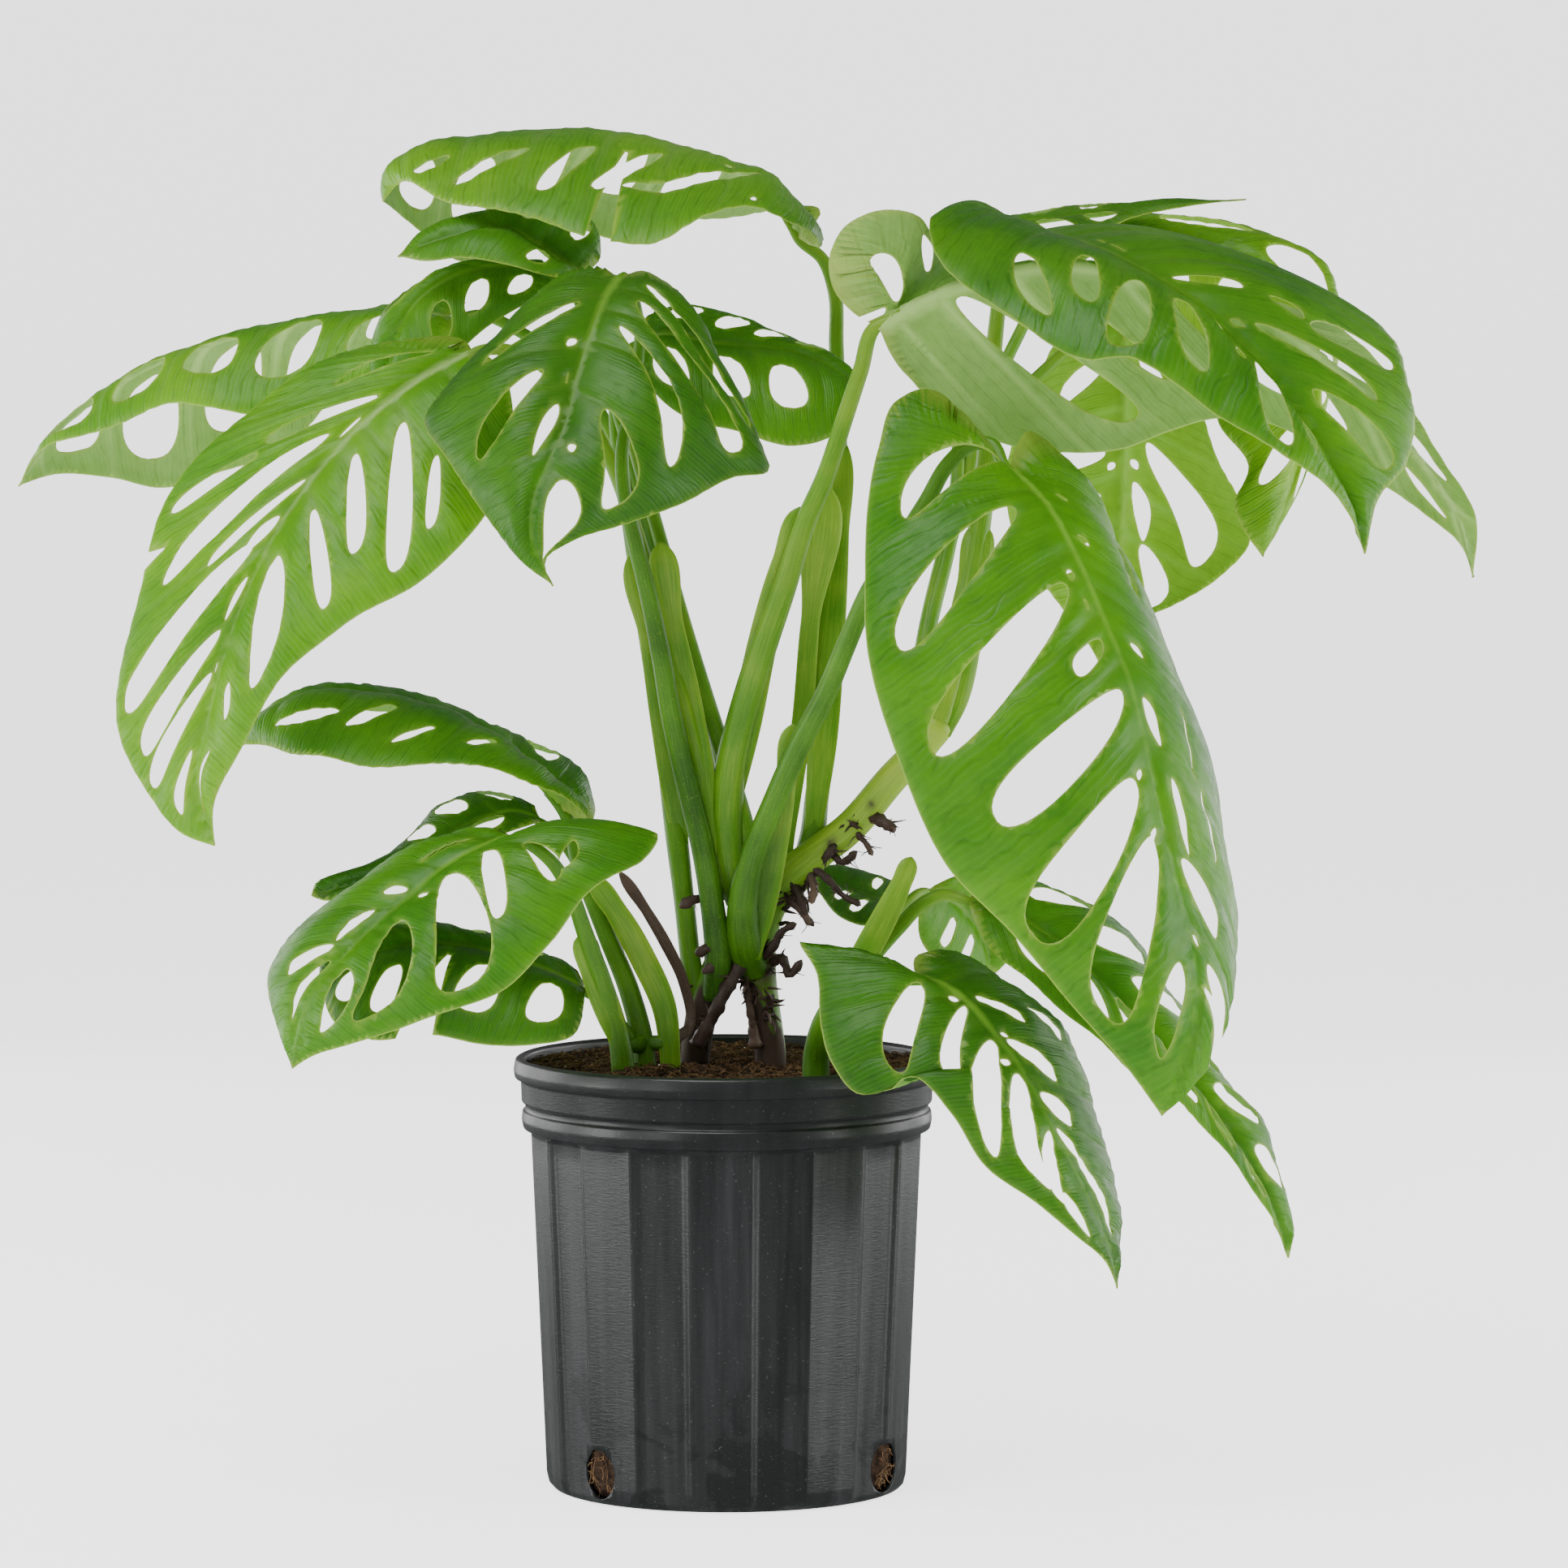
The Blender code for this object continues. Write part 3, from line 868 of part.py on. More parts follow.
def join(name, stalks, roots, colour, roughness):
    """one body of stalks and roots that grew together"""
    group = bpy.data.collections.new(name + "_parts")
    bpy.context.scene.collection.children.link(group)
    first = None
    made = []
    for i, stalk in enumerate(stalks):
        path = stalk_path(stalk)
        sides = 8 if path[:, 3].max() > 7 else 6
        points, faces = tube(path, sides, stalk.get("flat", 1.0), None, 0.13 * (i + 1))
        made.append(add_object(name if i == 0 else name + "_stalk_%d" % i, points, faces, colour,
        roughness))
    for i, root in enumerate(roots):
        path = np.array(root, float)
        path[:, :3] = seen(path[:, :3])
        points, faces = tube(path, 5, 1.0, None, 0.21 * (i + 1))
        made.append(add_object(name + "_root_%d" % i, points, faces, colour, roughness))
    for other in made[1:]:
        bpy.context.scene.collection.objects.unlink(other)
        group.objects.link(other)
    apply_boolean(made[0], "UNION", collection=group)
    return made[0]


def columns():
    """angles round the pot, degrees from the front, and how far into a flute each lies"""
    out = []
    for k in range(FLUTES):
        middle = FLUTE_TURN + k * 360 / FLUTES
        out += [(middle - 9, 0), (middle - 6.5, 1), (middle + 6.5, 1), (middle + 9, 0), (middle + 18, 0)]
    return out


def turned(rows, heap=None):
    """a closed body of rows (radius, height, share of flute depth) round the pot's columns"""
    around = columns()
    points, faces, start = [], [], []
    for radius, height, share in rows:
        start.append(len(points))
        if radius == 0:
            points.append((0, 0, height + (heap(0, 0) if heap and share < 0 else 0)))
            continue
        for angle, in_flute in around:
            a = np.radians(angle)
            r = radius - FLUTE_DEPTH * in_flute * max(share, 0)
            x, y = r * np.sin(a), -r * np.cos(a)
            points.append((x, y, height + (heap(x, y) if heap and share < 0 else 0)))
    n = len(around)
    for i in range(len(rows) - 1):
        a, b = start[i], start[i + 1]
        for k in range(n):
            j = (k + 1) % n
            if rows[i][0] == 0:
                faces.append((a, b + j, b + k))
            elif rows[i + 1][0] == 0:
                faces.append((a + k, a + j, b))
            else:
                faces.append((a + k, a + j, b + j))
                faces.append((a + k, b + j, b + k))
    return points, faces


def drain_cutter(angle):
    """an upright oval plug, pointing out of the pot wall"""
    a = np.radians(angle)
    out, across = np.array([np.sin(a), -np.cos(a), 0]), np.array([np.cos(a), np.sin(a), 0])
    points, faces = [], []
    for reach in (86.0, 116.0):
        for k in range(DRAIN_CORNERS):
            t = 2 * np.pi * (k + 0.37) / DRAIN_CORNERS
            points.append(out * reach + across * 12.8 * np.cos(t) + np.array([0, 0,
            17.4 + 14.4 * np.sin(t)]))
    n = DRAIN_CORNERS
    for k in range(n):
        j = (k + 1) % n
        faces.append((k, j, j + n, k + n))
    faces.append(tuple(range(n))[::-1])
    faces.append(tuple(range(n, 2 * n)))
    return points, faces


def heap(x, y):
    """how far the soil stands above its level at a spot"""
    far = np.hypot(x, y) / SOIL_TOP_RADIUS
    bumps = np.sin(x / 23 + 1.0) * np.cos(y / 19 - 0.6) + 0.6 * np.sin((x - y) / 13)
    rise = 3.2 * np.exp(-((x + 45) ** 2 + (y + 30) ** 2) / 900) - 2.6 * np.exp(-(x - 60) ** 2 / 1200)
    return (1.0 * bumps + rise) * max(0.0, 1 - far ** 6)


def stem_hole(x, y, radius):
    """a plug the shape of the hole that a stem stands in"""
    foot = seen([(x, y, STEM_FOOT)])[0]
    top = seen([(x, y, 252)])[0]
    points, faces = tube([(*foot[:2], foot[2] - 0.8, radius),
            (*top[:2], 268, radius)], 8, 1.0, None, 0.13)
    return points, faces


def build():
    remove_old()
    points, faces = turned(POT_ROWS)
    pot = add_object("pot", points, faces, (0.012, 0.012, 0.013), 0.42)
    for angle in DRAIN_HOLES:
        points, faces = drain_cutter(angle)
        cutter = add_object("drain_plug", points, faces, (0.5, 0.5, 0.5), 0.5)
        apply_boolean(pot, "DIFFERENCE", others=[cutter])
    points, faces = turned(SOIL_ROWS, heap)
    soil = add_object("soil", points, faces, (0.075, 0.045, 0.028), 0.95)
    for hole in STEM_HOLES:
        points, faces = stem_hole(*hole)
        cutter = add_object("stem_plug", points, faces, (0.5, 0.5, 0.5), 0.5)
        apply_boolean(soil, "DIFFERENCE", others=[cutter])
    join("stem_main", MAIN_STALKS, MAIN_ROOTS, (0.20, 0.33, 0.08), 0.45)
    join("stem_left", LEFT_STALKS, [], (0.24, 0.36, 0.10), 0.45)
    join("stem_right", RIGHT_STALKS, [], (0.27, 0.42, 0.10), 0.45)
    for name, leaf in LEAVES.items():
        points, faces = blade_solid(leaf)
        add_object(name, points, faces, leaf.get("colour", (0.10, 0.24, 0.05)), 0.38)


build()
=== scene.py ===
# %% [markdown]
# A large climbing houseplant in a black nursery pot. Its leaves are long leathery blades
# cut through by rows of windows, and each hangs on a stalk that rises from a creeping stem.
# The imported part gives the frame: every piece below is made in metres in that same frame,
# so nothing has to be fitted afterwards.

import bmesh
import bpy
import numpy as np
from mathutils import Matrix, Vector
from mathutils.geometry import delaunay_2d_cdt


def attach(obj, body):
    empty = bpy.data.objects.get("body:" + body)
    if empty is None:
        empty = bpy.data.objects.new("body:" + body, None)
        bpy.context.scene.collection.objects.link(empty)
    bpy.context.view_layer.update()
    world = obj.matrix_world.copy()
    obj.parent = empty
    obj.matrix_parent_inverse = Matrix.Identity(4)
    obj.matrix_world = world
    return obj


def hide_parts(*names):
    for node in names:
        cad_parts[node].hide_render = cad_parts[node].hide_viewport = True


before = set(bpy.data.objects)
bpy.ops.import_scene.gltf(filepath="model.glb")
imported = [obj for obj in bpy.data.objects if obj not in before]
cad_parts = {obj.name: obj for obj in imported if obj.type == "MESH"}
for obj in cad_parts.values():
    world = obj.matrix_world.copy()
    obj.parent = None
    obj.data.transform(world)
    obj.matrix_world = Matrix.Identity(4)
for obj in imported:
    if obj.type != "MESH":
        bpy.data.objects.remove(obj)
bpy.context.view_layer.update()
MM = 0.001

# %% [markdown]
# The picture was taken from the front with a long lens, a little above the leaves. A long
# lens far away keeps near and far leaves the same size, which is why the plant looks so
# flat in it. The camera looks down by four degrees.

# %% Camera
LENS, LOOKS_DOWN = 167.64, 3.99      # mm on a 36 mm sensor, degrees
camera_data = bpy.data.cameras.new("front_camera")
camera_data.sensor_width = 36.0
camera_data.lens = LENS
camera_data.clip_end = 50.0
camera = bpy.data.objects.new("front_camera", camera_data)
camera.location = (0.033, -4.2, 0.700)
camera.rotation_euler = (np.radians(90 - LOOKS_DOWN), 0, 0)
bpy.context.scene.collection.objects.link(camera)
bpy.context.scene.camera = camera
print("camera at", tuple(round(v, 3) for v in camera.location))

# %% [markdown]
# The backdrop is a flat round floor that runs out into a wide dish, so that no horizon
# shows from any side. Both glow a little, as well lit paper does. The floor sends light up
# under the leaves, the dish beyond it is seen by the camera only, and neither shows in
# reflections: white paper mirrored in waxy leaves and black plastic would bleach both.

# %% Floor and backdrop
def new_object(name, points, faces, finish):
    """a smooth-shaded object from points in metres"""
    mesh = bpy.data.meshes.new(name)
    mesh.from_pydata(points, [], faces)
    mesh.polygons.foreach_set("use_smooth", [True] * len(mesh.polygons))
    mesh.materials.append(finish)
    made = bpy.data.objects.new(name, mesh)
    bpy.context.scene.collection.objects.link(made)
    return made


def ring_faces(rings, many, first=0):
    """the faces between rings of points that follow one another, from the first point's number"""
    return [(i + k, i + (k + 1) % many, i + many + (k + 1) % many, i + many + k)
            for i in range(first, first + (rings - 1) * many, many) for k in range(many)]


def turned_paper(name, profile, finish, many=96):
    """a round sheet of paper, turned from (radius, height) points in metres"""
    a = 2 * np.pi * np.arange(many) / many
    points = [(r * np.cos(t), r * np.sin(t), z) for r, z in profile for t in a]
    sheet = new_object(name, points, ring_faces(len(profile), many), finish)
    sheet.visible_glossy = False
    return sheet


paper = bpy.data.materials.new("studio_paper")
paper.use_nodes = True
for socket, value in (("Base Color", (0.86, 0.86, 0.85, 1)), ("Roughness", 0.9),
                      ("Emission Color", (1, 1, 1, 1)), ("Emission Strength", 2.1)):
    paper.node_tree.nodes["Principled BSDF"].inputs[socket].default_value = value
LEVEL, FLOOR_RADIUS, BEND, WALL, WALL_TOP = -0.0006, 3.0, 2.5, 9.5, 7.0
floor = turned_paper("studio_floor", [(0.001, LEVEL), (FLOOR_RADIUS, LEVEL)], paper)
bend = [(WALL - BEND + BEND * np.sin(t), LEVEL + BEND * (1 - np.cos(t)))
        for t in np.linspace(0, np.pi / 2, 14)]
screen = turned_paper("studio_screen", [(FLOOR_RADIUS, LEVEL)] + bend + [(WALL, WALL_TOP)], paper)
screen.visible_diffuse = False
screen.visible_shadow = False
print("floor and screen faces:", len(floor.data.polygons), len(screen.data.polygons))

# %% [markdown]
# One large soft panel hangs above. Tall ones stand at the sides and draw the flutes of the
# pot, and four behind the plant light the edges of the blades.

# %% Lights
PANELS = {                   # place, what it faces, width, height, watts
    "top_panel": ((-0.7, -1.5, 2.7), (0, 0, 0.5), 1.8, 1.8, 68),
    "left_panel": ((-2.2, -0.6, 0.42), (0, 0, 0.2), 0.8, 1.2, 25),
    "right_panel": ((2.2, -0.8, 0.42), (0, 0, 0.2), 0.8, 1.2, 30),
    "left_front_panel": ((-1.6, -2.0, 0.5), (0, 0, 0.15), 0.5, 1.2, 8),
    "left_edge_panel": ((-2.1, 0.9, 0.6), (0, 0, 0.3), 1.1, 1.5, 22),
    "right_edge_panel": ((2.1, 0.7, 0.6), (0, 0, 0.3), 1.1, 1.5, 22),
    "left_back_panel": ((-1.5, 2.0, 0.6), (0, 0, 0.3), 0.9, 1.4, 12),
    "right_back_panel": ((1.5, 2.0, 0.6), (0, 0, 0.3), 0.9, 1.4, 12),
}
for name, (place, aim, wide, tall, watts) in PANELS.items():
    data = bpy.data.lights.new(name, "AREA")
    data.shape = "RECTANGLE"
    data.size, data.size_y = wide, tall
    data.energy = watts
    light = bpy.data.objects.new(name, data)
    light.location = place
    light.rotation_euler = (Vector(aim) - Vector(place)).to_track_quat("-Z", "Y").to_euler()
    light.visible_camera = False
    bpy.context.scene.collection.objects.link(light)
world = bpy.data.worlds.new("studio_air")
bpy.context.scene.world = world
world.use_nodes = True
world.node_tree.nodes["Background"].inputs["Color"].default_value = (1, 1, 1, 1)
world.node_tree.nodes["Background"].inputs["Strength"].default_value = 0.22
print("lights:", len(PANELS))

# %% [markdown]
# Every finish here is made of nodes, with no pictures. A few small helpers keep the node
# code short: they add a node and fill its sockets, do sums, mix colours, draw noise, open
# a node group with named sockets, and make a material around a Principled shader.

# %% Helpers for nodes
def feed(tree, socket, value):
    """link another node's output to a socket, or set a number, a vector or a colour on it"""
    if isinstance(value, bpy.types.NodeSocket):
        tree.links.new(value, socket)
    elif socket.type == "RGBA":
        socket.default_value = (*value, 1)
    else:
        socket.default_value = value


def put(tree, kind, settings=None, **sockets):
    """add a node; _0 names its first socket, _1 its second, and Some_Name the one so called"""
    node = tree.nodes.new("ShaderNode" + kind)
    for key, value in (settings or {}).items():
        setattr(node, key, value)
    for key, value in sockets.items():
        feed(tree, node.inputs[int(key[1:]) if key[0] == "_" else key.replace("_", " ")], value)
    return node


def maths(tree, operation, a, b=0.0):
    return put(tree, "Math", {"operation": operation}, _0=a, _1=b).outputs[0]


def times(tree, a, b):
    return maths(tree, "MULTIPLY", a, b)


def plus(tree, a, b):
    return maths(tree, "ADD", a, b)


def noise(tree, where, scale, detail, rough=0.5, **more):
    node = put(tree, "TexNoise", Vector=where, Scale=scale, Detail=detail, Roughness=rough, **more)
    return node.outputs[0]


def marks(tree, name):
    """the numbers that a mesh keeps on its points under a name"""
    return put(tree, "Attribute", {"attribute_name": name}).outputs["Color"]


def blend_colour(tree, share, a, b, way="MIX"):
    return put(tree, "Mix", {"data_type": "RGBA", "blend_type": way}, _0=share, _6=a, _7=b).outputs[2]


def spread(tree, value, low, high, to_low=0.0, to_high=1.0):
    """move a value from one range to another, held at both ends"""
    return put(tree, "MapRange", Value=value, From_Min=low, From_Max=high, To_Min=to_low,
               To_Max=to_high).outputs[0]


def open_group(name, inputs, outputs):
    """a node group with named sockets: name -> "f" for a number or "c" for a colour"""
    tree = bpy.data.node_groups.new(name, "ShaderNodeTree")
    kinds = {"f": "NodeSocketFloat", "c": "NodeSocketColor"}
    for key, kind in inputs.items():
        tree.interface.new_socket(key, in_out="INPUT", socket_type=kinds[kind])
    for key, kind in outputs.items():
        tree.interface.new_socket(key, in_out="OUTPUT", socket_type=kinds[kind])
    return tree, tree.nodes.new("NodeGroupInput").outputs, tree.nodes.new("NodeGroupOutput").inputs


def close_group(tree, outs, **values):
    for key, value in values.items():
        tree.links.new(value, outs[key])
    print("group", tree.name, "nodes:", len(tree.nodes))
    return tree


def use_group(tree, group, **values):
    node = tree.nodes.new("ShaderNodeGroup")
    node.node_tree = group
    for key, value in values.items():
        feed(tree, node.inputs[key], value)
    return node.outputs


def start_material(name, **plain):
    """a material around a Principled shader; plain numbers go straight on its sockets"""
    mat = bpy.data.materials.new(name)
    mat.use_nodes = True
    tree = mat.node_tree
    shader = tree.nodes["Principled BSDF"]
    for key, value in plain.items():
        shader.inputs[key.replace("_", " ")].default_value = value
    return mat, tree, shader


def dress(tree, shader, colour, rough, height, strength, distance):
    """lead a colour, a roughness and a height to the shader; no roughness leaves its own"""
    tree.links.new(colour, shader.inputs["Base Color"])
    if rough is not None:
        tree.links.new(rough, shader.inputs["Roughness"])
    bump = put(tree, "Bump", Strength=strength, Distance=distance, Height=height)
    tree.links.new(bump.outputs[0], shader.inputs["Normal"])


print("helpers for nodes are ready")


# %% [markdown]
# A blade is glossy and full green above, paler and duller beneath. Its main veins run in shallow channels,
# fine parallel veins fill the space between them, and the margin and the rims of the windows are drawn in
# pale yellow-green. On the upper face the shade in the vein channels and grooves is painted in as darker
# green, and beneath in the grooves alone. The mesh carries these places as numbers on its points, called
# leaf_map and leaf_grain, and this group turns them into colour, roughness and height. It is a group because
# every leaf material uses it.

# %% Leaf tissue
def make_leaf_tissue():
    tree, gin, gout = open_group(
        "leaf_tissue",
        {"Upper": "c", "Fresh": "c", "Beneath": "c", "Vein": "c", "Margin": "c", "Freshness": "f"},
        {"Color": "c", "Roughness": "f", "Height": "f"})
    vein, rib, rim = put(tree, "SeparateColor", _0=marks(tree, "leaf_map")).outputs
    vein_number, out, beneath = put(tree, "SeparateColor", _0=marks(tree, "leaf_grain")).outputs
    where = put(tree, "TexCoord").outputs["Object"]
    broad = noise(tree, where, 14.0, 2.0)
    small = noise(tree, where, 150.0, 4.0, 0.6)
    sway = noise(tree, where, 40.0, 1.0)
    # fine parallel veins, and a second, wider set between them
    phase = plus(tree, times(tree, vein_number, 780.0), times(tree, sway, 9.0))
    fine = times(tree, spread(tree, maths(tree, "SINE", phase), -0.2, 1.0), spread(tree, out, 0.03, 0.25))
    phase = plus(tree, times(tree, vein_number, 236.0), times(tree, sway, 11.0))
    second = times(tree, spread(tree, maths(tree, "SINE", phase), 0.80, 1.0), spread(tree, out, 0.06, 0.3))
    second = times(tree, second, spread(tree, small, 0.35, 0.6, 0.35, 1.0))
    # the upper face; shade in the channels of the main veins and in the grooves of the second set is painted
    # darker into its colour
    freshness = times(tree, spread(tree, broad, 0.38, 0.66), gin["Freshness"])
    top = blend_colour(tree, freshness, gin["Upper"], gin["Fresh"])
    top = blend_colour(tree, times(tree, fine, 0.055), top, gin["Vein"])
    dark = blend_colour(tree, 1.0, top, (0.62, 0.66, 0.55), "MULTIPLY")
    top = blend_colour(tree, spread(tree, small, 0.40, 0.75, 0.0, 0.40), top, dark)
    # painted shade: the grooves of the second veins and the channels of the main veins are darkened as if
    # shade lay in them
    top = blend_colour(tree, times(tree, second, 0.55), top, dark)
    top = blend_colour(tree, times(tree, vein, 0.45), top, dark)
    # the face beneath
    low = blend_colour(tree, times(tree, fine, 0.12), gin["Beneath"], gin["Vein"])
    low = blend_colour(tree, spread(tree, broad, 0.35, 0.65, 0.0, 0.35), low, gin["Fresh"])
    shade = blend_colour(tree, 1.0, low, (0.62, 0.70, 0.52), "MULTIPLY")
    low = blend_colour(tree, times(tree, second, 0.45), low, shade)
    low = blend_colour(tree, spread(tree, small, 0.42, 0.75, 0.0, 0.40), low, shade)
    # both faces, with their veins, midrib and rims
    skin = blend_colour(tree, beneath, top, low)
    drawn = maths(tree, "MAXIMUM", times(tree, vein, spread(tree, beneath, 0.0, 1.0, 0.12, 0.80)), rib)
    skin = blend_colour(tree, drawn, skin, gin["Vein"])
    skin = blend_colour(tree, times(tree, rim, 0.55), skin, gin["Margin"])
    rough = plus(tree, spread(tree, small, 0.3, 0.7, 0.30, 0.42), times(tree, beneath, 0.16))
    rough = plus(tree, rough, times(tree, fine, 0.04))
    high = plus(tree, times(tree, fine, 0.20), times(tree, small, 0.5))
    high = maths(tree, "SUBTRACT", high, times(tree, vein, 0.8))
    high = maths(tree, "SUBTRACT", high, times(tree, second, 0.6))
    return close_group(tree, gout, Color=skin, Roughness=rough, Height=high)


leaf_tissue = make_leaf_tissue()

# %% [markdown]
# One plant carries older, darker blades and younger, yellower ones, and one far leaf that the light shines
# through. They differ in their colours alone, so the glow of that far leaf is painted backlight, in brighter
# yellow-green colours. A little light is let into the tissue, mostly green, which is what makes a thin leaf
# look alive.

# %% Leaf materials
PALE_VEIN, BRIGHT_VEIN, PALE_RIM = (0.17, 0.36, 0.03), (0.32, 0.50, 0.14), (0.34, 0.44, 0.07)
LEAF_COLOURS = {             # upper face, its fresh places, beneath, veins, how much is fresh
    "mature": ((0.030, 0.135, 0.003), (0.070, 0.215, 0.004), (0.11, 0.25, 0.03), PALE_VEIN, 0.85),
    "fresh": ((0.058, 0.200, 0.003), (0.115, 0.290, 0.004), (0.19, 0.34, 0.08), BRIGHT_VEIN, 0.9),
    "deep": ((0.018, 0.085, 0.003), (0.042, 0.150, 0.004), (0.08, 0.19, 0.03), PALE_VEIN, 0.75),
    # painted backlight: brighter yellow-green colours stand in for light shining through these far blades
    "painted_backlight": ((0.085, 0.230, 0.003), (0.160, 0.330, 0.003), (0.15, 0.32, 0.008), PALE_VEIN, 1.0),
}
leaf_materials = {}
for name, (upper, fresh, beneath, vein, freshness) in LEAF_COLOURS.items():
    mat, tree, shader = start_material("leaf_" + name, Specular_IOR_Level=0.21, Subsurface_Weight=0.10,
                                       Subsurface_Scale=0.003, Subsurface_Radius=(0.55, 1.0, 0.15))
    made = use_group(tree, leaf_tissue, Upper=upper, Fresh=fresh, Beneath=beneath, Vein=vein,
                     Margin=PALE_RIM, Freshness=freshness)
    dress(tree, shader, made["Color"], made["Roughness"], made["Height"], 0.42, 0.0009)
    leaf_materials[name] = mat
print("leaf materials:", ", ".join(leaf_materials))

# %% [markdown]
# The plant's shape is read from the front, the way a botanist draws from a specimen: each
# point is written as (across, depth, height) in millimetres as it lines up for an eye
# 4.2 m away, with depth positive to the back, and one function moves it to where it stands.
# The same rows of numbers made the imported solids, so the fine blades lie exactly over them.

# %% From the drawn view to the real place
EYE = (33.0, -4200.0, 700.0)
HALF_LEAF = [(0.0, 0.015), (-0.05, 0.10), (-0.12, 0.26), (-0.11, 0.38), (-0.02, 0.45), (0.15, 0.48),
             (0.34, 0.46), (0.52, 0.39), (0.68, 0.28), (0.82, 0.16), (0.93, 0.05), (1.0, 0.0)]
LOBE = 0.12        # share of the margin whose veins all start at the foot of the midrib
SIDES = ("left", "right")


def seen(points):
    """move points from where they line up in the front view to where they stand"""
    p = np.array(points, float)
    eye = np.array(EYE)
    grow = (p[:, 1:2] - eye[1]) / -eye[1]
    out = p.copy()
    out[:, 0:1] = eye[0] + (p[:, 0:1] - eye[0]) * grow
    out[:, 2:3] = eye[2] + (p[:, 2:3] - eye[2]) * grow
    return out


def run_length(curve):
    return np.linalg.norm(np.diff(curve, axis=0), axis=1).sum()


def smooth(points, count):
    """count points spaced evenly along a smooth curve through the given points"""
    p = np.asarray(points, float)
    step = np.linalg.norm(np.diff(p, axis=0), axis=1)
    t = np.concatenate([[0.0], np.cumsum(step)])
    slope = np.diff(p, axis=0) / step[:, None]
    m = np.empty_like(p)
    m[1:-1] = (slope[:-1] * step[1:, None] + slope[1:] * step[:-1, None]) / (step[1:] + step[:-1])[:, None]
    m[0], m[-1] = slope[0], slope[-1]
    fine = np.linspace(0, t[-1], 600)
    k = np.clip(np.searchsorted(t, fine, "right") - 1, 0, len(p) - 2)
    u = ((fine - t[k]) / step[k])[:, None]
    h = step[k][:, None]
    q = ((2*u**3 - 3*u**2 + 1) * p[k] + (u**3 - 2*u**2 + u) * h * m[k]
         + (3*u**2 - 2*u**3) * p[k + 1] + (u**3 - u**2) * h * m[k + 1])
    run = np.concatenate([[0.0], np.cumsum(np.linalg.norm(np.diff(q, axis=0), axis=1))])
    want = np.linspace(0, run[-1], count)
    return np.stack([np.interp(want, run, q[:, i]) for i in range(p.shape[1])], 1)


def along(curve, share):
    """the point a share of the way along an evenly spaced curve"""
    grid = np.linspace(0, 1, len(curve))
    return np.stack([np.interp(share, grid, curve[:, i]) for i in range(curve.shape[1])], -1)


def unit(v):
    return v / np.maximum(np.linalg.norm(v, axis=-1, keepdims=True), 1e-9)


print("an eye at", EYE, "mm")


# %% [markdown]
# A blade could be a flat card bent by modifiers, but its windows follow the veins, and each
# half is arched and folded its own way. So a blade is a little map instead: every spot has
# a vein number from 0 at the notch to 1 at the tip, and a distance out from the midrib to
# the margin. The map gives the spot's place in space. Windows, creases and colours are all
# written in the map's two numbers.

# %% The map of one blade
RIB_POINTS, MARGIN_POINTS = 121, 241      # along the midrib, and along the margin of one half
WIDEST = 72                               # the margin's point that stands for its widest place
FOOT_POINTS = 37                          # the margin's points that lie round the foot
FOOT_GAP = 2.5                            # mm from the midrib's foot to either half's corner
FARTHEST_MOVE = 4                         # mm that a margin may be moved to keep it open


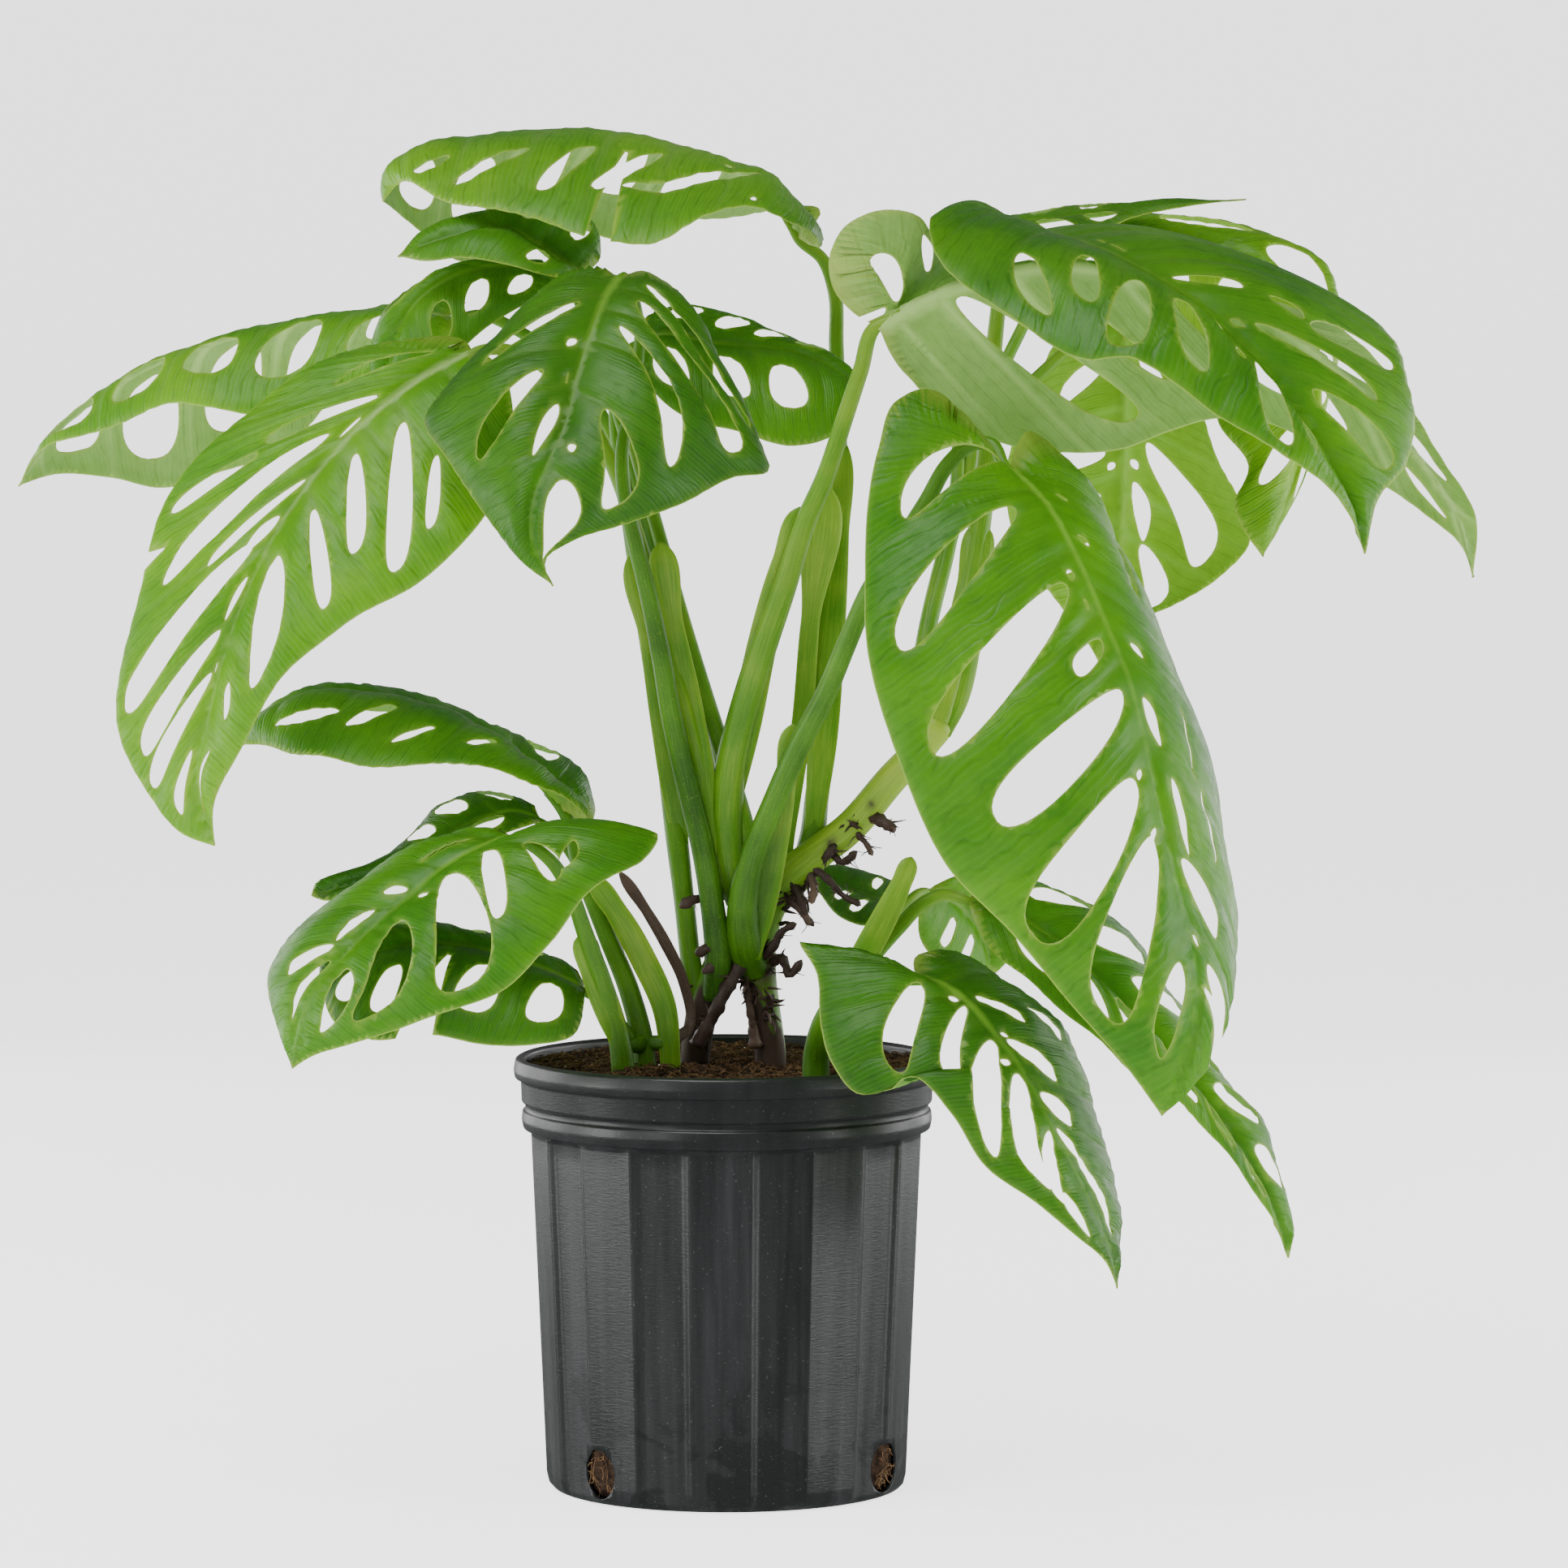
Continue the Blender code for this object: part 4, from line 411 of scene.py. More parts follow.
class Blade:
    """one leaf: a point is named by its side, its vein p (0 notch to 1 tip) and how far out q"""

    def __init__(self, leaf):
        self.leaf = leaf
        self.sweep = leaf.get("sweep", (1.7, 1.7))
        self.grids = {}
        mid = seen(leaf["midrib"])
        self.mid = smooth(mid, RIB_POINTS)
        self.length = run_length(self.mid)
        edges = [seen(leaf[side]) for side in SIDES]
        apart = unit(edges[0][0] - edges[1][0])
        self.edge = []
        for edge, sign in zip(edges, (1, -1)):
            corner = mid[0] + apart * sign * FOOT_GAP
            self.edge.append(smooth(np.vstack([corner, edge, mid[-1]]), MARGIN_POINTS))
        self.tangent = unit(np.gradient(self.mid, axis=0))
        for side, sign in ((0, 1), (1, -1)):
            across = self.edge[0][WIDEST] - self.edge[1][WIDEST]
            self.edge[side] = self.opened(self.edge[side], across, sign)
        ups = []
        for share, t in zip(np.linspace(0, 1, RIB_POINTS), self.tangent):
            left, right = (unit(along(self.edge[side], np.clip(self.vein_of(side, share), 0.35, 0.93))
                                - along(self.mid, share)) for side in (0, 1))
            ups.append(unit(unit(np.cross(left, t)) + unit(np.cross(t, right))))
        ups = np.array(ups)
        wide = np.array([ups[max(0, i - 15):i + 16].mean(0) for i in range(RIB_POINTS)])
        self.up = unit(wide - self.tangent * np.sum(wide * self.tangent, 1, keepdims=True))

    def opened(self, edge, across, sign):
        """keep the margin turning one way round the foot, so that no vein crosses it there"""
        up = unit(np.cross(across, self.tangent[6]))
        reach = edge[:FOOT_POINTS] - self.mid[0]
        turn = np.sum(np.cross(reach, np.diff(edge[:FOOT_POINTS + 1], axis=0)) * up, 1) * sign
        wrong = np.nonzero(turn[1:] < 0.04 * np.linalg.norm(reach[1:], axis=1))[0]
        if not len(wrong):
            return edge
        last = int(wrong[-1]) + 3
        t = np.linspace(0, 1, last + 1)[:, None]
        chord = edge[last] - edge[0]
        out = edge.copy()
        out[:last + 1] = edge[0] + chord * t - sign * 0.07 * np.sin(np.pi * t) * np.cross(up, chord)
        moved = np.linalg.norm(out - edge, axis=1).max()
        return out if moved < FARTHEST_MOVE else edge

    def start_of(self, side, p):
        """where on the midrib, as a share of its length, vein p leaves it"""
        return np.clip((np.asarray(p) - LOBE) / (1 - LOBE), 0, 1) ** self.sweep[side]

    def vein_of(self, side, share):
        """the vein that leaves the midrib a share of the way along"""
        return LOBE + (1 - LOBE) * np.asarray(share) ** (1 / self.sweep[side])

    def chord(self, side, p):
        """millimetres straight from the midrib to the margin along vein p"""
        return np.linalg.norm(along(self.edge[side], p) - along(self.mid, self.start_of(side, p)), axis=-1)

    def point(self, side, p, q):
        """the place in millimetres: a straight chord, lifted to an arch and waved at the margin"""
        p, q = np.asarray(p, float), np.asarray(q, float)
        share = self.start_of(side, p)
        m, e = along(self.mid, share), along(self.edge[side], p)
        up = unit(along(self.up, share))
        chord = e - m
        size = np.linalg.norm(chord, axis=-1, keepdims=True)
        way = chord / np.maximum(size, 1e-6)
        lift = unit(up - way * np.sum(up * way, -1, keepdims=True))
        bow = self.leaf.get("bow", (0.16, 0.16))[side]
        p, q = p[..., None], q[..., None]
        wave = self.leaf.get("wave", 0.0) * np.sin(p * 34 + 2.0 * side) * q**3 * np.sin(np.pi * p)
        shape = 4 * q * (1 - q) * (1.25 - 0.5 * q)
        return m + chord * q + lift * (shape * bow * size + wave * np.minimum(size / 60, 1))

    def find(self, side, x, z):
        """the vein and how far out of the spot that lines up with (x, z) in the front view"""
        if side not in self.grids:
            p, q = np.meshgrid(np.linspace(0.01, 0.99, 197), np.linspace(0, 1, 61), indexing="ij")
            at = self.point(side, p, q)
            shrink = -EYE[1] / (at[..., 1] - EYE[1])
            self.grids[side] = (p, q, EYE[0] + (at[..., 0] - EYE[0]) * shrink,
                                EYE[2] + (at[..., 2] - EYE[2]) * shrink)
        p, q, gx, gz = self.grids[side]
        near = np.argmin((gx - x) ** 2 + (gz - z) ** 2)
        return p.flat[near], q.flat[near]

    def spans(self, side, p, q, step):
        """millimetres for one whole step of the vein number, and of the distance out"""
        run = self.point(side, p + step, q) - self.point(side, p - step, q)
        reach = self.point(side, p, q + step) - self.point(side, p, q - step)
        return np.linalg.norm(run, axis=-1) / (2 * step), np.linalg.norm(reach, axis=-1) / (2 * step)

    def slant(self, side, ends):
        """sine of the angle at which a window between two ends meets the run of the margin"""
        p, q = ends.mean(0)
        run = unit(self.point(side, p + 0.01, q) - self.point(side, p - 0.01, q))
        way = unit(self.point(side, *ends[1]) - self.point(side, *ends[0]))
        return np.sqrt(max(1 - float(run @ way) ** 2, 0))


def flat(side, p, q, sweep):
    """the same point on a plain flat leaf one unit long, to lay its triangles out on"""
    half = smooth([(x, y, 0) for x, y in HALF_LEAF], MARGIN_POINTS)
    e = along(half, p)
    share = np.clip((np.asarray(p) - LOBE) / (1 - LOBE), 0, 1) ** sweep[side]
    sign = -1 if side == 0 else 1
    x = share + (e[..., 0] - share) * q
    y = sign * e[..., 1] * q
    return np.stack([x, y], -1)


print("points along a midrib and a margin:", RIB_POINTS, MARGIN_POINTS)


# %% [markdown]
# A window is a rounded bar between two veins. Where the photograph shows it, it is written
# by its two ends and its width as they line up from the front, and a round hole by its
# middle and its width. Where a neighbour hides it, a whole row is placed between the veins
# by rule, closer together to the tip as on the real blade.

# %% Outlines of windows in the map
INNERMOST, OUTERMOST = 0.045, 0.925       # how near a window comes to the midrib and the margin


def ring(blade, side, window, corners):
    """corners, as (vein, how far out), round one window or hole of a leaf.
    A window is (vein, inner end, outer end, half width), or, as lined up in the front view,
    its two ends and its width (x, z, x, z, width); a round hole is (x, z, width)"""
    if len(window) == 4:
        p, inner, outer, half = window
        ends = np.array([(p, inner), (p, outer)])
    else:
        ends = np.array([blade.find(side, *window[:2]), blade.find(side, *window[-3:-1])])
        run, reach = blade.spans(side, *ends.mean(0), 0.01)
        half = window[-1] / 2 / run
        if len(window) == 5:
            half /= max(blade.slant(side, ends), 0.3)
        else:
            ends += np.array([(0, -1), (0, 1)]) * window[-1] / 2 / reach
    ends[:, 1] = np.clip(ends[:, 1], INNERMOST, OUTERMOST)
    middle, reach = ends.mean(0), (ends[1] - ends[0]) / 2
    out = []
    for i in range(corners):
        a = 2 * np.pi * (i + 0.5) / corners
        c, s = np.cos(a), np.sin(a)
        c, s = np.sign(c) * abs(c) ** 0.8, np.sign(s) * abs(s) ** 0.8
        out.append((middle[0] + reach[0] * c + half * s * (0.90 + 0.16 * c), middle[1] + reach[1] * c))
    return out


def row(first, last, count, inner, outer, wide, seed):
    """a row of windows between the veins from first to last, closer together to the tip"""
    rng = np.random.default_rng(seed)
    at = first + (last - first) * np.linspace(0, 1, count) ** 0.88
    return [(p, inner + 0.10 * rng.random(), outer - 0.10 * rng.random(), wide * gap)
            for p, gap in zip(at, np.gradient(at))]


example = row(0.3, 0.6, 3, 0.2, 0.8, 0.3, 1)
print("a row of three windows:", [[round(float(v), 2) for v in window] for window in example])


# %% [markdown]
# The table of leaves. Each has its midrib and its two margins from foot to tip, how the
# veins sweep forward, how far each half arches and how wavy it is, its windows, and here
# and there a torn slit, written as its vein, how far in it reaches and half its width.

# %% The leaves
LEAVES = {
    "leaf_front_large": dict(
        midrib=[(161, -118, 592), (184, -135, 569), (203, -146, 536), (219, -153, 499), (231, -158, 471),
            (240, -162, 438), (250, -166, 391), (261, -168, 345), (271, -168, 298), (266, -165, 255),
            (252, -160, 214)],
        left=[(135, -112, 622), (117, -115, 635), (98, -125, 629), (87, -140, 600), (79, -158, 523),
            (81, -170, 482), (96, -180, 430), (128, -186, 358), (164, -187, 321), (197, -184, 281),
            (230, -176, 244)],
        right=[(173, -102, 611), (204, -90, 588), (233, -82, 530), (258, -80, 467), (282, -82, 399),
            (291, -90, 350), (295, -104, 315), (292, -120, 276), (279, -140, 243)],
        sweep=(1.9, 1.75), bow=(0.10, 0.12), wave=2.0,
        left_windows=[(157, 594, 101, 568, 20), (166, 566, 97, 489, 26), (196, 521, 117, 429, 30),
            (217, 490, 199, 473, 13), (229, 459, 155, 386, 31), (237, 407, 175, 320, 35),
            (249, 371, 217, 275, 33), (265, 299, 248, 255, 17), (200, 530, 7), (208, 512, 6), (238, 413, 5),
            (246, 379, 6)],
        right_windows=[(239, 453, 251, 438, 13), (236, 485, 8), (247, 411, 6), (252, 390, 5),
            (257, 402, 265, 378, 11), (263, 358, 283, 326, 16), (270, 317, 6), (278, 300, 285, 257, 15),
            (262, 446, 270, 418, 8), (275, 400, 281, 366, 7), (206, 547, 6), (192, 572, 5),
            (222, 548, 234, 520, 9)],
        right_slits=[(0.89, 0.15, 0.022)]),
    "leaf_left_lower": dict(
        midrib=[(-145, -42, 657), (-175, -55, 641), (-211, -68, 613), (-239, -80, 582), (-262, -90, 547),
            (-285, -98, 495), (-298, -102, 450), (-306, -104, 412), (-296, -104, 371)],
        left=[(-150, -34, 663), (-187, -36, 664), (-244, -50, 645), (-281, -62, 617), (-326, -74, 566),
            (-337, -80, 520), (-350, -86, 475), (-350, -92, 435), (-334, -98, 401), (-314, -102, 378)],
        right=[(-132, -52, 650), (-122, -70, 615), (-138, -92, 563), (-178, -108, 523), (-220, -116, 499),
            (-252, -118, 473), (-282, -116, 424), (-296, -110, 394)],
        sweep=(1.9, 1.25), bow=(0.06, 0.08), wave=1.5,
        left_windows=[(-229, 607, -324, 527, 13), (-270, 597, -322, 565, 8), (-242, 582, -299, 534, 5),
            (-273, 543, -350, 450, 16), (-252, 559, -276, 546, 8), (-292, 494, -337, 425, 12),
            (-270, 523, -287, 508, 6), (-296, 469, -332, 406, 10), (-170, 655, -222, 640, 6),
            (-200, 630, -264, 606, 6), (-266, 540, 6), (-207, 616, -218, 612, 6), (-292, 477, 6),
            (-308, 424, -317, 392, 6)],
        right_windows=[(-167, 597, -170, 556, 8), (-186, 615, -189, 531, 15), (-214, 598, -213, 541, 12),
            (-239, 565, -230, 509, 11), (-263, 535, -268, 470, 20), (-288, 464, -287, 448, 6),
            (-299, 424, -304, 396, 6)],
        left_slits=[(0.575, 0.90, 0.012)]),
    "leaf_left_upper": dict(
        midrib=[(-160, 78, 676), (-190, 84, 681), (-218, 88, 679), (-250, 92, 674), (-290, 96, 663),
            (-325, 98, 651), (-355, 98, 634), (-385, 96, 610), (-408, 94, 579)],
        left=[(-150, 95, 684), (-175, 132, 672), (-215, 152, 640), (-262, 160, 596), (-300, 158, 584),
            (-328, 152, 578), (-352, 140, 583), (-384, 118, 586)],
        right=[(-152, 60, 668), (-178, 38, 652), (-225, 34, 634), (-275, 40, 620), (-300, 46, 624),
            (-318, 52, 628), (-345, 64, 616), (-372, 76, 608), (-394, 86, 600)],
        sweep=(1.5, 1.5), bow=(0.17, 0.17), wave=1.5,
        left_windows=row(0.28, 0.86, 5, 0.20, 0.84, 0.36, 5),
        right_windows=row(0.28, 0.86, 5, 0.22, 0.80, 0.36, 6)),
    "leaf_left_back": dict(
        midrib=[(-97, 4, 701), (-125, 2, 706), (-155, 0, 700), (-180, -2, 682), (-192, -4, 655),
            (-198, -6, 622)],
        left=[(-106, 18, 706), (-140, 26, 702), (-176, 26, 692), (-200, 18, 672), (-206, 6, 645)],
        right=[(-96, -8, 694), (-118, -14, 682), (-140, -16, 668), (-158, -16, 650), (-172, -14, 630),
            (-186, -12, 620)],
        sweep=(1.4, 1.4), bow=(0.16, 0.16),
        left_windows=row(0.34, 0.62, 2, 0.2, 0.8, 0.30, 7),
        right_windows=row(0.30, 0.62, 3, 0.2, 0.78, 0.32, 8)),
    "leaf_centre": dict(
        midrib=[(-60, -70, 701), (-70, -92, 686), (-78, -108, 666), (-87, -124, 638), (-92, -134, 616),
            (-101, -144, 596), (-111, -152, 572), (-113, -157, 550), (-100, -160, 521)],
        left=[(-70, -58, 703), (-92, -58, 700), (-122, -72, 677), (-152, -90, 646), (-175, -108, 617),
            (-161, -124, 594), (-139, -138, 561), (-120, -150, 537)],
        right=[(-48, -62, 704), (-34, -62, 697), (-15, -72, 676), (4, -88, 640), (20, -102, 605),
            (25, -110, 588), (3, -122, 583), (-24, -132, 569), (-60, -142, 556), (-90, -152, 546),
            (-104, -157, 536)],
        sweep=(1.5, 1.5), bow=(0.16, 0.16), wave=1.2,
        left_windows=[(-84, 684, -140, 650, 7), (-106, 644, -143, 596, 13), (-96, 622, -111, 604, 9),
            (-88, 662, 6), (-90, 646, -92, 640, 6)],
        right_windows=[(-46, 694, 14, 612, 8), (-52, 684, 5, 598, 12), (-62, 670, -30, 591, 13),
            (-72, 621, -63, 567, 20), (-101, 577, -98, 546, 25), (-89, 601, 5)]),
    "leaf_centre_right": dict(
        midrib=[(-52, 12, 662), (-35, 14, 666), (-8, 15, 661), (20, 15, 659), (46, 14, 654), (66, 12, 643),
            (74, 8, 625)],
        left=[(-50, -2, 655), (-44, -12, 636), (-25, -20, 619), (8, -24, 610), (36, -22, 602),
            (58, -14, 606), (72, -4, 616)],
        right=[(-50, 22, 670), (-34, 32, 682), (-4, 38, 680), (20, 40, 672), (44, 38, 660), (62, 30, 652),
            (74, 20, 642)],
        sweep=(1.35, 1.35), bow=(0.14, 0.18),
        left_windows=row(0.30, 0.70, 3, 0.18, 0.78, 0.34, 9),
        right_windows=row(0.30, 0.74, 4, 0.20, 0.80, 0.32, 10)),
    "leaf_top_left": dict(
        midrib=[(43, 44, 722), (22, 42, 750), (-8, 40, 768), (-45, 40, 779), (-90, 42, 784),
            (-135, 40, 781), (-172, 38, 774), (-194, 34, 763), (-198, 30, 742)],
        left=[(52, 42, 733), (40, 80, 740), (10, 108, 734), (-25, 120, 732), (-58, 124, 722),
            (-92, 120, 728), (-128, 108, 716), (-152, 92, 707), (-172, 70, 722), (-190, 50, 736)],
        right=[(54, -4, 716), (42, -34, 728), (18, -52, 740), (-12, -60, 734), (-46, -62, 719),
            (-72, -58, 719), (-106, -50, 733), (-140, -38, 738), (-162, -22, 743), (-184, 0, 754)],
        sweep=(1.3, 1.3), bow=(0.14, 0.12), wave=2.0,
        left_windows=row(0.26, 0.88, 6, 0.20, 0.84, 0.34, 11),
        right_windows=[(10, 758, -46, 748, 15), (-38, 770, -76, 750, 12), (-76, 774, -106, 748, 12),
            (-116, 772, -156, 752, 10), (16, 744, 4), (2, 762, 4), (-160, 768, -178, 759, 7)],
        right_slits=[(0.555, 0.35, 0.020)]),
    "leaf_top_small": dict(
        midrib=[(-86, -18, 700), (-104, -22, 714), (-124, -26, 727), (-155, -26, 722), (-189, -24, 711)],
        left=[(-74, -6, 706), (-74, 8, 728), (-90, 14, 740), (-118, 8, 738), (-152, -2, 732),
            (-176, -12, 722)],
        right=[(-92, -32, 698), (-104, -46, 700), (-126, -52, 706), (-152, -46, 710), (-174, -36, 708)],
        sweep=(1.3, 1.3), bow=(0.20, 0.18),
        left_windows=[(0.30, 0.30, 0.78, 0.050), (0.52, 0.25, 0.78, 0.050)],
        right_windows=[(0.36, 0.30, 0.78, 0.050)]),
    "leaf_right_under": dict(
        midrib=[(87, -58, 669), (113, -60, 684), (139, -62, 696), (163, -62, 703), (197, -60, 706),
            (238, -54, 698), (280, -46, 688), (326, -38, 664), (366, -34, 630), (402, -34, 588),
            (422, -36, 556), (429, -38, 526)],
        left=[(80, -62, 676), (66, -64, 684), (58, -66, 704), (66, -62, 726), (88, -58, 737),
            (107, -52, 735), (118, -36, 722), (132, -12, 709), (160, 8, 702), (210, 22, 698),
            (262, 24, 693), (322, 12, 682), (372, -4, 652), (408, -20, 598), (431, -32, 560)],
        right=[(93, -60, 661), (111, -60, 633), (150, -58, 606), (195, -52, 598), (227, -48, 600),
            (254, -46, 610), (282, -44, 618), (318, -42, 612), (350, -42, 594), (380, -40, 577),
            (402, -40, 562), (422, -39, 544)],
        sweep=(1.9, 1.9), bow=(0.02, 0.02), wave=1.0,
        left_windows=[(97, 685, 86, 712, 14), (115, 702, 116, 724, 14), (89, 679, 4)] +
            row(0.40, 0.88, 5, 0.18, 0.82, 0.34, 14),
        right_windows=[(133, 687, 232, 616, 23), (190, 690, 254, 640, 9), (262, 686, 316, 632, 14),
            (318, 662, 352, 612, 13), (394, 586, 409, 565, 8)]),
    "leaf_right_front": dict(
        midrib=[(163, 30, 716), (174, -14, 723), (194, -56, 722), (218, -88, 714), (244, -110, 701),
            (268, -124, 686), (290, -132, 666), (311, -138, 645), (331, -142, 616), (350, -144, 583),
            (368, -144, 540)],
        left=[(152, 18, 724), (140, -10, 730), (130, -44, 733), (117, -76, 732), (119, -98, 716),
            (138, -120, 693), (172, -144, 671), (208, -160, 651), (232, -168, 652), (262, -172, 636),
            (281, -174, 620), (318, -172, 598), (347, -162, 578), (360, -152, 560)],
        right=[(180, 30, 718), (208, 34, 721), (246, 16, 715), (284, -2, 706), (322, -22, 695),
            (356, -42, 680), (386, -64, 662), (392, -86, 637), (396, -104, 614), (390, -124, 589),
            (376, -138, 572)],
        sweep=(1.35, 1.6), bow=(0.16, 0.10), wave=1.5,
        left_windows=[(172, 711, 178, 680, 18), (207, 711, 206, 686, 17), (236, 697, 227, 659, 25),
            (262, 686, 269, 647, 17), (307, 648, 318, 605, 20), (332, 618, 337, 601, 6), (297, 657, 8),
            (284, 672, 6)],
        right_windows=[(200, 719, 232, 712, 6), (252, 699, 296, 693, 7), (336, 671, 387, 645, 17),
            (304, 671, 372, 629, 10), (338, 630, 383, 592, 18), (294, 673, 6), (312, 686, 330, 677, 7)]),
    "leaf_right_top": dict(
        midrib=[(126, 100, 716), (150, 100, 726), (182, 100, 732), (212, 100, 735), (240, 100, 739),
            (268, 98, 742), (298, 96, 744)],
        left=[(134, 80, 711), (158, 70, 713), (186, 68, 716), (208, 74, 722), (234, 86, 734),
            (260, 92, 739)],
        right=[(122, 118, 724), (140, 134, 730), (172, 140, 733), (200, 134, 739), (230, 118, 740),
            (262, 106, 742)],
        sweep=(1.3, 1.3), bow=(0.10, 0.10),
        left_windows=row(0.30, 0.60, 3, 0.2, 0.8, 0.30, 15),
        right_windows=row(0.30, 0.60, 3, 0.2, 0.8, 0.30, 16)),
    "leaf_right_back": dict(
        midrib=[(214, 112, 718), (236, 116, 722), (264, 116, 719), (300, 110, 706), (326, 98, 682),
            (336, 84, 645), (332, 68, 605), (322, 54, 570), (309, 44, 538)],
        left=[(216, 96, 706), (232, 82, 694), (258, 72, 678), (277, 64, 650), (283, 54, 614),
            (300, 48, 590), (292, 42, 568), (299, 42, 551)],
        right=[(216, 130, 727), (236, 148, 733), (272, 152, 731), (314, 146, 722), (344, 130, 707),
            (354, 108, 670), (346, 88, 628), (335, 70, 590), (322, 56, 560)],
        sweep=(1.35, 1.35), bow=(0.14, 0.14),
        left_windows=row(0.30, 0.80, 4, 0.18, 0.82, 0.34, 17),
        right_windows=row(0.30, 0.84, 4, 0.2, 0.82, 0.38, 18)),
    "leaf_back_bright": dict(
        midrib=[(228, 160, 678), (229, 164, 640), (228, 166, 600), (227, 166, 565), (224, 164, 531),
            (219, 160, 500), (214, 156, 477)],
        left=[(240, 158, 688), (260, 156, 674), (270, 154, 636), (282, 152, 596), (298, 152, 566),
            (302, 152, 548), (285, 152, 527), (258, 154, 510), (235, 155, 499)],
        right=[(214, 158, 686), (196, 154, 672), (174, 148, 628), (160, 144, 586), (164, 144, 552),
            (178, 146, 528), (190, 150, 512), (204, 153, 494)],
        sweep=(1.25, 1.25), bow=(0.10, 0.10),
        left_windows=[(241, 600, 277, 538, 19), (232, 577, 242, 553, 13), (237, 543, 247, 509, 16),
            (234, 592, 6), (236, 658, 256, 620, 12)],
        right_windows=[(218, 598, 184, 590, 13), (215, 572, 182, 556, 14), (214, 545, 190, 530, 12),
            (222, 590, 5), (218, 650, 192, 630, 13)]),
    "leaf_low_right_front": dict(
        midrib=[(107, -122, 296), (124, -130, 292), (140, -136, 281), (151, -140, 268), (165, -144, 250),
            (177, -146, 231), (188, -148, 209), (200, -148, 186), (210, -148, 165), (220, -147, 143),
            (227, -145, 114)],
        left=[(97, -118, 299), (78, -118, 301), (60, -114, 309), (42, -110, 317), (52, -124, 296),
            (54, -138, 268), (60, -148, 246), (76, -154, 227), (94, -156, 230), (103, -158, 238),
            (130, -162, 215), (150, -164, 185), (180, -162, 163), (203, -158, 144), (220, -150, 129)],
        right=[(108, -112, 306), (124, -98, 311), (150, -88, 302), (177, -82, 282), (196, -84, 268),
            (206, -90, 240), (216, -98, 212), (222, -106, 186), (229, -116, 156), (228, -130, 134)],
        sweep=(1.25, 1.5), bow=(0.08, 0.10), wave=1.5,
        left_windows=[(113, 290, 94, 243, 19), (139, 278, 130, 241, 12), (156, 258, 151, 195, 20),
            (173, 236, 180, 178, 15), (189, 205, 193, 165, 10), (199, 167, 205, 149, 9), (132, 283, 5),
            (162, 246, 5)],
        right_windows=[(145, 284, 171, 271, 7), (175, 277, 193, 261, 8), (163, 257, 190, 239, 11),
            (181, 226, 200, 214, 12), (192, 204, 203, 194, 8), (205, 186, 222, 154, 10), (161, 262, 4),
            (174, 239, 4), (203, 167, 4)]),
    "leaf_low_right_back": dict(
        midrib=[(140, -36, 341), (162, -42, 333), (186, -48, 318), (208, -52, 299), (230, -56, 276),
            (256, -60, 246), (282, -62, 214), (306, -62, 178), (326, -60, 132)],
        left=[(142, -52, 330), (152, -66, 312), (176, -76, 292), (206, -82, 266), (236, -82, 240),
            (262, -80, 222), (284, -76, 200), (304, -72, 172), (318, -66, 152)],
        right=[(148, -18, 350), (170, -4, 352), (196, 2, 344), (226, 2, 326), (246, -2, 304),
            (266, -10, 272), (292, -22, 228), (313, -36, 208), (321, -46, 176), (329, -54, 146)],
        sweep=(1.5, 1.5), bow=(0.14, 0.16), wave=1.5,
        left_windows=row(0.28, 0.86, 6, 0.18, 0.82, 0.32, 21),
        right_windows=row(0.28, 0.86, 6, 0.20, 0.80, 0.34, 22)),
    "leaf_low_right_dark": dict(
        midrib=[(100, 40, 342), (90, 52, 340), (76, 66, 344), (60, 78, 352), (50, 84, 360)],
        left=[(104, 58, 348), (96, 78, 352), (80, 92, 358), (64, 92, 362)],
        right=[(94, 26, 336), (82, 24, 326), (66, 34, 330), (55, 54, 342), (50, 70, 352)],
        sweep=(1.2, 1.2), bow=(0.10, 0.12),
        left_windows=[(0.50, 0.28, 0.78, 0.045)],
        right_windows=[(0.42, 0.28, 0.78, 0.045), (0.60, 0.28, 0.76, 0.040)]),
    "leaf_low_right_pale": dict(
        midrib=[(116, 44, 344), (130, 60, 340), (142, 74, 328), (150, 84, 312), (152, 90, 294)],
        left=[(112, 32, 336), (112, 34, 318), (122, 46, 304), (136, 64, 294), (146, 80, 290)],
        right=[(126, 50, 352), (146, 62, 354), (162, 74, 342), (166, 84, 322), (162, 90, 304)],
        sweep=(1.2, 1.2), bow=(0.12, 0.12),
        left_windows=[(0.44, 0.28, 0.78, 0.045), (0.64, 0.26, 0.76, 0.040)],
        right_windows=[(0.44, 0.28, 0.78, 0.045), (0.64, 0.26, 0.76, 0.040)]),
    "leaf_low_left_front": dict(
        midrib=[(-123, -92, 378), (-144, -100, 370), (-165, -106, 358), (-185, -112, 341),
            (-205, -117, 324), (-223, -121, 305), (-237, -124, 291), (-247, -126, 270), (-252, -127, 242)],
        left=[(-128, -80, 380), (-150, -62, 376), (-178, -54, 366), (-203, -52, 353), (-227, -58, 339),
            (-248, -70, 323), (-264, -86, 304), (-265, -100, 284), (-260, -114, 262)],
        right=[(-112, -96, 378), (-88, -96, 378), (-64, -92, 380), (-40, -92, 379), (-47, -110, 365),
            (-84, -132, 341), (-102, -144, 314), (-127, -152, 290), (-150, -154, 279), (-185, -152, 267),
            (-221, -144, 255), (-240, -134, 249)],
        sweep=(1.5, 1.35), bow=(0.14, 0.12), wave=2.0,
        left_windows=[(-228, 313, -253, 299, 8), (-231, 302, -252, 277, 7), (-206, 332, -223, 322, 7),
            (-185, 346, -197, 346, 6), (-150, 375, -172, 366, 6)],
        right_windows=[(-117, 374, -98, 353, 13), (-90, 374, -93, 360, 10), (-139, 369, -130, 331, 14),
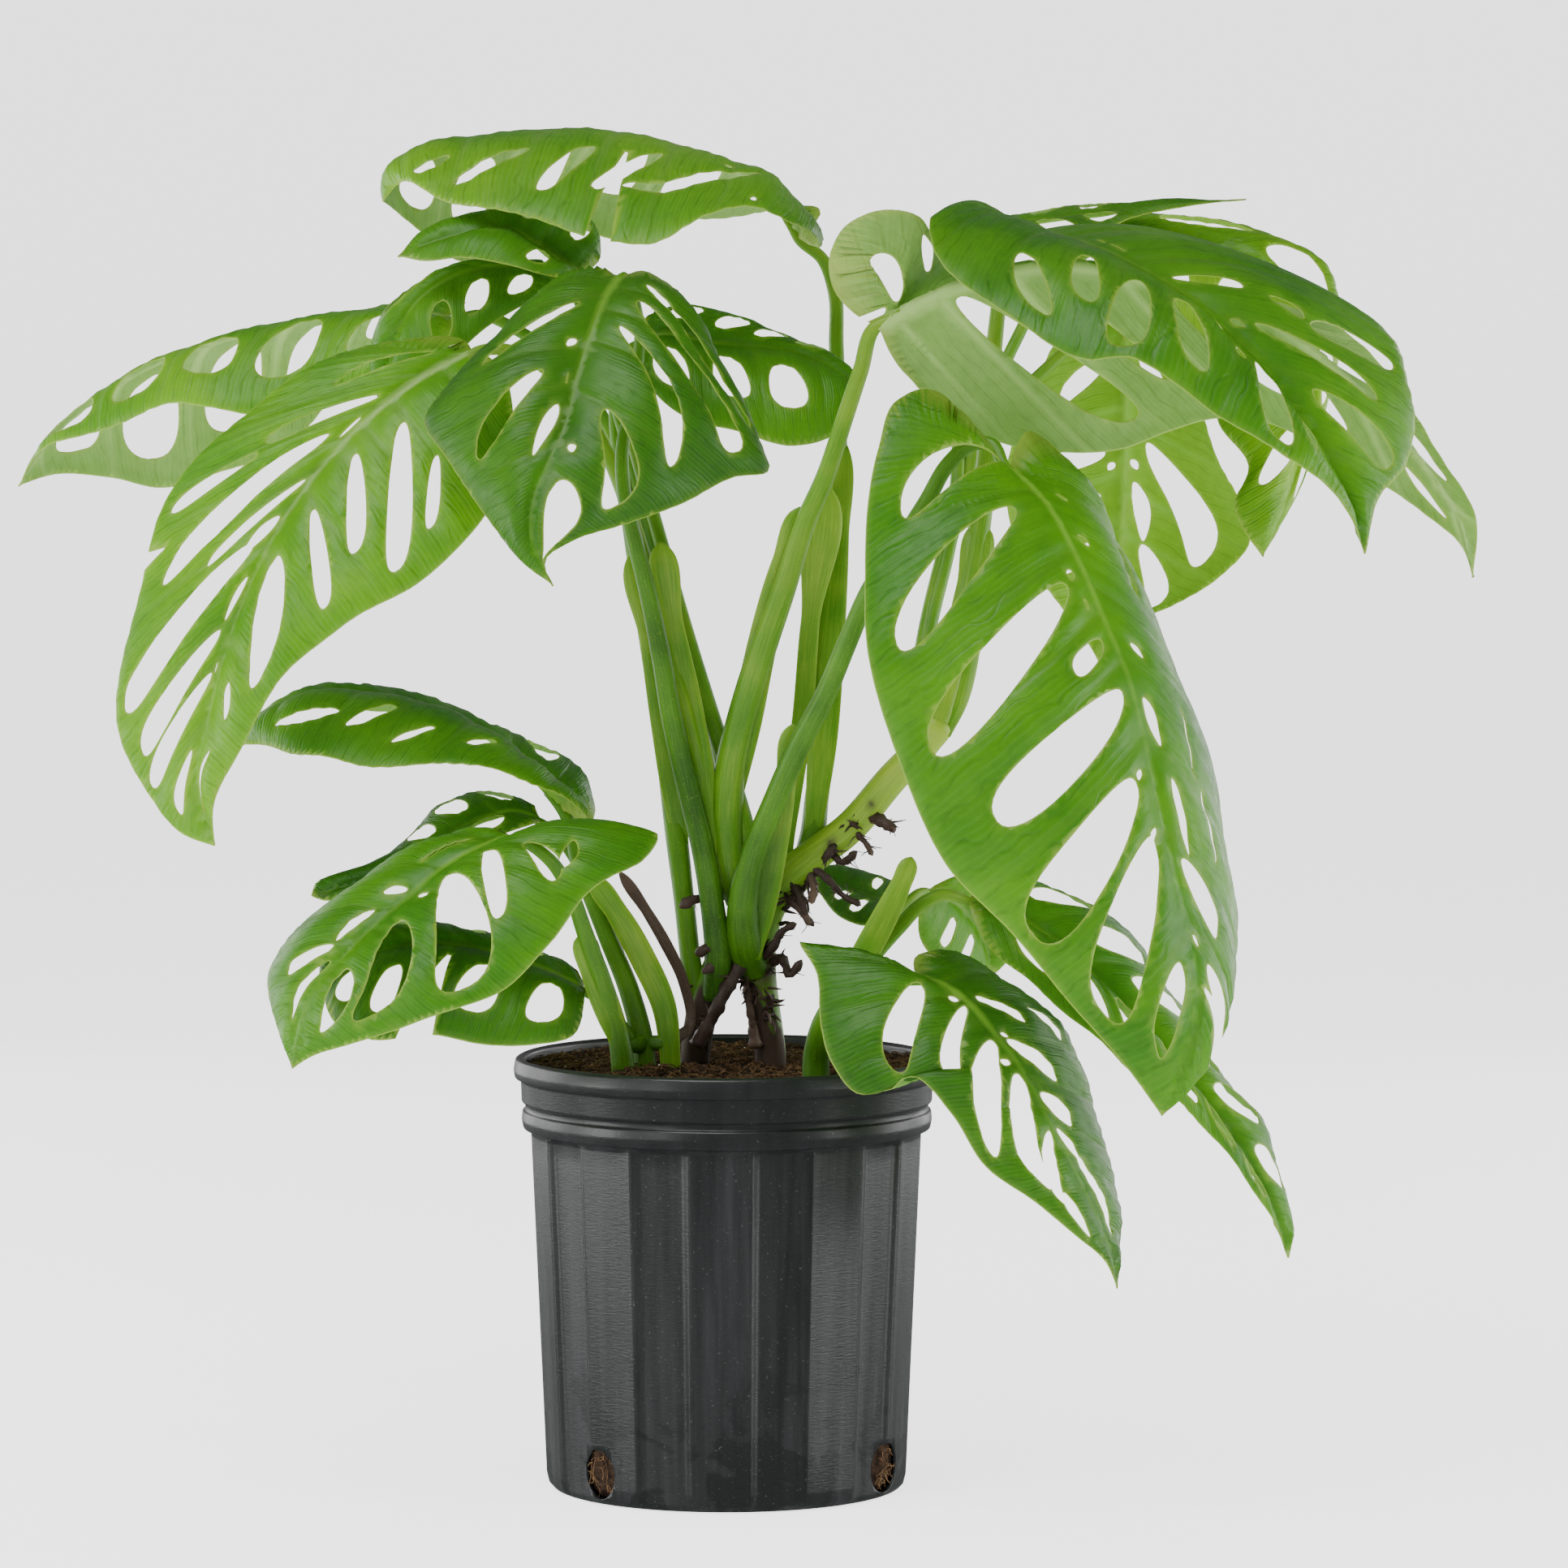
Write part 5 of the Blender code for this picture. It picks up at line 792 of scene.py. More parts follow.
            (-163, 353, -152, 289, 33), (-193, 327, -205, 273, 26), (-223, 299, -230, 266, 19),
            (-176, 344, 5)]),
    "leaf_low_left_mid": dict(
        midrib=[(-107, -20, 387), (-120, -22, 391), (-138, -22, 388), (-158, -24, 379), (-180, -26, 366),
            (-208, -28, 351), (-240, -30, 343)],
        left=[(-110, -6, 392), (-126, 12, 400), (-150, 18, 401), (-170, 12, 391), (-182, 0, 378),
            (-212, -16, 358), (-238, -24, 349)],
        right=[(-112, -32, 384), (-124, -38, 380), (-142, -40, 374), (-160, -40, 366), (-184, -38, 356),
            (-210, -36, 346), (-234, -34, 340)],
        sweep=(1.4, 1.4), bow=(0.14, 0.14),
        left_windows=row(0.30, 0.60, 3, 0.22, 0.82, 0.32, 25),
        right_windows=row(0.34, 0.60, 2, 0.25, 0.78, 0.30, 26)),
    "leaf_low_left_upper": dict(
        midrib=[(-92, -22, 392), (-103, -20, 404), (-114, -16, 415), (-128, -12, 428), (-141, -10, 438),
            (-154, -8, 446), (-185, -6, 456), (-215, -6, 461), (-245, -8, 459), (-266, -10, 448),
            (-280, -12, 430)],
        left=[(-84, -10, 384), (-76, 4, 388), (-79, 22, 407), (-91, 40, 421), (-111, 54, 429),
            (-141, 64, 435), (-180, 68, 444), (-216, 62, 452), (-248, 44, 452), (-270, 16, 440)],
        right=[(-82, -34, 384), (-80, -48, 388), (-98, -66, 402), (-128, -78, 413), (-160, -84, 421),
            (-192, -84, 417), (-222, -78, 421), (-246, -64, 424), (-264, -42, 429)],
        sweep=(1.45, 1.45), bow=(0.12, 0.16), wave=1.5,
        left_windows=row(0.34, 0.88, 5, 0.20, 0.84, 0.34, 27),
        right_windows=[(-227, 452, -256, 441, 12), (-191, 452, -218, 441, 9), (-169, 440, -192, 432, 5),
            (-134, 431, -149, 430, 5)]),
    "leaf_low_left_back": dict(
        midrib=[(-82, -46, 289), (-102, -48, 299), (-124, -50, 307), (-148, -50, 313), (-176, -50, 315),
            (-206, -52, 309), (-236, -56, 292)],
        left=[(-84, -32, 296), (-104, -10, 305), (-136, 2, 314), (-170, 4, 322), (-200, -4, 326),
            (-222, -22, 318), (-236, -42, 304)],
        right=[(-82, -62, 280), (-88, -76, 262), (-112, -84, 256), (-140, -88, 256), (-172, -90, 262),
            (-206, -86, 259), (-226, -74, 268)],
        sweep=(1.3, 1.3), bow=(0.14, 0.14),
        left_windows=row(0.34, 0.80, 4, 0.22, 0.80, 0.34, 29),
        right_windows=row(0.30, 0.50, 2, 0.22, 0.80, 0.30, 30) + row(0.74, 0.86, 2, 0.22, 0.78, 0.30, 31),
        right_slits=[(0.62, 0.16, 0.050)]),
}
print("leaves in the table:", len(LEAVES))


# %% [markdown]
# A fine blade has thousands of points. They lie in rows along the veins, so that a crease
# can be pressed exactly where a vein runs, and the triangles between them are laid out on
# a plain flat leaf, with the midrib, the margin and the windows as fences. The triangles
# inside the windows are then thrown away.

# %% Fences: midrib, margin and windows
WINDOW_CORNERS, HOLE_CORNERS = 36, 12


def inside(points, loop):
    """which flat points lie inside a closed loop"""
    x, y = points[:, 0], points[:, 1]
    hit = np.zeros(len(points), bool)
    for (ax, ay), (bx, by) in zip(loop, np.roll(loop, -1, axis=0)):
        if ay != by:
            hit ^= ((ay > y) != (by > y)) & (x < (bx - ax) * (y - ay) / (by - ay) + ax)
    return hit


def slit_margin(leaf, side, count):
    """the margin from foot to tip as (vein, out) points, with its torn slits"""
    at = [(p, 1.0) for p in 0.999 * np.linspace(0, 1, count)]
    for p, inner, half in leaf.get(SIDES[side] + "_slits", []):
        at = [a for a in at if abs(a[0] - p) > half]
        for share in np.linspace(0, 1, 12):
            at.append((p - half * (1 - 0.9 * share), 1.0 + (inner - 1.0) * share))
            at.append((p + half * (1 - 0.9 * share), 1.0 + (inner - 1.0) * share))
    return sorted(set(at), key=lambda a: a[0])


def lay_fences(leaf, blade, step):
    """spots (side, vein, out) on the midrib, the margin and the windows, the fences between
    them, the loop of spots round the blade, and each window's loop, as spots and as drawn"""
    def closed(loop):
        return list(zip(loop, loop[1:] + loop[:1]))

    along_rib = np.linspace(0, 1, max(12, int(blade.length / step)) + 1)[1:-1]
    spots = [(0, 0.0, 0.0)] + [(0, float(blade.vein_of(0, share)), 0.0) for share in along_rib]
    tip = len(spots)
    spots.append((0, 1.0, 1.0))
    fences = list(zip(range(tip), range(1, tip + 1)))
    around, holes, drawn = [0], [], [[], []]
    for side in (0, 1):
        margin = slit_margin(leaf, side, max(24, int(run_length(blade.edge[side]) / step)))
        part = list(range(len(spots), len(spots) + len(margin)))
        spots += [(side, float(p), float(q)) for p, q in margin]
        around += part + [tip] if side == 0 else part[::-1]
    fences += closed(around)
    for side in (0, 1):
        for window in leaf.get(SIDES[side] + "_windows", []):
            corners = ring(blade, side, window, HOLE_CORNERS if len(window) == 3 else WINDOW_CORNERS)
            loop = list(range(len(spots), len(spots) + len(corners)))
            spots += [(side, float(np.clip(p, 0.01, 0.99)), float(q)) for p, q in corners]
            fences += closed(loop)
            holes.append(loop)
            drawn[side].append(corners)
    return spots, fences, around, holes, drawn


print("corners round a window and a round hole:", WINDOW_CORNERS, HOLE_CORNERS)


# %% [markdown]
# Between the fences the points are set in rows: close ones just inside every rim and beside
# every main vein, where the surface turns quickly, and wider ones over the rest. A fine and
# a coarse grid of cells keep two points from falling on nearly the same spot.

# %% Rows of points between the fences
RIM_STEP, VEIN_STEP = 1.1, 1.3                # mm from a rim or a vein to the row beside it
PLAIN_VEINS = [0.30, 0.45, 0.60, 0.74, 0.86]  # main veins of a half with hardly any windows


def main_veins(blade, side, windows):
    """the main veins of one half: one along each bar between two windows"""
    rings = [ring(blade, side, w, 4) for w in windows if len(w) > 3]
    middles = sorted(0.5 * (r[0][0] + r[2][0]) for r in rings)
    if len(middles) < 2:
        return PLAIN_VEINS
    veins = [0.5 * (a + b) for a, b in zip(middles, middles[1:]) if b - a > 0.035]
    first = max(middles[0] - 0.5 * (middles[1] - middles[0]) - 0.01, 0.10)
    last = min(middles[-1] + 0.5 * (middles[-1] - middles[-2]) + 0.01, 0.955)
    return [max(0.04, first - 0.11), first] + veins + [last]


def grown_loop(blade, side, loop, by):
    """a window's loop moved outward all round by some millimetres"""
    p, q = np.array(loop).T
    run, reach = blade.spans(side, p, q, 0.004)
    u, v = (np.roll(p, -1) - np.roll(p, 1)) * run, (np.roll(q, -1) - np.roll(q, 1)) * reach
    size = np.maximum(np.hypot(u, v), 1e-6)
    way = 1.0 if np.sum(p * np.roll(q, -1) - q * np.roll(p, -1)) > 0 else -1.0
    return np.stack([p + way * v / size * by / run, q - way * u / size * by / reach], 1)


def rim_rows(blade, side, loops, step):
    """spots just inside every rim, so that its rounding and its pale line stay narrow"""
    rows = [grown_loop(blade, side, loop, RIM_STEP) for loop in loops]
    p = 0.999 * np.linspace(0, 1, max(24, int(run_length(blade.edge[side]) / step)))[1:-1]
    _, reach = blade.spans(side, p, np.full(len(p), 0.97), 0.004)
    rows.append(np.stack([p, 1 - RIM_STEP / np.maximum(reach, 6)], 1))
    return np.concatenate(rows)


def vein_rows(blade, side, veins, step):
    """spots on and beside every main vein, so that its crease stays narrow"""
    out = []
    for vein in veins:
        chord = blade.chord(side, vein)
        q = np.linspace(4.0 / chord, 0.93, max(4, int(chord / step)))
        p = np.full(len(q), vein)
        run, _ = blade.spans(side, p, q, 0.004)
        for beside in (0.0, -VEIN_STEP, VEIN_STEP):
            out.append(np.stack([p + beside / np.maximum(run, 30), q], 1))
    return np.concatenate(out)


def wide_rows(blade, side, veins, step):
    """spots over the rest of one half, in rows between its main veins"""
    stops = [0.0] + veins + [0.99]
    out = []
    for a, b in zip(stops, stops[1:]):
        rows = max(2, int((b - a) * run_length(blade.edge[side]) / step))
        for p in [a + (b - a) * k / rows for k in range(1, rows)]:
            chord = blade.chord(side, p)
            n = max(3, int(chord / step))
            out += [(p, q) for q in [1.4 / chord, 3.2 / chord] if q < 0.3]
            out += [(p, k / n) for k in range(1, n) if k / n > 5.0 / chord]
    return np.array(out)


def lay_points(leaf, blade, step):
    """all spots of a blade, with its fences, the loops of its rims and its main veins"""
    spots, fences, around, holes, drawn = lay_fences(leaf, blade, step)
    veins = [main_veins(blade, side, leaf.get(SIDES[side] + "_windows", [])) for side in (0, 1)]
    laid = np.array([flat(s, p, q, blade.sweep) for s, p, q in spots])
    rim, walls = laid[around], [laid[loop] for loop in holes]
    fine, coarse = 0.45 / blade.length, 0.62 * step / blade.length
    taken = {size: {tuple(c) for c in np.floor(laid / size).astype(int)} for size in (fine, coarse)}

    def take(side, wanted, size):
        """keep the wanted spots that lie on the blade, one at most in a cell of this size"""
        wanted = wanted[(wanted[:, 0] > 0.004) & (wanted[:, 0] < 0.994) & (wanted[:, 1] > 0.012)
                        & (wanted[:, 1] < 0.998)]
        at = flat(side, wanted[:, 0], wanted[:, 1], blade.sweep)
        good = inside(at, rim)
        for wall in walls:
            near = (at > wall.min(0) - 0.01).all(1) & (at < wall.max(0) + 0.01).all(1)
            if near.any():
                good[near] &= ~inside(at[near], wall)
        for (p, q), spot, ok in zip(wanted, at, good):
            if ok and tuple(np.floor(spot / size).astype(int)) not in taken[size]:
                for each in taken:
                    taken[each].add(tuple(np.floor(spot / each).astype(int)))
                spots.append((side, float(p), float(q)))

    for side in (0, 1):
        take(side, rim_rows(blade, side, drawn[side], step), fine)
        take(side, vein_rows(blade, side, veins[side], step), fine)
    for side in (0, 1):
        take(side, wide_rows(blade, side, veins[side], step), coarse)
    return spots, fences, around, holes, veins


def weave_sheet(leaf, blade, step):
    """the blade's middle layer: its spots, its triangles and its main veins"""
    spots, fences, around, holes, veins = lay_points(leaf, blade, step)
    laid = np.array([flat(s, p, q, blade.sweep) for s, p, q in spots])
    verts, _, faces, origin, _, _ = delaunay_2d_cdt([Vector(v) for v in laid.tolist()], fences, [], 0, 1e-6)
    found = np.array([tuple(v) for v in verts])
    middles = found[np.array([list(f) for f in faces])].mean(1)
    ok = inside(middles, laid[around])
    for loop in holes:
        wall = laid[loop]
        near = (middles > wall.min(0)).all(1) & (middles < wall.max(0)).all(1)
        ok[near] &= ~inside(middles[near], wall)
    p, q = np.meshgrid(np.linspace(0, 1, 401), np.linspace(0, 1, 201), indexing="ij")
    nets = [flat(side, p, q, blade.sweep) for side in (0, 1)]
    placed = []
    for spot, source in zip(found, origin):
        if source:
            placed.append(spots[source[0]])
            continue
        side = 0 if spot[1] < 0 else 1
        near = np.argmin(np.sum((nets[side] - spot) ** 2, -1))
        placed.append((side, float(p.flat[near]), float(q.flat[near])))
    kept = [list(f) for f, good in zip(faces, ok) if good]
    used = sorted({i for f in kept for i in f})
    number = {old: new for new, old in enumerate(used)}
    return [placed[i] for i in used], np.array([[number[i] for i in f] for f in kept]), veins


print("rows lie", RIM_STEP, "mm from a rim and", VEIN_STEP, "mm from a vein")


# %% [markdown]
# Now each point is lifted into space and moved along the surface: pressed in at a main vein
# and along a rim, swollen between veins, and gently uneven all over, as no leaf is smooth.

# %% Relief of a blade
SWELL, CREASE, RIM_DROP, TINY, UNEVEN = 1.5, 0.75, 0.9, 0.36, 0.8     # heights in mm
CREASE_WIDE, VEIN_WIDE, RIM_WIDE = 2.6, 1.3, 3.5                      # how far they reach, in mm


def surface_normals(at, faces, up):
    """the surface's direction at every point, and the faces, both turned to the upper side"""
    normal = np.zeros_like(at)
    a, b, c = (at[faces[:, i]] for i in range(3))
    area = np.cross(b - a, c - a)
    for i in range(3):
        np.add.at(normal, faces[:, i], area)
    normal = unit(normal)
    if np.sum(normal * up) < 0:
        return -normal, faces[:, ::-1]
    return normal, faces


def bell(away, wide):
    """1 at a place, fading to nothing a few widths away from it"""
    return np.exp(-(away / wide) ** 2)


def relief(blade, side, p, q, at, veins, rim_gap):
    """how far each spot stands out of the plain surface, in mm, and how close it is to a main vein"""
    lift, closeness = np.zeros(len(p)), np.zeros(len(p))
    for s in (0, 1):
        here = side == s
        lines = np.array([0.0] + list(veins[s]) + [1.0])
        k = np.clip(np.searchsorted(lines, p[here]) - 1, 0, len(lines) - 2)
        wide = lines[k + 1] - lines[k]
        t = (p[here] - lines[k]) / wide
        out = q[here]
        span = wide * run_length(blade.edge[s]) * (0.25 + 0.75 * out)
        away = np.minimum(t, 1 - t) * span
        crease = bell(away, CREASE_WIDE) * np.clip(1.15 - out, 0, 1)
        swell = np.sin(np.pi * t) ** 2 * np.clip(span / 24, 0.2, 1.3)
        swell = swell * np.sin(np.pi * np.clip(out, 0, 1)) ** 0.7
        tiny = np.sin(p[here] * 190 + 3 * out) * TINY * np.clip(blade.chord(s, p[here]) / 50, 0.2, 1)
        lift[here] = SWELL * swell - CREASE * crease + tiny
        closeness[here] = bell(away, VEIN_WIDE) * np.clip(1.2 - out, 0, 1) ** 0.8
    lift -= RIM_DROP * bell(rim_gap, RIM_WIDE)
    lift += UNEVEN * np.sin(at[:, 0] / 19 + 1.3) * np.sin(at[:, 2] / 23 + at[:, 1] / 17)
    return lift, closeness


print("swelling and creases of", SWELL, "and", CREASE, "mm")


# %% [markdown]
# Last the sheet is doubled to give the blade its thickness, thinner at its rims, with the
# midrib standing out beneath. Its points also keep the numbers that the leaf material reads:
# leaf_map holds how close a vein, the midrib and a rim are, and leaf_grain holds the vein
# number, the distance out and which face the point is on.

# %% Building a fine blade
SHEET = 0.55                                  # blade thickness in mm
RIB_WIDE, RIB_HIGH = 2.7, 2.3                 # half width and depth of the midrib at its foot
STOUT_RIBS = {"blade_right_under": 1.8}       # blades with a wider midrib, and how much wider
RIM_LINE = 0.8                                # reach of the pale line along a rim, mm
BATCH = 800                                   # points compared at a time, to save memory


def rims_of(faces):
    """the edges that have a triangle on one side only, as point pairs"""
    edges = dict.fromkeys((f[i], f[(i + 1) % 3]) for f in faces.tolist() for i in range(3))
    return np.array([(i, j) for i, j in edges if (j, i) not in edges])


def gap_to(at, others):
    """millimetres from each place to the nearest of the others"""
    return np.concatenate([np.sqrt(((at[i:i + BATCH, None] - others[None]) ** 2).sum(-1)).min(1)
                           for i in range(0, len(at), BATCH)])


def store(mesh, name, rows):
    """keep three numbers on every point of a mesh, for its material to read"""
    layer = mesh.color_attributes.new(name, "FLOAT_COLOR", "POINT")
    layer.data.foreach_set("color", np.column_stack([rows, np.ones(len(rows))]).astype(np.float32).ravel())


def add_piece(name, points, faces, finish):
    """a smooth-shaded object from points in millimetres"""
    return new_object(name, (np.array(points) * MM).tolist(), faces, finish)


def fine_blade(name, leaf, step, finish):
    blade = Blade(leaf)
    spots, faces, veins = weave_sheet(leaf, blade, step)
    side, p, q = (np.array(column) for column in zip(*spots))
    at, share = np.zeros((len(p), 3)), np.zeros(len(p))
    for s in (0, 1):
        at[side == s] = blade.point(s, p[side == s], q[side == s])
        share[side == s] = blade.start_of(s, p[side == s])
    normal, faces = surface_normals(at, faces, along(blade.up, share))
    rims = rims_of(faces)
    rim_gap = gap_to(at, np.vstack([at[rims[:, 0]], at[rims].mean(1)]))
    mid_gap = gap_to(at, blade.mid)
    lift, closeness = relief(blade, side, p, q, at, veins, rim_gap)
    stout = STOUT_RIBS.get(name, 1.0)
    rib = np.clip(1 - mid_gap / (stout * RIB_WIDE * (1.05 - 0.75 * share)), 0, 1)
    lift = lift * np.clip(mid_gap / 6, 0, 1) - RIM_DROP * bell(mid_gap, RIM_WIDE)
    moved = at + normal * lift[:, None]
    normal, _ = surface_normals(moved, faces, normal)
    thin = np.clip(rim_gap / 1.2, 0.45, 1)
    top = moved + normal * (SHEET / 2 * thin)[:, None] + normal * (0.35 * rib ** 0.5)[:, None]
    below = SHEET / 2 * thin + stout * RIB_HIGH * (1.05 - 0.85 * share) * np.sqrt(rib)
    bottom = moved - normal * below[:, None]
    n = len(at)
    walls = [(j, i, i + n, j + n) for i, j in rims.tolist()]
    piece = add_piece(name, np.vstack([top, bottom]),
                      faces.tolist() + (faces[:, ::-1] + n).tolist() + walls, finish)
    rib_mark = np.clip(rib * 2.0, 0, 1)
    marked = np.tile(np.stack([closeness, 0.85 * rib_mark, bell(rim_gap, RIM_LINE)], 1), (2, 1))
    marked[:n, 1] = rib_mark * (0.22 + 0.55 * bell(share, 0.30))
    store(piece.data, "leaf_map", marked)
    numbers = np.tile(np.stack([p + side * 2, q], 1), (2, 1))
    store(piece.data, "leaf_grain", np.column_stack([numbers, np.repeat([0.0, 1.0], n)]))
    return piece


def settle(piece, slot, *nodes):
    """a piece rides on the one body and stands for its solids; slot is not used"""
    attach(piece, "root")
    if nodes:
        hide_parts(*nodes)
    return piece


# %% [markdown]
# Now every leaf in the table is built in one loop, so that thickness, relief and the spacing of points are
# the same on all of them. The blades that are fresher or deeper in colour than the rest, and the far ones
# with painted backlight, are named in a short list, and all the others are mature.

# %% All the leaves
FINISHES = {"fresh": ("right_under", "top_left", "left_lower", "left_upper", "low_right_pale"),
            "deep": ("centre", "low_left_back", "low_left_mid", "low_right_dark", "low_right_front"),
            # the far blades whose colours carry painted backlight
            "painted_backlight": ("back_bright", "right_back")}
FINISH_OF = {leaf: finish for finish, leaves in FINISHES.items() for leaf in leaves}
STEP = 4.2             # mm between rows of points
total = 0
for node, leaf in LEAVES.items():
    name = node.removeprefix("leaf_")
    piece = fine_blade("blade_" + name, leaf, STEP, leaf_materials[FINISH_OF.get(name, "mature")])
    settle(piece, "leaf", node)
    total += len(piece.data.polygons)
print("blades:", len(LEAVES), "faces:", total)


# %% [markdown]
# Stalks rise from three clumps. The middle one is a thick creeping stem that lies over to
# the right and turns up, with a stalk at each joint. A stalk's foot is clasped by a sheath,
# a long green wing with a channel down its face, which ends in a rounded tip half way up.
# One old sheath on the left has dried to a brown ribbon. Each run of numbers is the middle
# line of one stalk as it is seen from the front, with its radius as the fourth number. A
# row that names a leaf is that leaf's stalk, one with a flatness is a sheath, and the
# others are stems.

# %% The routes of stalks, sheaths and roots
MAIN_STALKS = [
    dict(path=[(25, 2, 212, 9), (25, 2, 252, 9), (22, 1, 275, 9), (18, 0, 298, 10.5), (17, 0, 318, 12),
        (23, 0, 338, 12), (34, 0, 352, 11), (48, 0, 364, 10), (70, -2, 381, 9.5), (96, -8, 411, 9),
        (114, -16, 430, 8.5), (124, -18, 444, 7)]),
    dict(path=[(-18, -2, 212, 8.5), (-18, -2, 252, 8.5), (-15, -3, 272, 9), (-9, -5, 292, 9),
        (0, -4, 310, 8.5), (13, -2, 322, 7)]),
    dict(leaf="leaf_centre", path=[(-7, -8, 284, 8), (-5, -18, 308, 8), (-8, -24, 334, 7),
        (-13, -28, 366, 6.8), (-24, -34, 412, 6.4), (-32, -40, 447, 6), (-38, -44, 482, 5.6),
        (-46, -50, 520, 5), (-53, -54, 548, 4.6), (-59, -56, 575, 4.2), (-60, -54, 600, 3.8),
        (-55, -50, 624, 3.5), (-51, -50, 647, 3.3), (-50, -52, 670, 3.2)]),
    dict(path=[(-11, -24, 352, 5), (-14, -22, 400, 8), (-21, -26, 450, 7.5), (-31, -32, 500, 6),
        (-38, -38, 545, 3)], flat=0.45),
    dict(leaf="leaf_centre_right", path=[(-17, -2, 260, 6), (-17, -4, 278, 6), (-20, -4, 298, 6),
        (-25, -2, 343, 6), (-29, 0, 377, 6.5), (-36, 2, 430, 5.5), (-44, 4, 480, 5), (-52, 8, 530, 4.6),
        (-59, 14, 580, 4.2), (-64, 20, 620, 3.8), (-62, 20, 648, 3.3)]),
    dict(path=[(-26, -2, 372, 4), (-30, -6, 400, 7), (-36, -10, 440, 7.5), (-43, -12, 490, 7),
        (-53, -12, 540, 3)], flat=0.4),
    dict(leaf="leaf_top_small", path=[(10, -8, 345, 6), (12, -16, 372, 5.5), (3, -14, 410, 5),
        (-10, -12, 450, 5), (-25, -10, 500, 4.6), (-36, -8, 540, 4.2), (-50, -8, 590, 3.8),
        (-64, -8, 640, 3.4), (-77, -12, 684, 3)]),
    dict(leaf="leaf_left_lower", path=[(2, -8, 345, 6), (-3, -12, 372, 6), (-14, -20, 412, 5.5),
        (-24, -26, 450, 5.2), (-38, -26, 500, 4.8), (-50, -24, 545, 4.6), (-70, -16, 600, 4.2),
        (-96, -16, 640, 4), (-122, -26, 656, 3.6)]),
    dict(leaf="leaf_left_upper", path=[(2, 2, 345, 6), (-6, 10, 400, 5.5), (-20, 20, 460, 5),
        (-38, 30, 530, 4.6), (-58, 42, 590, 4.2), (-86, 58, 640, 3.8), (-118, 70, 667, 3.5),
        (-142, 76, 677, 3.2)]),
    dict(leaf="leaf_left_back", path=[(0, 0, 340, 6), (-12, 6, 420, 5), (-30, 10, 500, 4.6),
        (-46, 12, 560, 4.2), (-62, 12, 620, 3.6), (-77, 8, 668, 3.2)]),
    dict(leaf="leaf_top_left", path=[(30, 0, 340, 8), (42, 2, 354, 8), (49, 6, 375, 7.5), (52, 10, 400, 7),
        (57, 18, 435, 6.6), (61, 28, 482, 6), (63.5, 36, 528, 5.6), (65, 44, 574, 5.2), (64, 50, 620, 4.8),
        (63, 54, 660, 4.4), (62, 54, 690, 4), (55, 50, 709, 3.6)]),
    dict(path=[(50, 2, 380, 5), (55, 8, 430, 8.5), (59, 20, 490, 9), (64, 30, 550, 6.5),
        (69, 38, 600, 1.5)], flat=0.45),
    dict(path=[(31, 0, 352, 6), (33, 3, 375, 6), (37, 5, 400, 6), (43, 8, 440, 6), (48, 8, 500, 5.5),
        (58, 0, 578, 2.6)], flat=0.45),
    dict(leaf="leaf_right_under", path=[(8, -6, 340, 9), (3, -14, 358, 9.5), (0, -18, 385, 9.5),
        (2, -22, 415, 9), (10, -28, 450, 8.5), (19, -34, 480, 8), (33, -40, 520, 7), (45, -46, 557, 6),
        (57, -50, 585, 5.4), (67, -54, 615, 5), (77, -57, 645, 4.6)]),
    dict(path=[(3, -16, 395, 5), (11, -26, 440, 8.5), (21, -32, 490, 8.5), (33, -38, 535, 7),
        (42, -42, 565, 3)], flat=0.45),
    dict(leaf="leaf_front_large", path=[(15, -4, 300, 9), (11, -18, 312, 10), (9, -29, 335, 8.8),
        (14, -38, 362, 7.2), (28, -48, 398, 6.8), (40, -56, 426, 6.4), (57, -66, 459, 6),
        (70, -74, 490, 5.7), (82, -80, 518, 5.4), (100, -88, 546, 5), (115, -93, 570, 4.7),
        (128, -98, 592, 4.4), (141, -102, 603, 4.1), (152, -106, 603, 3.8)]),
    dict(path=[(14, -22, 306, 5), (20, -22, 335, 8), (27, -26, 370, 8), (34, -36, 410, 6),
        (38, -46, 440, 3)], flat=0.5),
    dict(leaf="leaf_right_front", path=[(120, -18, 437, 7.5), (125, -16, 452, 7.5), (133, -8, 480, 7.5),
        (140, 4, 520, 7), (146, 14, 560, 6.5), (150, 24, 600, 6), (152, 32, 640, 5.2), (155, 38, 672, 4.6),
        (158, 42, 696, 4.2)]),
    dict(path=[(122, -20, 436, 7), (128, -16, 456, 11), (135, -8, 485, 11), (141, 2, 520, 9),
        (146, 12, 556, 4)], flat=0.55),
    dict(leaf="leaf_back_bright", path=[(104, -8, 420, 6), (109, 4, 452, 5.5), (114, 24, 490, 5),
        (130, 58, 557, 4.6), (143, 86, 602, 4.2), (165, 108, 628, 3.8), (190, 122, 652, 3.5),
        (212, 138, 671, 3.2)]),
    dict(leaf="leaf_right_back", path=[(110, 4, 452, 5), (114, 26, 490, 4.8), (131, 60, 557, 4.4),
        (146, 88, 610, 4), (165, 104, 660, 3.6), (190, 110, 700, 3.2)]),
    dict(leaf="leaf_right_top", path=[(110, 4, 452, 5), (115, 24, 490, 4.8), (130, 54, 557, 4.2),
        (133, 76, 600, 3.8), (130, 92, 650, 3.3), (123, 100, 694, 3)]),
]
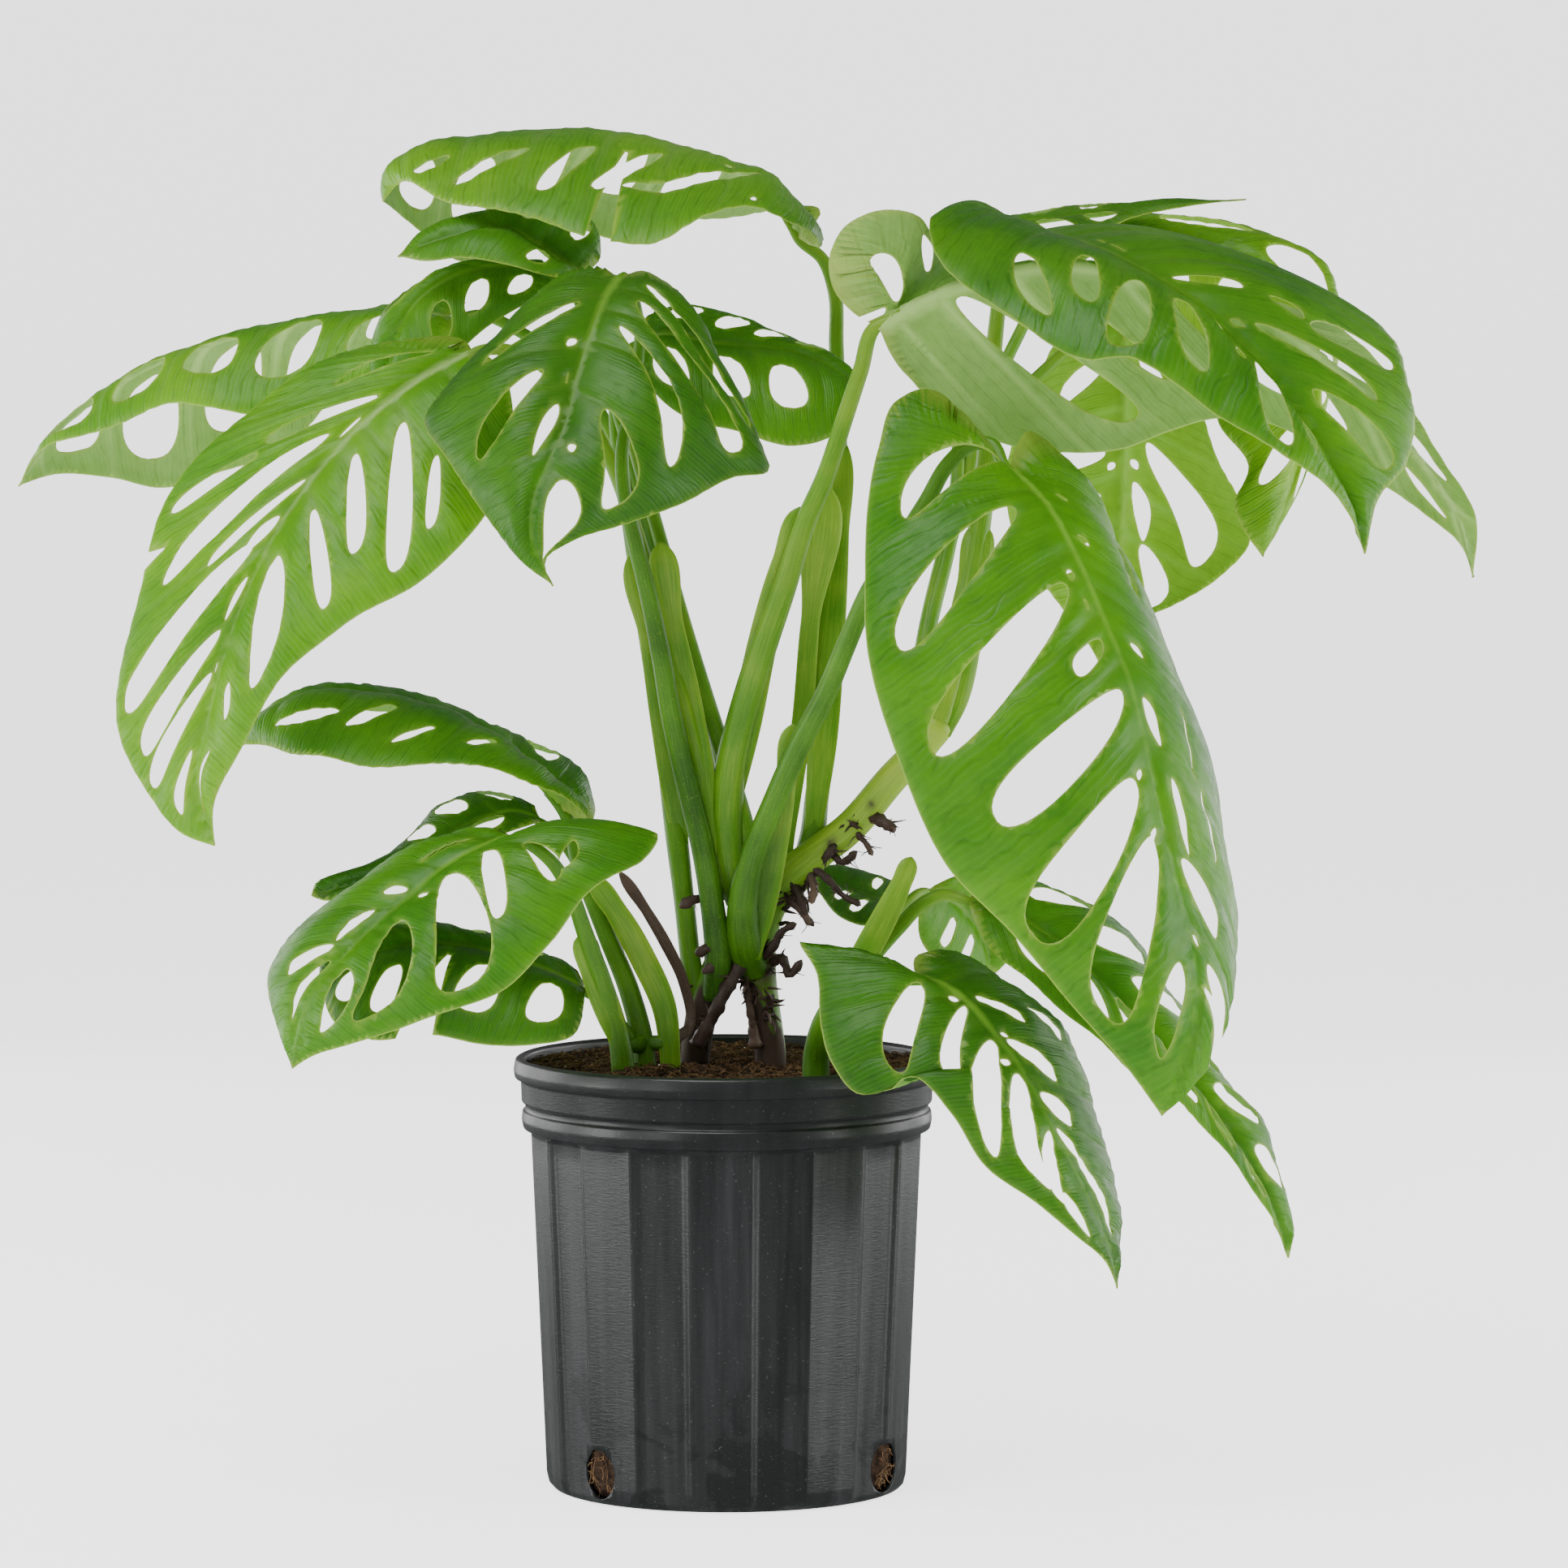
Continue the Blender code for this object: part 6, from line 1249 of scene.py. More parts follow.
MAIN_ROOTS = [
    [(-2, -8, 345, 2.6), (-14, -16, 342, 2.2), (-27, -22, 336, 1.2)],
    [(2, -10, 316, 3.4), (-8, -22, 313, 2.8), (-18, -26, 309, 1.4)],
    [(0, -8, 312, 3.2), (-6, -20, 303, 2.8), (-14, -24, 298, 1.2)],
    [(13, -8, 308, 4), (7, -18, 300, 4), (-2, -20, 284, 4), (-11, -20, 268, 3.6), (-18, -20, 255, 3)],
    [(12, -4, 300, 3.2), (12, -8, 286, 2.8), (15, -8, 268, 2.4), (17, -8, 254, 2.2)],
    [(14, -8, 305, 3.6), (26, -18, 312, 3), (32, -20, 322, 2), (40, -20, 326, 1)],
    [(20, 0, 300, 3.2), (32, -10, 306, 3), (36, -12, 296, 2.2), (43, -12, 305, 1)],
    [(28, -2, 348, 3), (36, -8, 340, 2.6), (44, -12, 332, 2), (48, -14, 326, 1)],
    [(36, -4, 352, 3.4), (42, -10, 342, 2.8), (46, -12, 330, 2.2), (50, -12, 325, 1)],
    [(46, -4, 358, 3), (50, -10, 348, 2.4), (49, -12, 338, 1.2)],
    [(48, -4, 360, 2.8), (60, -10, 350, 2.2), (68, -12, 342, 1.6), (77, -14, 337, 0.9)],
    [(60, -6, 368, 2.6), (66, -10, 362, 2), (75, -12, 368, 1)],
    [(82, -8, 388, 3), (92, -16, 384, 3.4), (97, -18, 380, 1.6)],
    [(74, -8, 380, 2.2), (80, -12, 373, 1.6), (84, -12, 366, 0.9)],
    [(62, -8, 372, 2.4), (58, -12, 366, 2.8), (56, -12, 362, 1.2)],
]
LEFT_STALKS = [
    dict(leaf="leaf_low_left_front", path=[(-61, -48, 212, 6.5), (-61, -48, 252, 6.5), (-64, -50, 267, 6),
        (-71, -56, 290, 5.5), (-82, -66, 321, 4.8), (-91, -76, 346, 4.2), (-102, -84, 363, 3.8),
        (-112, -88, 371, 3.4)]),
    dict(path=[(-61, -50, 255, 5), (-68, -54, 274, 7.5), (-77, -58, 297, 7),
        (-83, -62, 319, 4.5)], flat=0.5),
    dict(leaf="leaf_low_left_upper", path=[(-48, -32, 212, 6.5), (-48, -32, 252, 6.5), (-56, -31, 286, 6),
        (-70, -29, 321, 5.2), (-86, -26, 362, 4.2)]),
    dict(path=[(-33, -37, 212, 6), (-33, -37, 252, 6), (-36, -37, 277, 7), (-49, -38, 307, 7.5),
        (-63, -41, 332, 6.5), (-77, -44, 352, 3)], flat=0.6),
    dict(leaf="leaf_low_left_mid", path=[(-48, -31, 256, 5), (-60, -24, 298, 4.6), (-78, -20, 345, 3.8),
        (-96, -19, 375, 3.2)]),
    dict(leaf="leaf_low_left_back", path=[(-56, -40, 258, 5), (-62, -42, 267, 4.5), (-68, -44, 276, 4),
        (-75, -45, 283, 3.2)]),
    dict(path=[(-46, -33, 257, 4), (-34, -37, 257, 3)]),
    dict(path=[(-60, -46, 256, 4), (-48, -33, 257, 4)]),
    dict(path=[(-34, -36, 258, 4), (-22, -24, 266, 3), (-25, -16, 292, 3), (-36, -16, 316, 3.4),
        (-46, -18, 333, 3), (-61, -20, 355, 1.5)], flat=0.5),
]
RIGHT_STALKS = [
    dict(leaf="leaf_low_right_front", path=[(52, -58, 212, 7.5), (52, -58, 252, 7.5), (56, -69, 270, 6),
        (67, -86, 285, 5), (83, -99, 291, 4.2)]),
    dict(leaf="leaf_low_right_back", path=[(52, -57, 254, 6.5), (58, -56, 268, 6), (72, -57, 292, 5.6),
        (86, -54, 310, 5), (100, -50, 325, 4.4), (112, -45, 337, 4), (125, -41, 343, 3.6)]),
    dict(path=[(62, -58, 272, 5), (76, -62, 302, 7.5), (90, -62, 328, 7.5), (100, -60, 348, 6),
        (106, -58, 363, 3.5)], flat=0.5),
    dict(leaf="leaf_low_right_dark", path=[(54, -52, 256, 5), (66, -24, 290, 4.4), (82, 10, 316, 3.8),
        (95, 30, 332, 3.2)]),
    dict(leaf="leaf_low_right_pale", path=[(66, -24, 290, 4), (84, 8, 316, 3.6), (100, 28, 334, 3.2)]),
]
print("stalks and sheaths:", len(MAIN_STALKS + LEFT_STALKS + RIGHT_STALKS), "roots:", len(MAIN_ROOTS))

# %% [markdown]
# A stalk's skin is smooth and waxy, with fine pale streaks along its length. Old skin is
# deep green, skin near a joint is yellow, and the edge of a sheath is paler still. The mesh
# stores that age on its points, with the way round and the length for the streaks.

# %% Skin of stalks
def make_stalk_skin():
    tree, gin, gout = open_group("stalk_skin", {"Old": "c", "Middle": "c", "Young": "c", "Scar": "c"},
                                 {"Color": "c", "Roughness": "f", "Height": "f"})
    age, scar, rim = put(tree, "SeparateColor", _0=marks(tree, "stalk_state")).outputs
    where = put(tree, "TexCoord").outputs["Object"]
    streaks = noise(tree, marks(tree, "stalk_grain"), 11.0, 4.0, 0.65)
    cloud = noise(tree, where, 30.0, 2.0)
    specks = noise(tree, where, 900.0, 1.0)
    shifted = plus(tree, age, spread(tree, cloud, 0.3, 0.7, -0.12, 0.12))
    shifted = plus(tree, shifted, spread(tree, streaks, 0.35, 0.7, -0.10, 0.16))
    low = blend_colour(tree, spread(tree, shifted, 0.0, 0.5), gin["Old"], gin["Middle"])
    skin = blend_colour(tree, spread(tree, shifted, 0.5, 1.0), low, gin["Young"])
    skin = blend_colour(tree, spread(tree, specks, 0.62, 0.74, 0.0, 0.22), skin, gin["Young"])
    skin = blend_colour(tree, times(tree, rim, 0.75), skin, gin["Young"])
    skin = blend_colour(tree, scar, skin, gin["Scar"])
    rough = plus(tree, spread(tree, streaks, 0.3, 0.7, 0.34, 0.46), times(tree, scar, 0.3))
    high = plus(tree, times(tree, streaks, 0.8), times(tree, specks, 0.2))
    return close_group(tree, gout, Color=skin, Roughness=rough, Height=high)


stalk_skin = make_stalk_skin()


def skin_material(name, old, middle, young, scar, waxy, bump_height):
    """wax gives living skin a thin coat; dry skin has none, and lets no light in"""
    mat, tree, shader = start_material(
        name, Specular_IOR_Level=0.28, Subsurface_Weight=0.12 if waxy else 0.0, Subsurface_Scale=0.004,
        Subsurface_Radius=(0.5, 1.0, 0.2), Coat_Weight=waxy, Coat_Roughness=0.3)
    made = use_group(tree, stalk_skin, Old=old, Middle=middle, Young=young, Scar=scar)
    dress(tree, shader, made["Color"], made["Roughness"], made["Height"], 0.35, bump_height)
    return mat


green_stalk = skin_material("stalk_green", (0.017, 0.070, 0.004), (0.080, 0.225, 0.007), (0.27, 0.40, 0.030),
                            (0.050, 0.030, 0.020), 0.05, 0.0005)
dry_sheath = skin_material("sheath_dry", (0.030, 0.017, 0.012), (0.075, 0.045, 0.032), (0.20, 0.14, 0.10),
                           (0.02, 0.012, 0.01), 0.0, 0.0008)
root_bark = skin_material("root_bark", (0.022, 0.013, 0.010), (0.060, 0.036, 0.028), (0.20, 0.13, 0.085),
                          (0.012, 0.008, 0.007), 0.0, 0.0015)
print("skins:", green_stalk.name, dry_sheath.name, root_bark.name)


# %% [markdown]
# Every stalk is one tube drawn along its route. What changes is the shape of its slice: a
# petiole is round with a shallow channel, a sheath is a wide lens with thin edges and a
# deeper channel, and a root is lumpy. A formula for the slice keeps all of them in one
# function, and the same loop writes the numbers for the skin's streaks on the points.

# %% Tubes with a shaped slice
def petiole_slice(a, share, radius):
    """round, with a shallow channel facing the viewer that fades out to both ends"""
    channel = 0.10 * bell(a - 1.5 * np.pi, 0.42) * np.sin(np.pi * np.clip(share, 0, 1)) ** 0.5
    return radius * (1 - channel) * np.cos(a), radius * (1 - channel) * np.sin(a)


def sheath_slice(flat_share):
    def shape(a, share, radius):
        """a lens with thin edges that turn forward, and a channel down the front"""
        x = np.cos(a)
        belly = np.sin(a) * flat_share * (1 - 0.55 * np.abs(x) ** 3)
        channel = 0.30 * flat_share * bell(x, 0.45) * (np.sin(a) < 0)
        return radius * x, radius * (belly + channel - 0.16 * np.abs(x) ** 3)
    return shape


def lumpy_slice(seed):
    phase = np.random.default_rng(seed).uniform(0, 6.28, 4)

    def shape(a, share, radius):
        """a root is never quite round and swells and thins along its run"""
        lump = (1 + 0.16 * np.sin(3 * a + phase[0] + 9 * share) + 0.14 * np.sin(31 * share + phase[1])
                + 0.10 * np.sin(5 * a + 57 * share + phase[2]))
        return radius * lump * np.cos(a), radius * lump * np.sin(a)
    return shape


def tube_faces(rings, sides):
    """the faces of a tube and of the cap on each end"""
    last = (rings - 1) * sides
    return ring_faces(rings, sides) + [tuple(range(sides))[::-1], tuple(range(last, last + sides))]


def drawn_tube(path, sides, spacing, shape):
    """points and faces of a closed tube, with the share along, the angle and the length at each point"""
    length = run_length(np.array(path, float)[:, :3])
    p = smooth(path, max(6, int(length / spacing)))
    way = unit(np.gradient(p[:, :3], axis=0))
    wide = unit(np.cross(way, np.array([0.0, 1.0, 0.0]) + way[:, [1, 2, 0]] * 0.02))
    deep = unit(np.cross(wide, way))
    angle = 2 * np.pi * np.arange(sides) / sides
    points, grain = [], []
    for at, w, d, s in zip(p, wide, deep, np.linspace(0, 1, len(p))):
        x, y = shape(angle, s, at[3])
        points.append(at[:3] + x[:, None] * w + y[:, None] * d)
        grain.append(np.stack([np.full(sides, s), angle, np.full(sides, s * length)], 1))
    return np.concatenate(points), tube_faces(len(p), sides), np.concatenate(grain)


def round_tip(path, radius=0.5, over=2.0):
    """bring a path to a rounded end"""
    p = np.array(path, float)
    way = unit(p[-1, :3] - p[-2, :3])
    return np.vstack([p, [*(p[-1, :3] + way * over), radius]])


def joined(parts):
    """the points and faces of many shapes as those of one"""
    points, faces, count = [], [], 0
    for part_points, part_faces in parts:
        points.append(part_points)
        faces += [tuple(i + count for i in f) for f in part_faces]
        count += len(part_points)
    return np.concatenate(points), faces


def grown(name, parts, finish, slot, node, ages, scars=(), husk=None, edge=0.0):
    """one object from several tubes; ages is the skin's age at the foot and at the end of each,
    scars are (across, height, reach), husk is how high dry skin clings on (left, right)"""
    points, faces = joined([part[:2] for part in parts])
    _, turn, run = np.concatenate([part[2] for part in parts]).T
    age = np.concatenate([foot + (end - foot) * part[2][:, 0] for part, (foot, end) in zip(parts, ages)])
    scar = np.zeros(len(points))
    for x, z, reach in scars:
        spot = seen([(x, 0, z)])[0]
        away = np.hypot(points[:, 0] - spot[0], points[:, 2] - spot[2])
        scar = np.maximum(scar, bell(away, reach))
    if husk:
        ragged = 7 * np.sin(5 * turn + 1.0) + 4 * np.sin(11 * turn)
        top = husk[0] + (husk[1] - husk[0]) * (0.5 + 0.5 * np.cos(turn)) + ragged
        scar = np.maximum(scar, np.clip((top - points[:, 2]) / 4, 0, 1))
    piece = add_piece(name, points, faces, finish)
    store(piece.data, "stalk_state", np.stack([age, scar, edge * np.abs(np.cos(turn)) ** 12], 1))
    store(piece.data, "stalk_grain", np.stack([np.cos(turn), np.sin(turn), run / 260], 1))
    return settle(piece, slot, node)


print("faces of a tube of 3 rings of 8:", len(tube_faces(3, 8)))


# %% [markdown]
# A petiole runs on into its blade: past the foot it follows the midrib for a short way and
# thins to the rib's width, so the two read as one growth. Its skin is older at one end than
# at the other. Sheaths stay behind their petioles with only their wings in view.

# %% Petioles, sheaths and stems
STALK_SIDES = 28
STALK_SPACING = 3.0
INTO_BLADE = ((0.5, 0.78), (7, 0.55), (16, 0.42))     # mm along the midrib, share of the radius
STALK_AGES = {               # the skin's age at the foot and at the blade
    "centre": (0.10, 0.42), "centre_right": (0.35, 0.50), "top_small": (0.45, 0.62),
    "left_lower": (0.55, 0.66), "left_upper": (0.40, 0.55), "left_back": (0.35, 0.50),
    "top_left": (0.28, 0.60), "right_under": (0.45, 0.70), "front_large": (0.20, 0.46),
    "right_front": (0.66, 0.55), "back_bright": (0.55, 0.72), "right_back": (0.50, 0.62),
    "right_top": (0.50, 0.62), "low_left_front": (0.30, 0.42), "low_left_upper": (0.32, 0.42),
    "low_left_mid": (0.35, 0.45), "low_left_back": (0.30, 0.40), "low_right_front": (0.22, 0.45),
    "low_right_back": (0.45, 0.55), "low_right_dark": (0.25, 0.40), "low_right_pale": (0.50, 0.65),
}
SHEATH_AGES, DRY_AGES, CREEPING_AGES, STEM_AGES = (0.46, 0.66), (0.35, 0.62), (0.30, 1.08), (0.2, 0.4)
LEAF_SCARS = [(20, 300, 11), (60, 374, 3), (83, 396, 2.5), (104, 419, 2)]
HUSKS = {"stem_main_0": (262, 300), "stem_main_1": (300, 290)}


def placed(path):
    """a route of (across, depth, height, radius) rows, moved to where it stands"""
    p = np.array(path, float)
    p[:, :3] = seen(p[:, :3])
    return p


def petiole_run(stalk):
    """a stalk's route with its last stretch under the blade's midrib"""
    path = placed(stalk["path"])
    blade = Blade(LEAVES[stalk["leaf"]])
    last = path[-1, 3]
    ends = []
    for millimetres, thick in INTO_BLADE:
        share = millimetres / blade.length
        at = along(blade.mid, share) - along(blade.up, share) * (1.9 + 0.4 * last * thick * 0.5)
        ends.append([*at, last * thick])
    return np.vstack([path, *ends])


def build_stalk(clump, number, stalk):
    """one petiole, sheath or stem of a clump"""
    node = "stem_" + clump
    if "leaf" in stalk:
        name = stalk["leaf"].removeprefix("leaf_")
        tube = drawn_tube(petiole_run(stalk), STALK_SIDES, STALK_SPACING, petiole_slice)
        return grown("petiole_" + name, [tube], green_stalk, "stem", node, [STALK_AGES[name]])
    run = round_tip(placed(stalk["path"]))
    if "flat" in stalk:
        dry = stalk is LEFT_STALKS[-1]
        tube = drawn_tube(run, STALK_SIDES + 8, STALK_SPACING, sheath_slice(stalk["flat"]))
        return grown(f"sheath_{clump}_{number}", [tube], dry_sheath if dry else green_stalk, "stem", node,
                     [DRY_AGES if dry else SHEATH_AGES], edge=0.4 if dry else 0.9)
    name = f"stem_{clump}_{number}"
    creeping = stalk is MAIN_STALKS[0]
    tube = drawn_tube(run, STALK_SIDES + 8, STALK_SPACING, petiole_slice)
    return grown(name, [tube], green_stalk, "stem", node, [CREEPING_AGES if creeping else STEM_AGES],
                 scars=LEAF_SCARS if creeping else (), husk=HUSKS.get(name))


built = [build_stalk(clump, number, stalk)
         for clump, stalks in (("main", MAIN_STALKS), ("left", LEFT_STALKS), ("right", RIGHT_STALKS))
         for number, stalk in enumerate(stalks)]
print("stalks built:", len(built), "faces:", sum(len(piece.data.polygons) for piece in built))

# %% [markdown]
# Climbing plants feel for bark with air roots. On this stem they are short, dark and broken off, with ragged
# splinters round each joint, and a few run down into the soil. The main ones are listed one by one; the
# small rootlets on them are scattered by a seeded draw, and so are the splinters, each of which is pulled to
# the skin of the nearest stalk.

# %% Air roots
ROOTLETS = 9             # on each root
JOINTS = (                                    # across, height, spread of each, splinters
    (14, 300, 12, 12, 30), (0, 316, 7, 10, 10), (40, 340, 9, 10, 22),
    (78, 386, 8, 5, 7), (-10, 276, 8, 12, 16), (22, 272, 6, 12, 10))


def rootlets(run, count, rng, reach):
    """short ragged rootlets that leave a root at random places"""
    out = []
    line = smooth(run, 40)
    for _ in range(count):
        k = int(rng.integers(2, 38))
        start, thick = line[k, :3], line[k, 3]
        way = unit(rng.normal(size=3) * (1, 0.7, 0.8) + (0, -0.2, -0.35))
        bend = unit(rng.normal(size=3)) * 0.35
        size = reach * rng.uniform(0.4, 1.0)
        out.append([[*(start + (way + bend * t) * size * t), max(thick * 0.38 * (1 - t), 0.22)]
                    for t in (0.0, 0.35, 0.7, 1.0)])
    return out


stalk_lines = np.vstack([smooth(placed(stalk["path"]), 80) for stalk in MAIN_STALKS])


def on_a_stalk(at):
    """the spot, moved onto the skin of the nearest stalk if it lies outside it"""
    away = np.linalg.norm(stalk_lines[:, :3] - at, axis=1)
    near = stalk_lines[np.argmin(away - stalk_lines[:, 3])]
    reach = at - near[:3]
    return near[:3] + unit(reach) * min(np.linalg.norm(reach), near[3])


def splinter(x, z, spread_x, spread_z, rng):
    """a ragged splinter near one joint of the stem"""
    at = on_a_stalk(seen([(x + spread_x * rng.normal() * 0.7, -6 - 5 * rng.random(),
                           z + spread_z * rng.normal() * 0.7)])[0])
    way = unit(rng.normal(size=3) * (1, 0.5, 0.8) + (0, -0.4, -0.4))
    size = rng.uniform(5, 14)
    middle = at + way * size * 0.5 + rng.normal(size=3)
    return [[*at, 1.3], [*middle, 0.9], [*(at + way * size), 0.3]]


rng = np.random.default_rng(11)
runs = []
for root in MAIN_ROOTS:
    line = placed(root)
    runs += [line] + rootlets(line, ROOTLETS, rng, 9.0)
for x, z, spread_x, spread_z, many in JOINTS:
    runs += [splinter(x, z, spread_x, spread_z, rng) for _ in range(many)]
tubes = [drawn_tube(round_tip(run, 0.15, 0.6), 8, 2.0, lumpy_slice(i)) for i, run in enumerate(runs)]
ages = [(rng.uniform(0.0, 0.45), rng.uniform(0.2, 0.8)) for _ in tubes]
roots = grown("air_roots", tubes, root_bark, "soil", "stem_main", ages)
print("roots and splinters:", len(runs), "faces:", len(roots.data.polygons))


# %% [markdown]
# The pot is a blow-moulded nursery can: one thin black wall with ten shallow flutes that
# stiffen it, a stepped band and a rolled bead at the top, and oval drain holes at the foot.
# It is turned from one profile. Flutes and the panels between them are flat, not round, so
# the radius is a function of the angle too, and the holes are cut afterwards by plugs.

# %% The pot's profile
FLUTES, FLUTE_DEPTH, FLUTE_TURN = 10, 2.5, 16.5       # depth in mm, degrees to the first one
FLUTE_REACH, FLUTE_SLOPE = 9.2, 2.9                   # degrees from its middle, and of its side
CORNER, LONGEST, WOBBLE = 0.9, 9.0, 0.5               # rounding, longest step and unevenness, mm
POT_COLUMNS = 480
POT_ROWS = [                 # radius, height, share of the flutes' depth; outside, then inside
    (0, 0, 0), (100.5, 0, 0), (103.6, 3.2, 0.6), (105.2, 9.5, 1), (105.8, 24, 1),
    (113.8, 204.8, 1), (113.9, 207.4, 0), (117.8, 208.6, 0), (118.8, 213.5, 0), (118.4, 218.6, 0),
    (116.7, 219.6, 0), (116.8, 222.8, 0), (118.9, 224.2, 0), (119.3, 236.6, 0), (122.8, 238, 0),
    (123.5, 242.5, 0), (122.4, 248.5, 0), (119.6, 250, 0), (116.9, 248.2, 0), (116.2, 238, 0),
    (111.7, 207, 0), (111.6, 204.4, 1), (103.6, 24, 1), (103.0, 10, 1), (100.9, 4.8, 0.6),
    (98.5, 2.4, 0), (0, 2.4, 0),
]


def rounded(rows, radius):
    """soften each corner of a profile with a short arc of four points"""
    rows = [np.array(r, float) for r in rows]
    out = [rows[0]]
    for before, corner, after in zip(rows, rows[1:], rows[2:]):
        a, b = before - corner, after - corner
        la, lb = np.hypot(*a[:2]), np.hypot(*b[:2])
        r = min(radius, 0.42 * la, 0.42 * lb)
        p, q = corner + a / la * r, corner + b / lb * r
        for t in (0.0, 0.33, 0.67, 1.0):
            out.append((1 - t) ** 2 * p + 2 * t * (1 - t) * corner + t ** 2 * q)
    out.append(rows[-1])
    return out


def with_steps(rows, longest):
    """split the long straight stretches of a profile"""
    out = [rows[0]]
    for a, b in zip(rows, rows[1:]):
        n = max(1, int(np.hypot(*(b - a)[:2]) / longest))
        out += [a + (b - a) * k / n for k in range(1, n + 1)]
    return out


def flute(angle):
    """0 on a flat panel to 1 in the bottom of a flute, for angles in degrees"""
    step = 360 / FLUTES
    away = np.abs((np.asarray(angle) - FLUTE_TURN + 0.5 * step) % step - 0.5 * step)
    t = np.clip((FLUTE_REACH - away) / FLUTE_SLOPE, 0, 1)
    return t * t * (3 - 2 * t)


def flatness(angle):
    """panels and flutes are flat, not round: how a radius shrinks between two of their corners"""
    half = 90 / FLUTES
    away = (np.asarray(angle) - FLUTE_TURN + half) % (2 * half) - half
    return np.cos(np.radians(half)) / np.cos(np.radians(away)) - 1


def wall_radius(radius, angle, share):
    """the radius of the fluted wall at angles in degrees, for a share of the flutes' depth"""
    return radius - FLUTE_DEPTH * flute(angle) * share + radius * flatness(angle) * share


def turned(rows, many):
    """a closed body turned from (radius, height, share) rows that begin and end on the axis"""
    angle = np.arange(many) * 360 / many
    rad = np.radians(angle)
    points = [(0, 0, rows[0][1])]
    for radius, height, share in rows[1:-1]:
        r = wall_radius(radius, angle, share)
        r = r + WOBBLE * height / 240 * (0.8 * np.sin(2 * rad + 0.6) + 0.35 * np.sin(5 * rad + 2.0))
        points += list(zip(r * np.sin(rad), -r * np.cos(rad), np.full(many, height)))
    points.append((0, 0, rows[-1][1]))
    last = len(points) - 1
    faces = [(0, 1 + (k + 1) % many, 1 + k) for k in range(many)] + ring_faces(len(rows) - 2, many, 1)
    return points, faces + [(last - many + k, last - many + (k + 1) % many, last) for k in range(many)]


profile = with_steps(rounded(POT_ROWS, CORNER), LONGEST)
print("rows of the profile:", len(POT_ROWS), "rounded:", len(profile))


# %% [markdown]
# Black polyethylene that has been watered for months isn't black. It is charcoal, satin,
# with faint upright streaks from the mould, dust that dulls it, and clean dark patches near
# the foot where water ran. The dust is a noise stretched upright; the patches are a broad
# noise with a hard threshold that is allowed only low on the wall.

# %% Pot plastic
def pot_plastic():
    mat, tree, shader = start_material("pot_plastic", Specular_IOR_Level=0.50)
    where = put(tree, "TexCoord").outputs["Object"]
    height = put(tree, "SeparateXYZ", _0=where).outputs[2]
    upright, level = (put(tree, "VectorMath", {"operation": "MULTIPLY"}, _0=where,
                          _1=(1.0, 1.0, z)).outputs[0] for z in (0.035, 6.0))
    streaks = noise(tree, upright, 95.0, 3.0, 0.6)
    broad = noise(tree, upright, 30.0, 1.0)
    grain = noise(tree, level, 180.0, 2.0)
    dust = noise(tree, where, 700.0, 1.0)
    patches = noise(tree, where, 26.0, 3.0, 0.55, Distortion=0.6)
    washed = times(tree, spread(tree, patches, 0.52, 0.56), spread(tree, height, 0.02, 0.12, 1.0, 0.0))
    dull = times(tree, spread(tree, streaks, 0.35, 0.70), spread(tree, broad, 0.35, 0.65, 0.6, 1.0))
    dull = times(tree, dull, spread(tree, washed, 0.0, 1.0, 1.0, 0.15))
    dull = times(tree, dull, spread(tree, height, 0.200, 0.212, 1.0, 0.25))
    colour = blend_colour(tree, dull, (0.007, 0.0085, 0.0085), (0.021, 0.024, 0.024))
    colour = blend_colour(tree, spread(tree, dust, 0.70, 0.76, 0.0, 0.30), colour, (0.12, 0.125, 0.125))
    rough = plus(tree, spread(tree, streaks, 0.3, 0.7, 0.33, 0.39), times(tree, washed, -0.06))
    high = plus(tree, times(tree, grain, 0.5), times(tree, streaks, 0.5))
    dress(tree, shader, colour, rough, high, 0.35, 0.0005)
    return mat


pot_finish = pot_plastic()
print("material", pot_finish.name)


# %% [markdown]
# The drain holes are upright ovals low in the wall. Faces could be left out of the turned
# wall instead, but a hole cut with an oval plug has a clean edge through the whole
# thickness, so four plugs are taken out of the wall one after another.

# %% The pot
DRAIN_HOLES = (-44.5, 61.5, 135.5, -118.5)            # degrees from the front, to the right
DRAIN_WIDE, DRAIN_TALL, DRAIN_HEIGHT = 12.8, 14.4, 17.4       # half width, half height, middle
PLUG_CORNERS, PLUG_FROM, PLUG_TO = 32, 86, 116        # the plug's ends, mm from the axis


def out_and_across(angle):
    """the directions out of the pot and along its wall, for an angle in degrees"""
    a = np.radians(angle)
    return np.array([np.sin(a), -np.cos(a), 0]), np.array([np.cos(a), np.sin(a), 0])


def drain_plug(angle):
    """an upright oval plug that points out through the wall"""
    out, across = out_and_across(angle)
    t = 2 * np.pi * (np.arange(PLUG_CORNERS) + 0.37) / PLUG_CORNERS
    up = np.array([0, 0, 1]) * (DRAIN_HEIGHT + DRAIN_TALL * np.sin(t))[:, None]
    loop = across * DRAIN_WIDE * np.cos(t)[:, None] + up
    return np.vstack([out * PLUG_FROM + loop, out * PLUG_TO + loop]), tube_faces(2, PLUG_CORNERS)


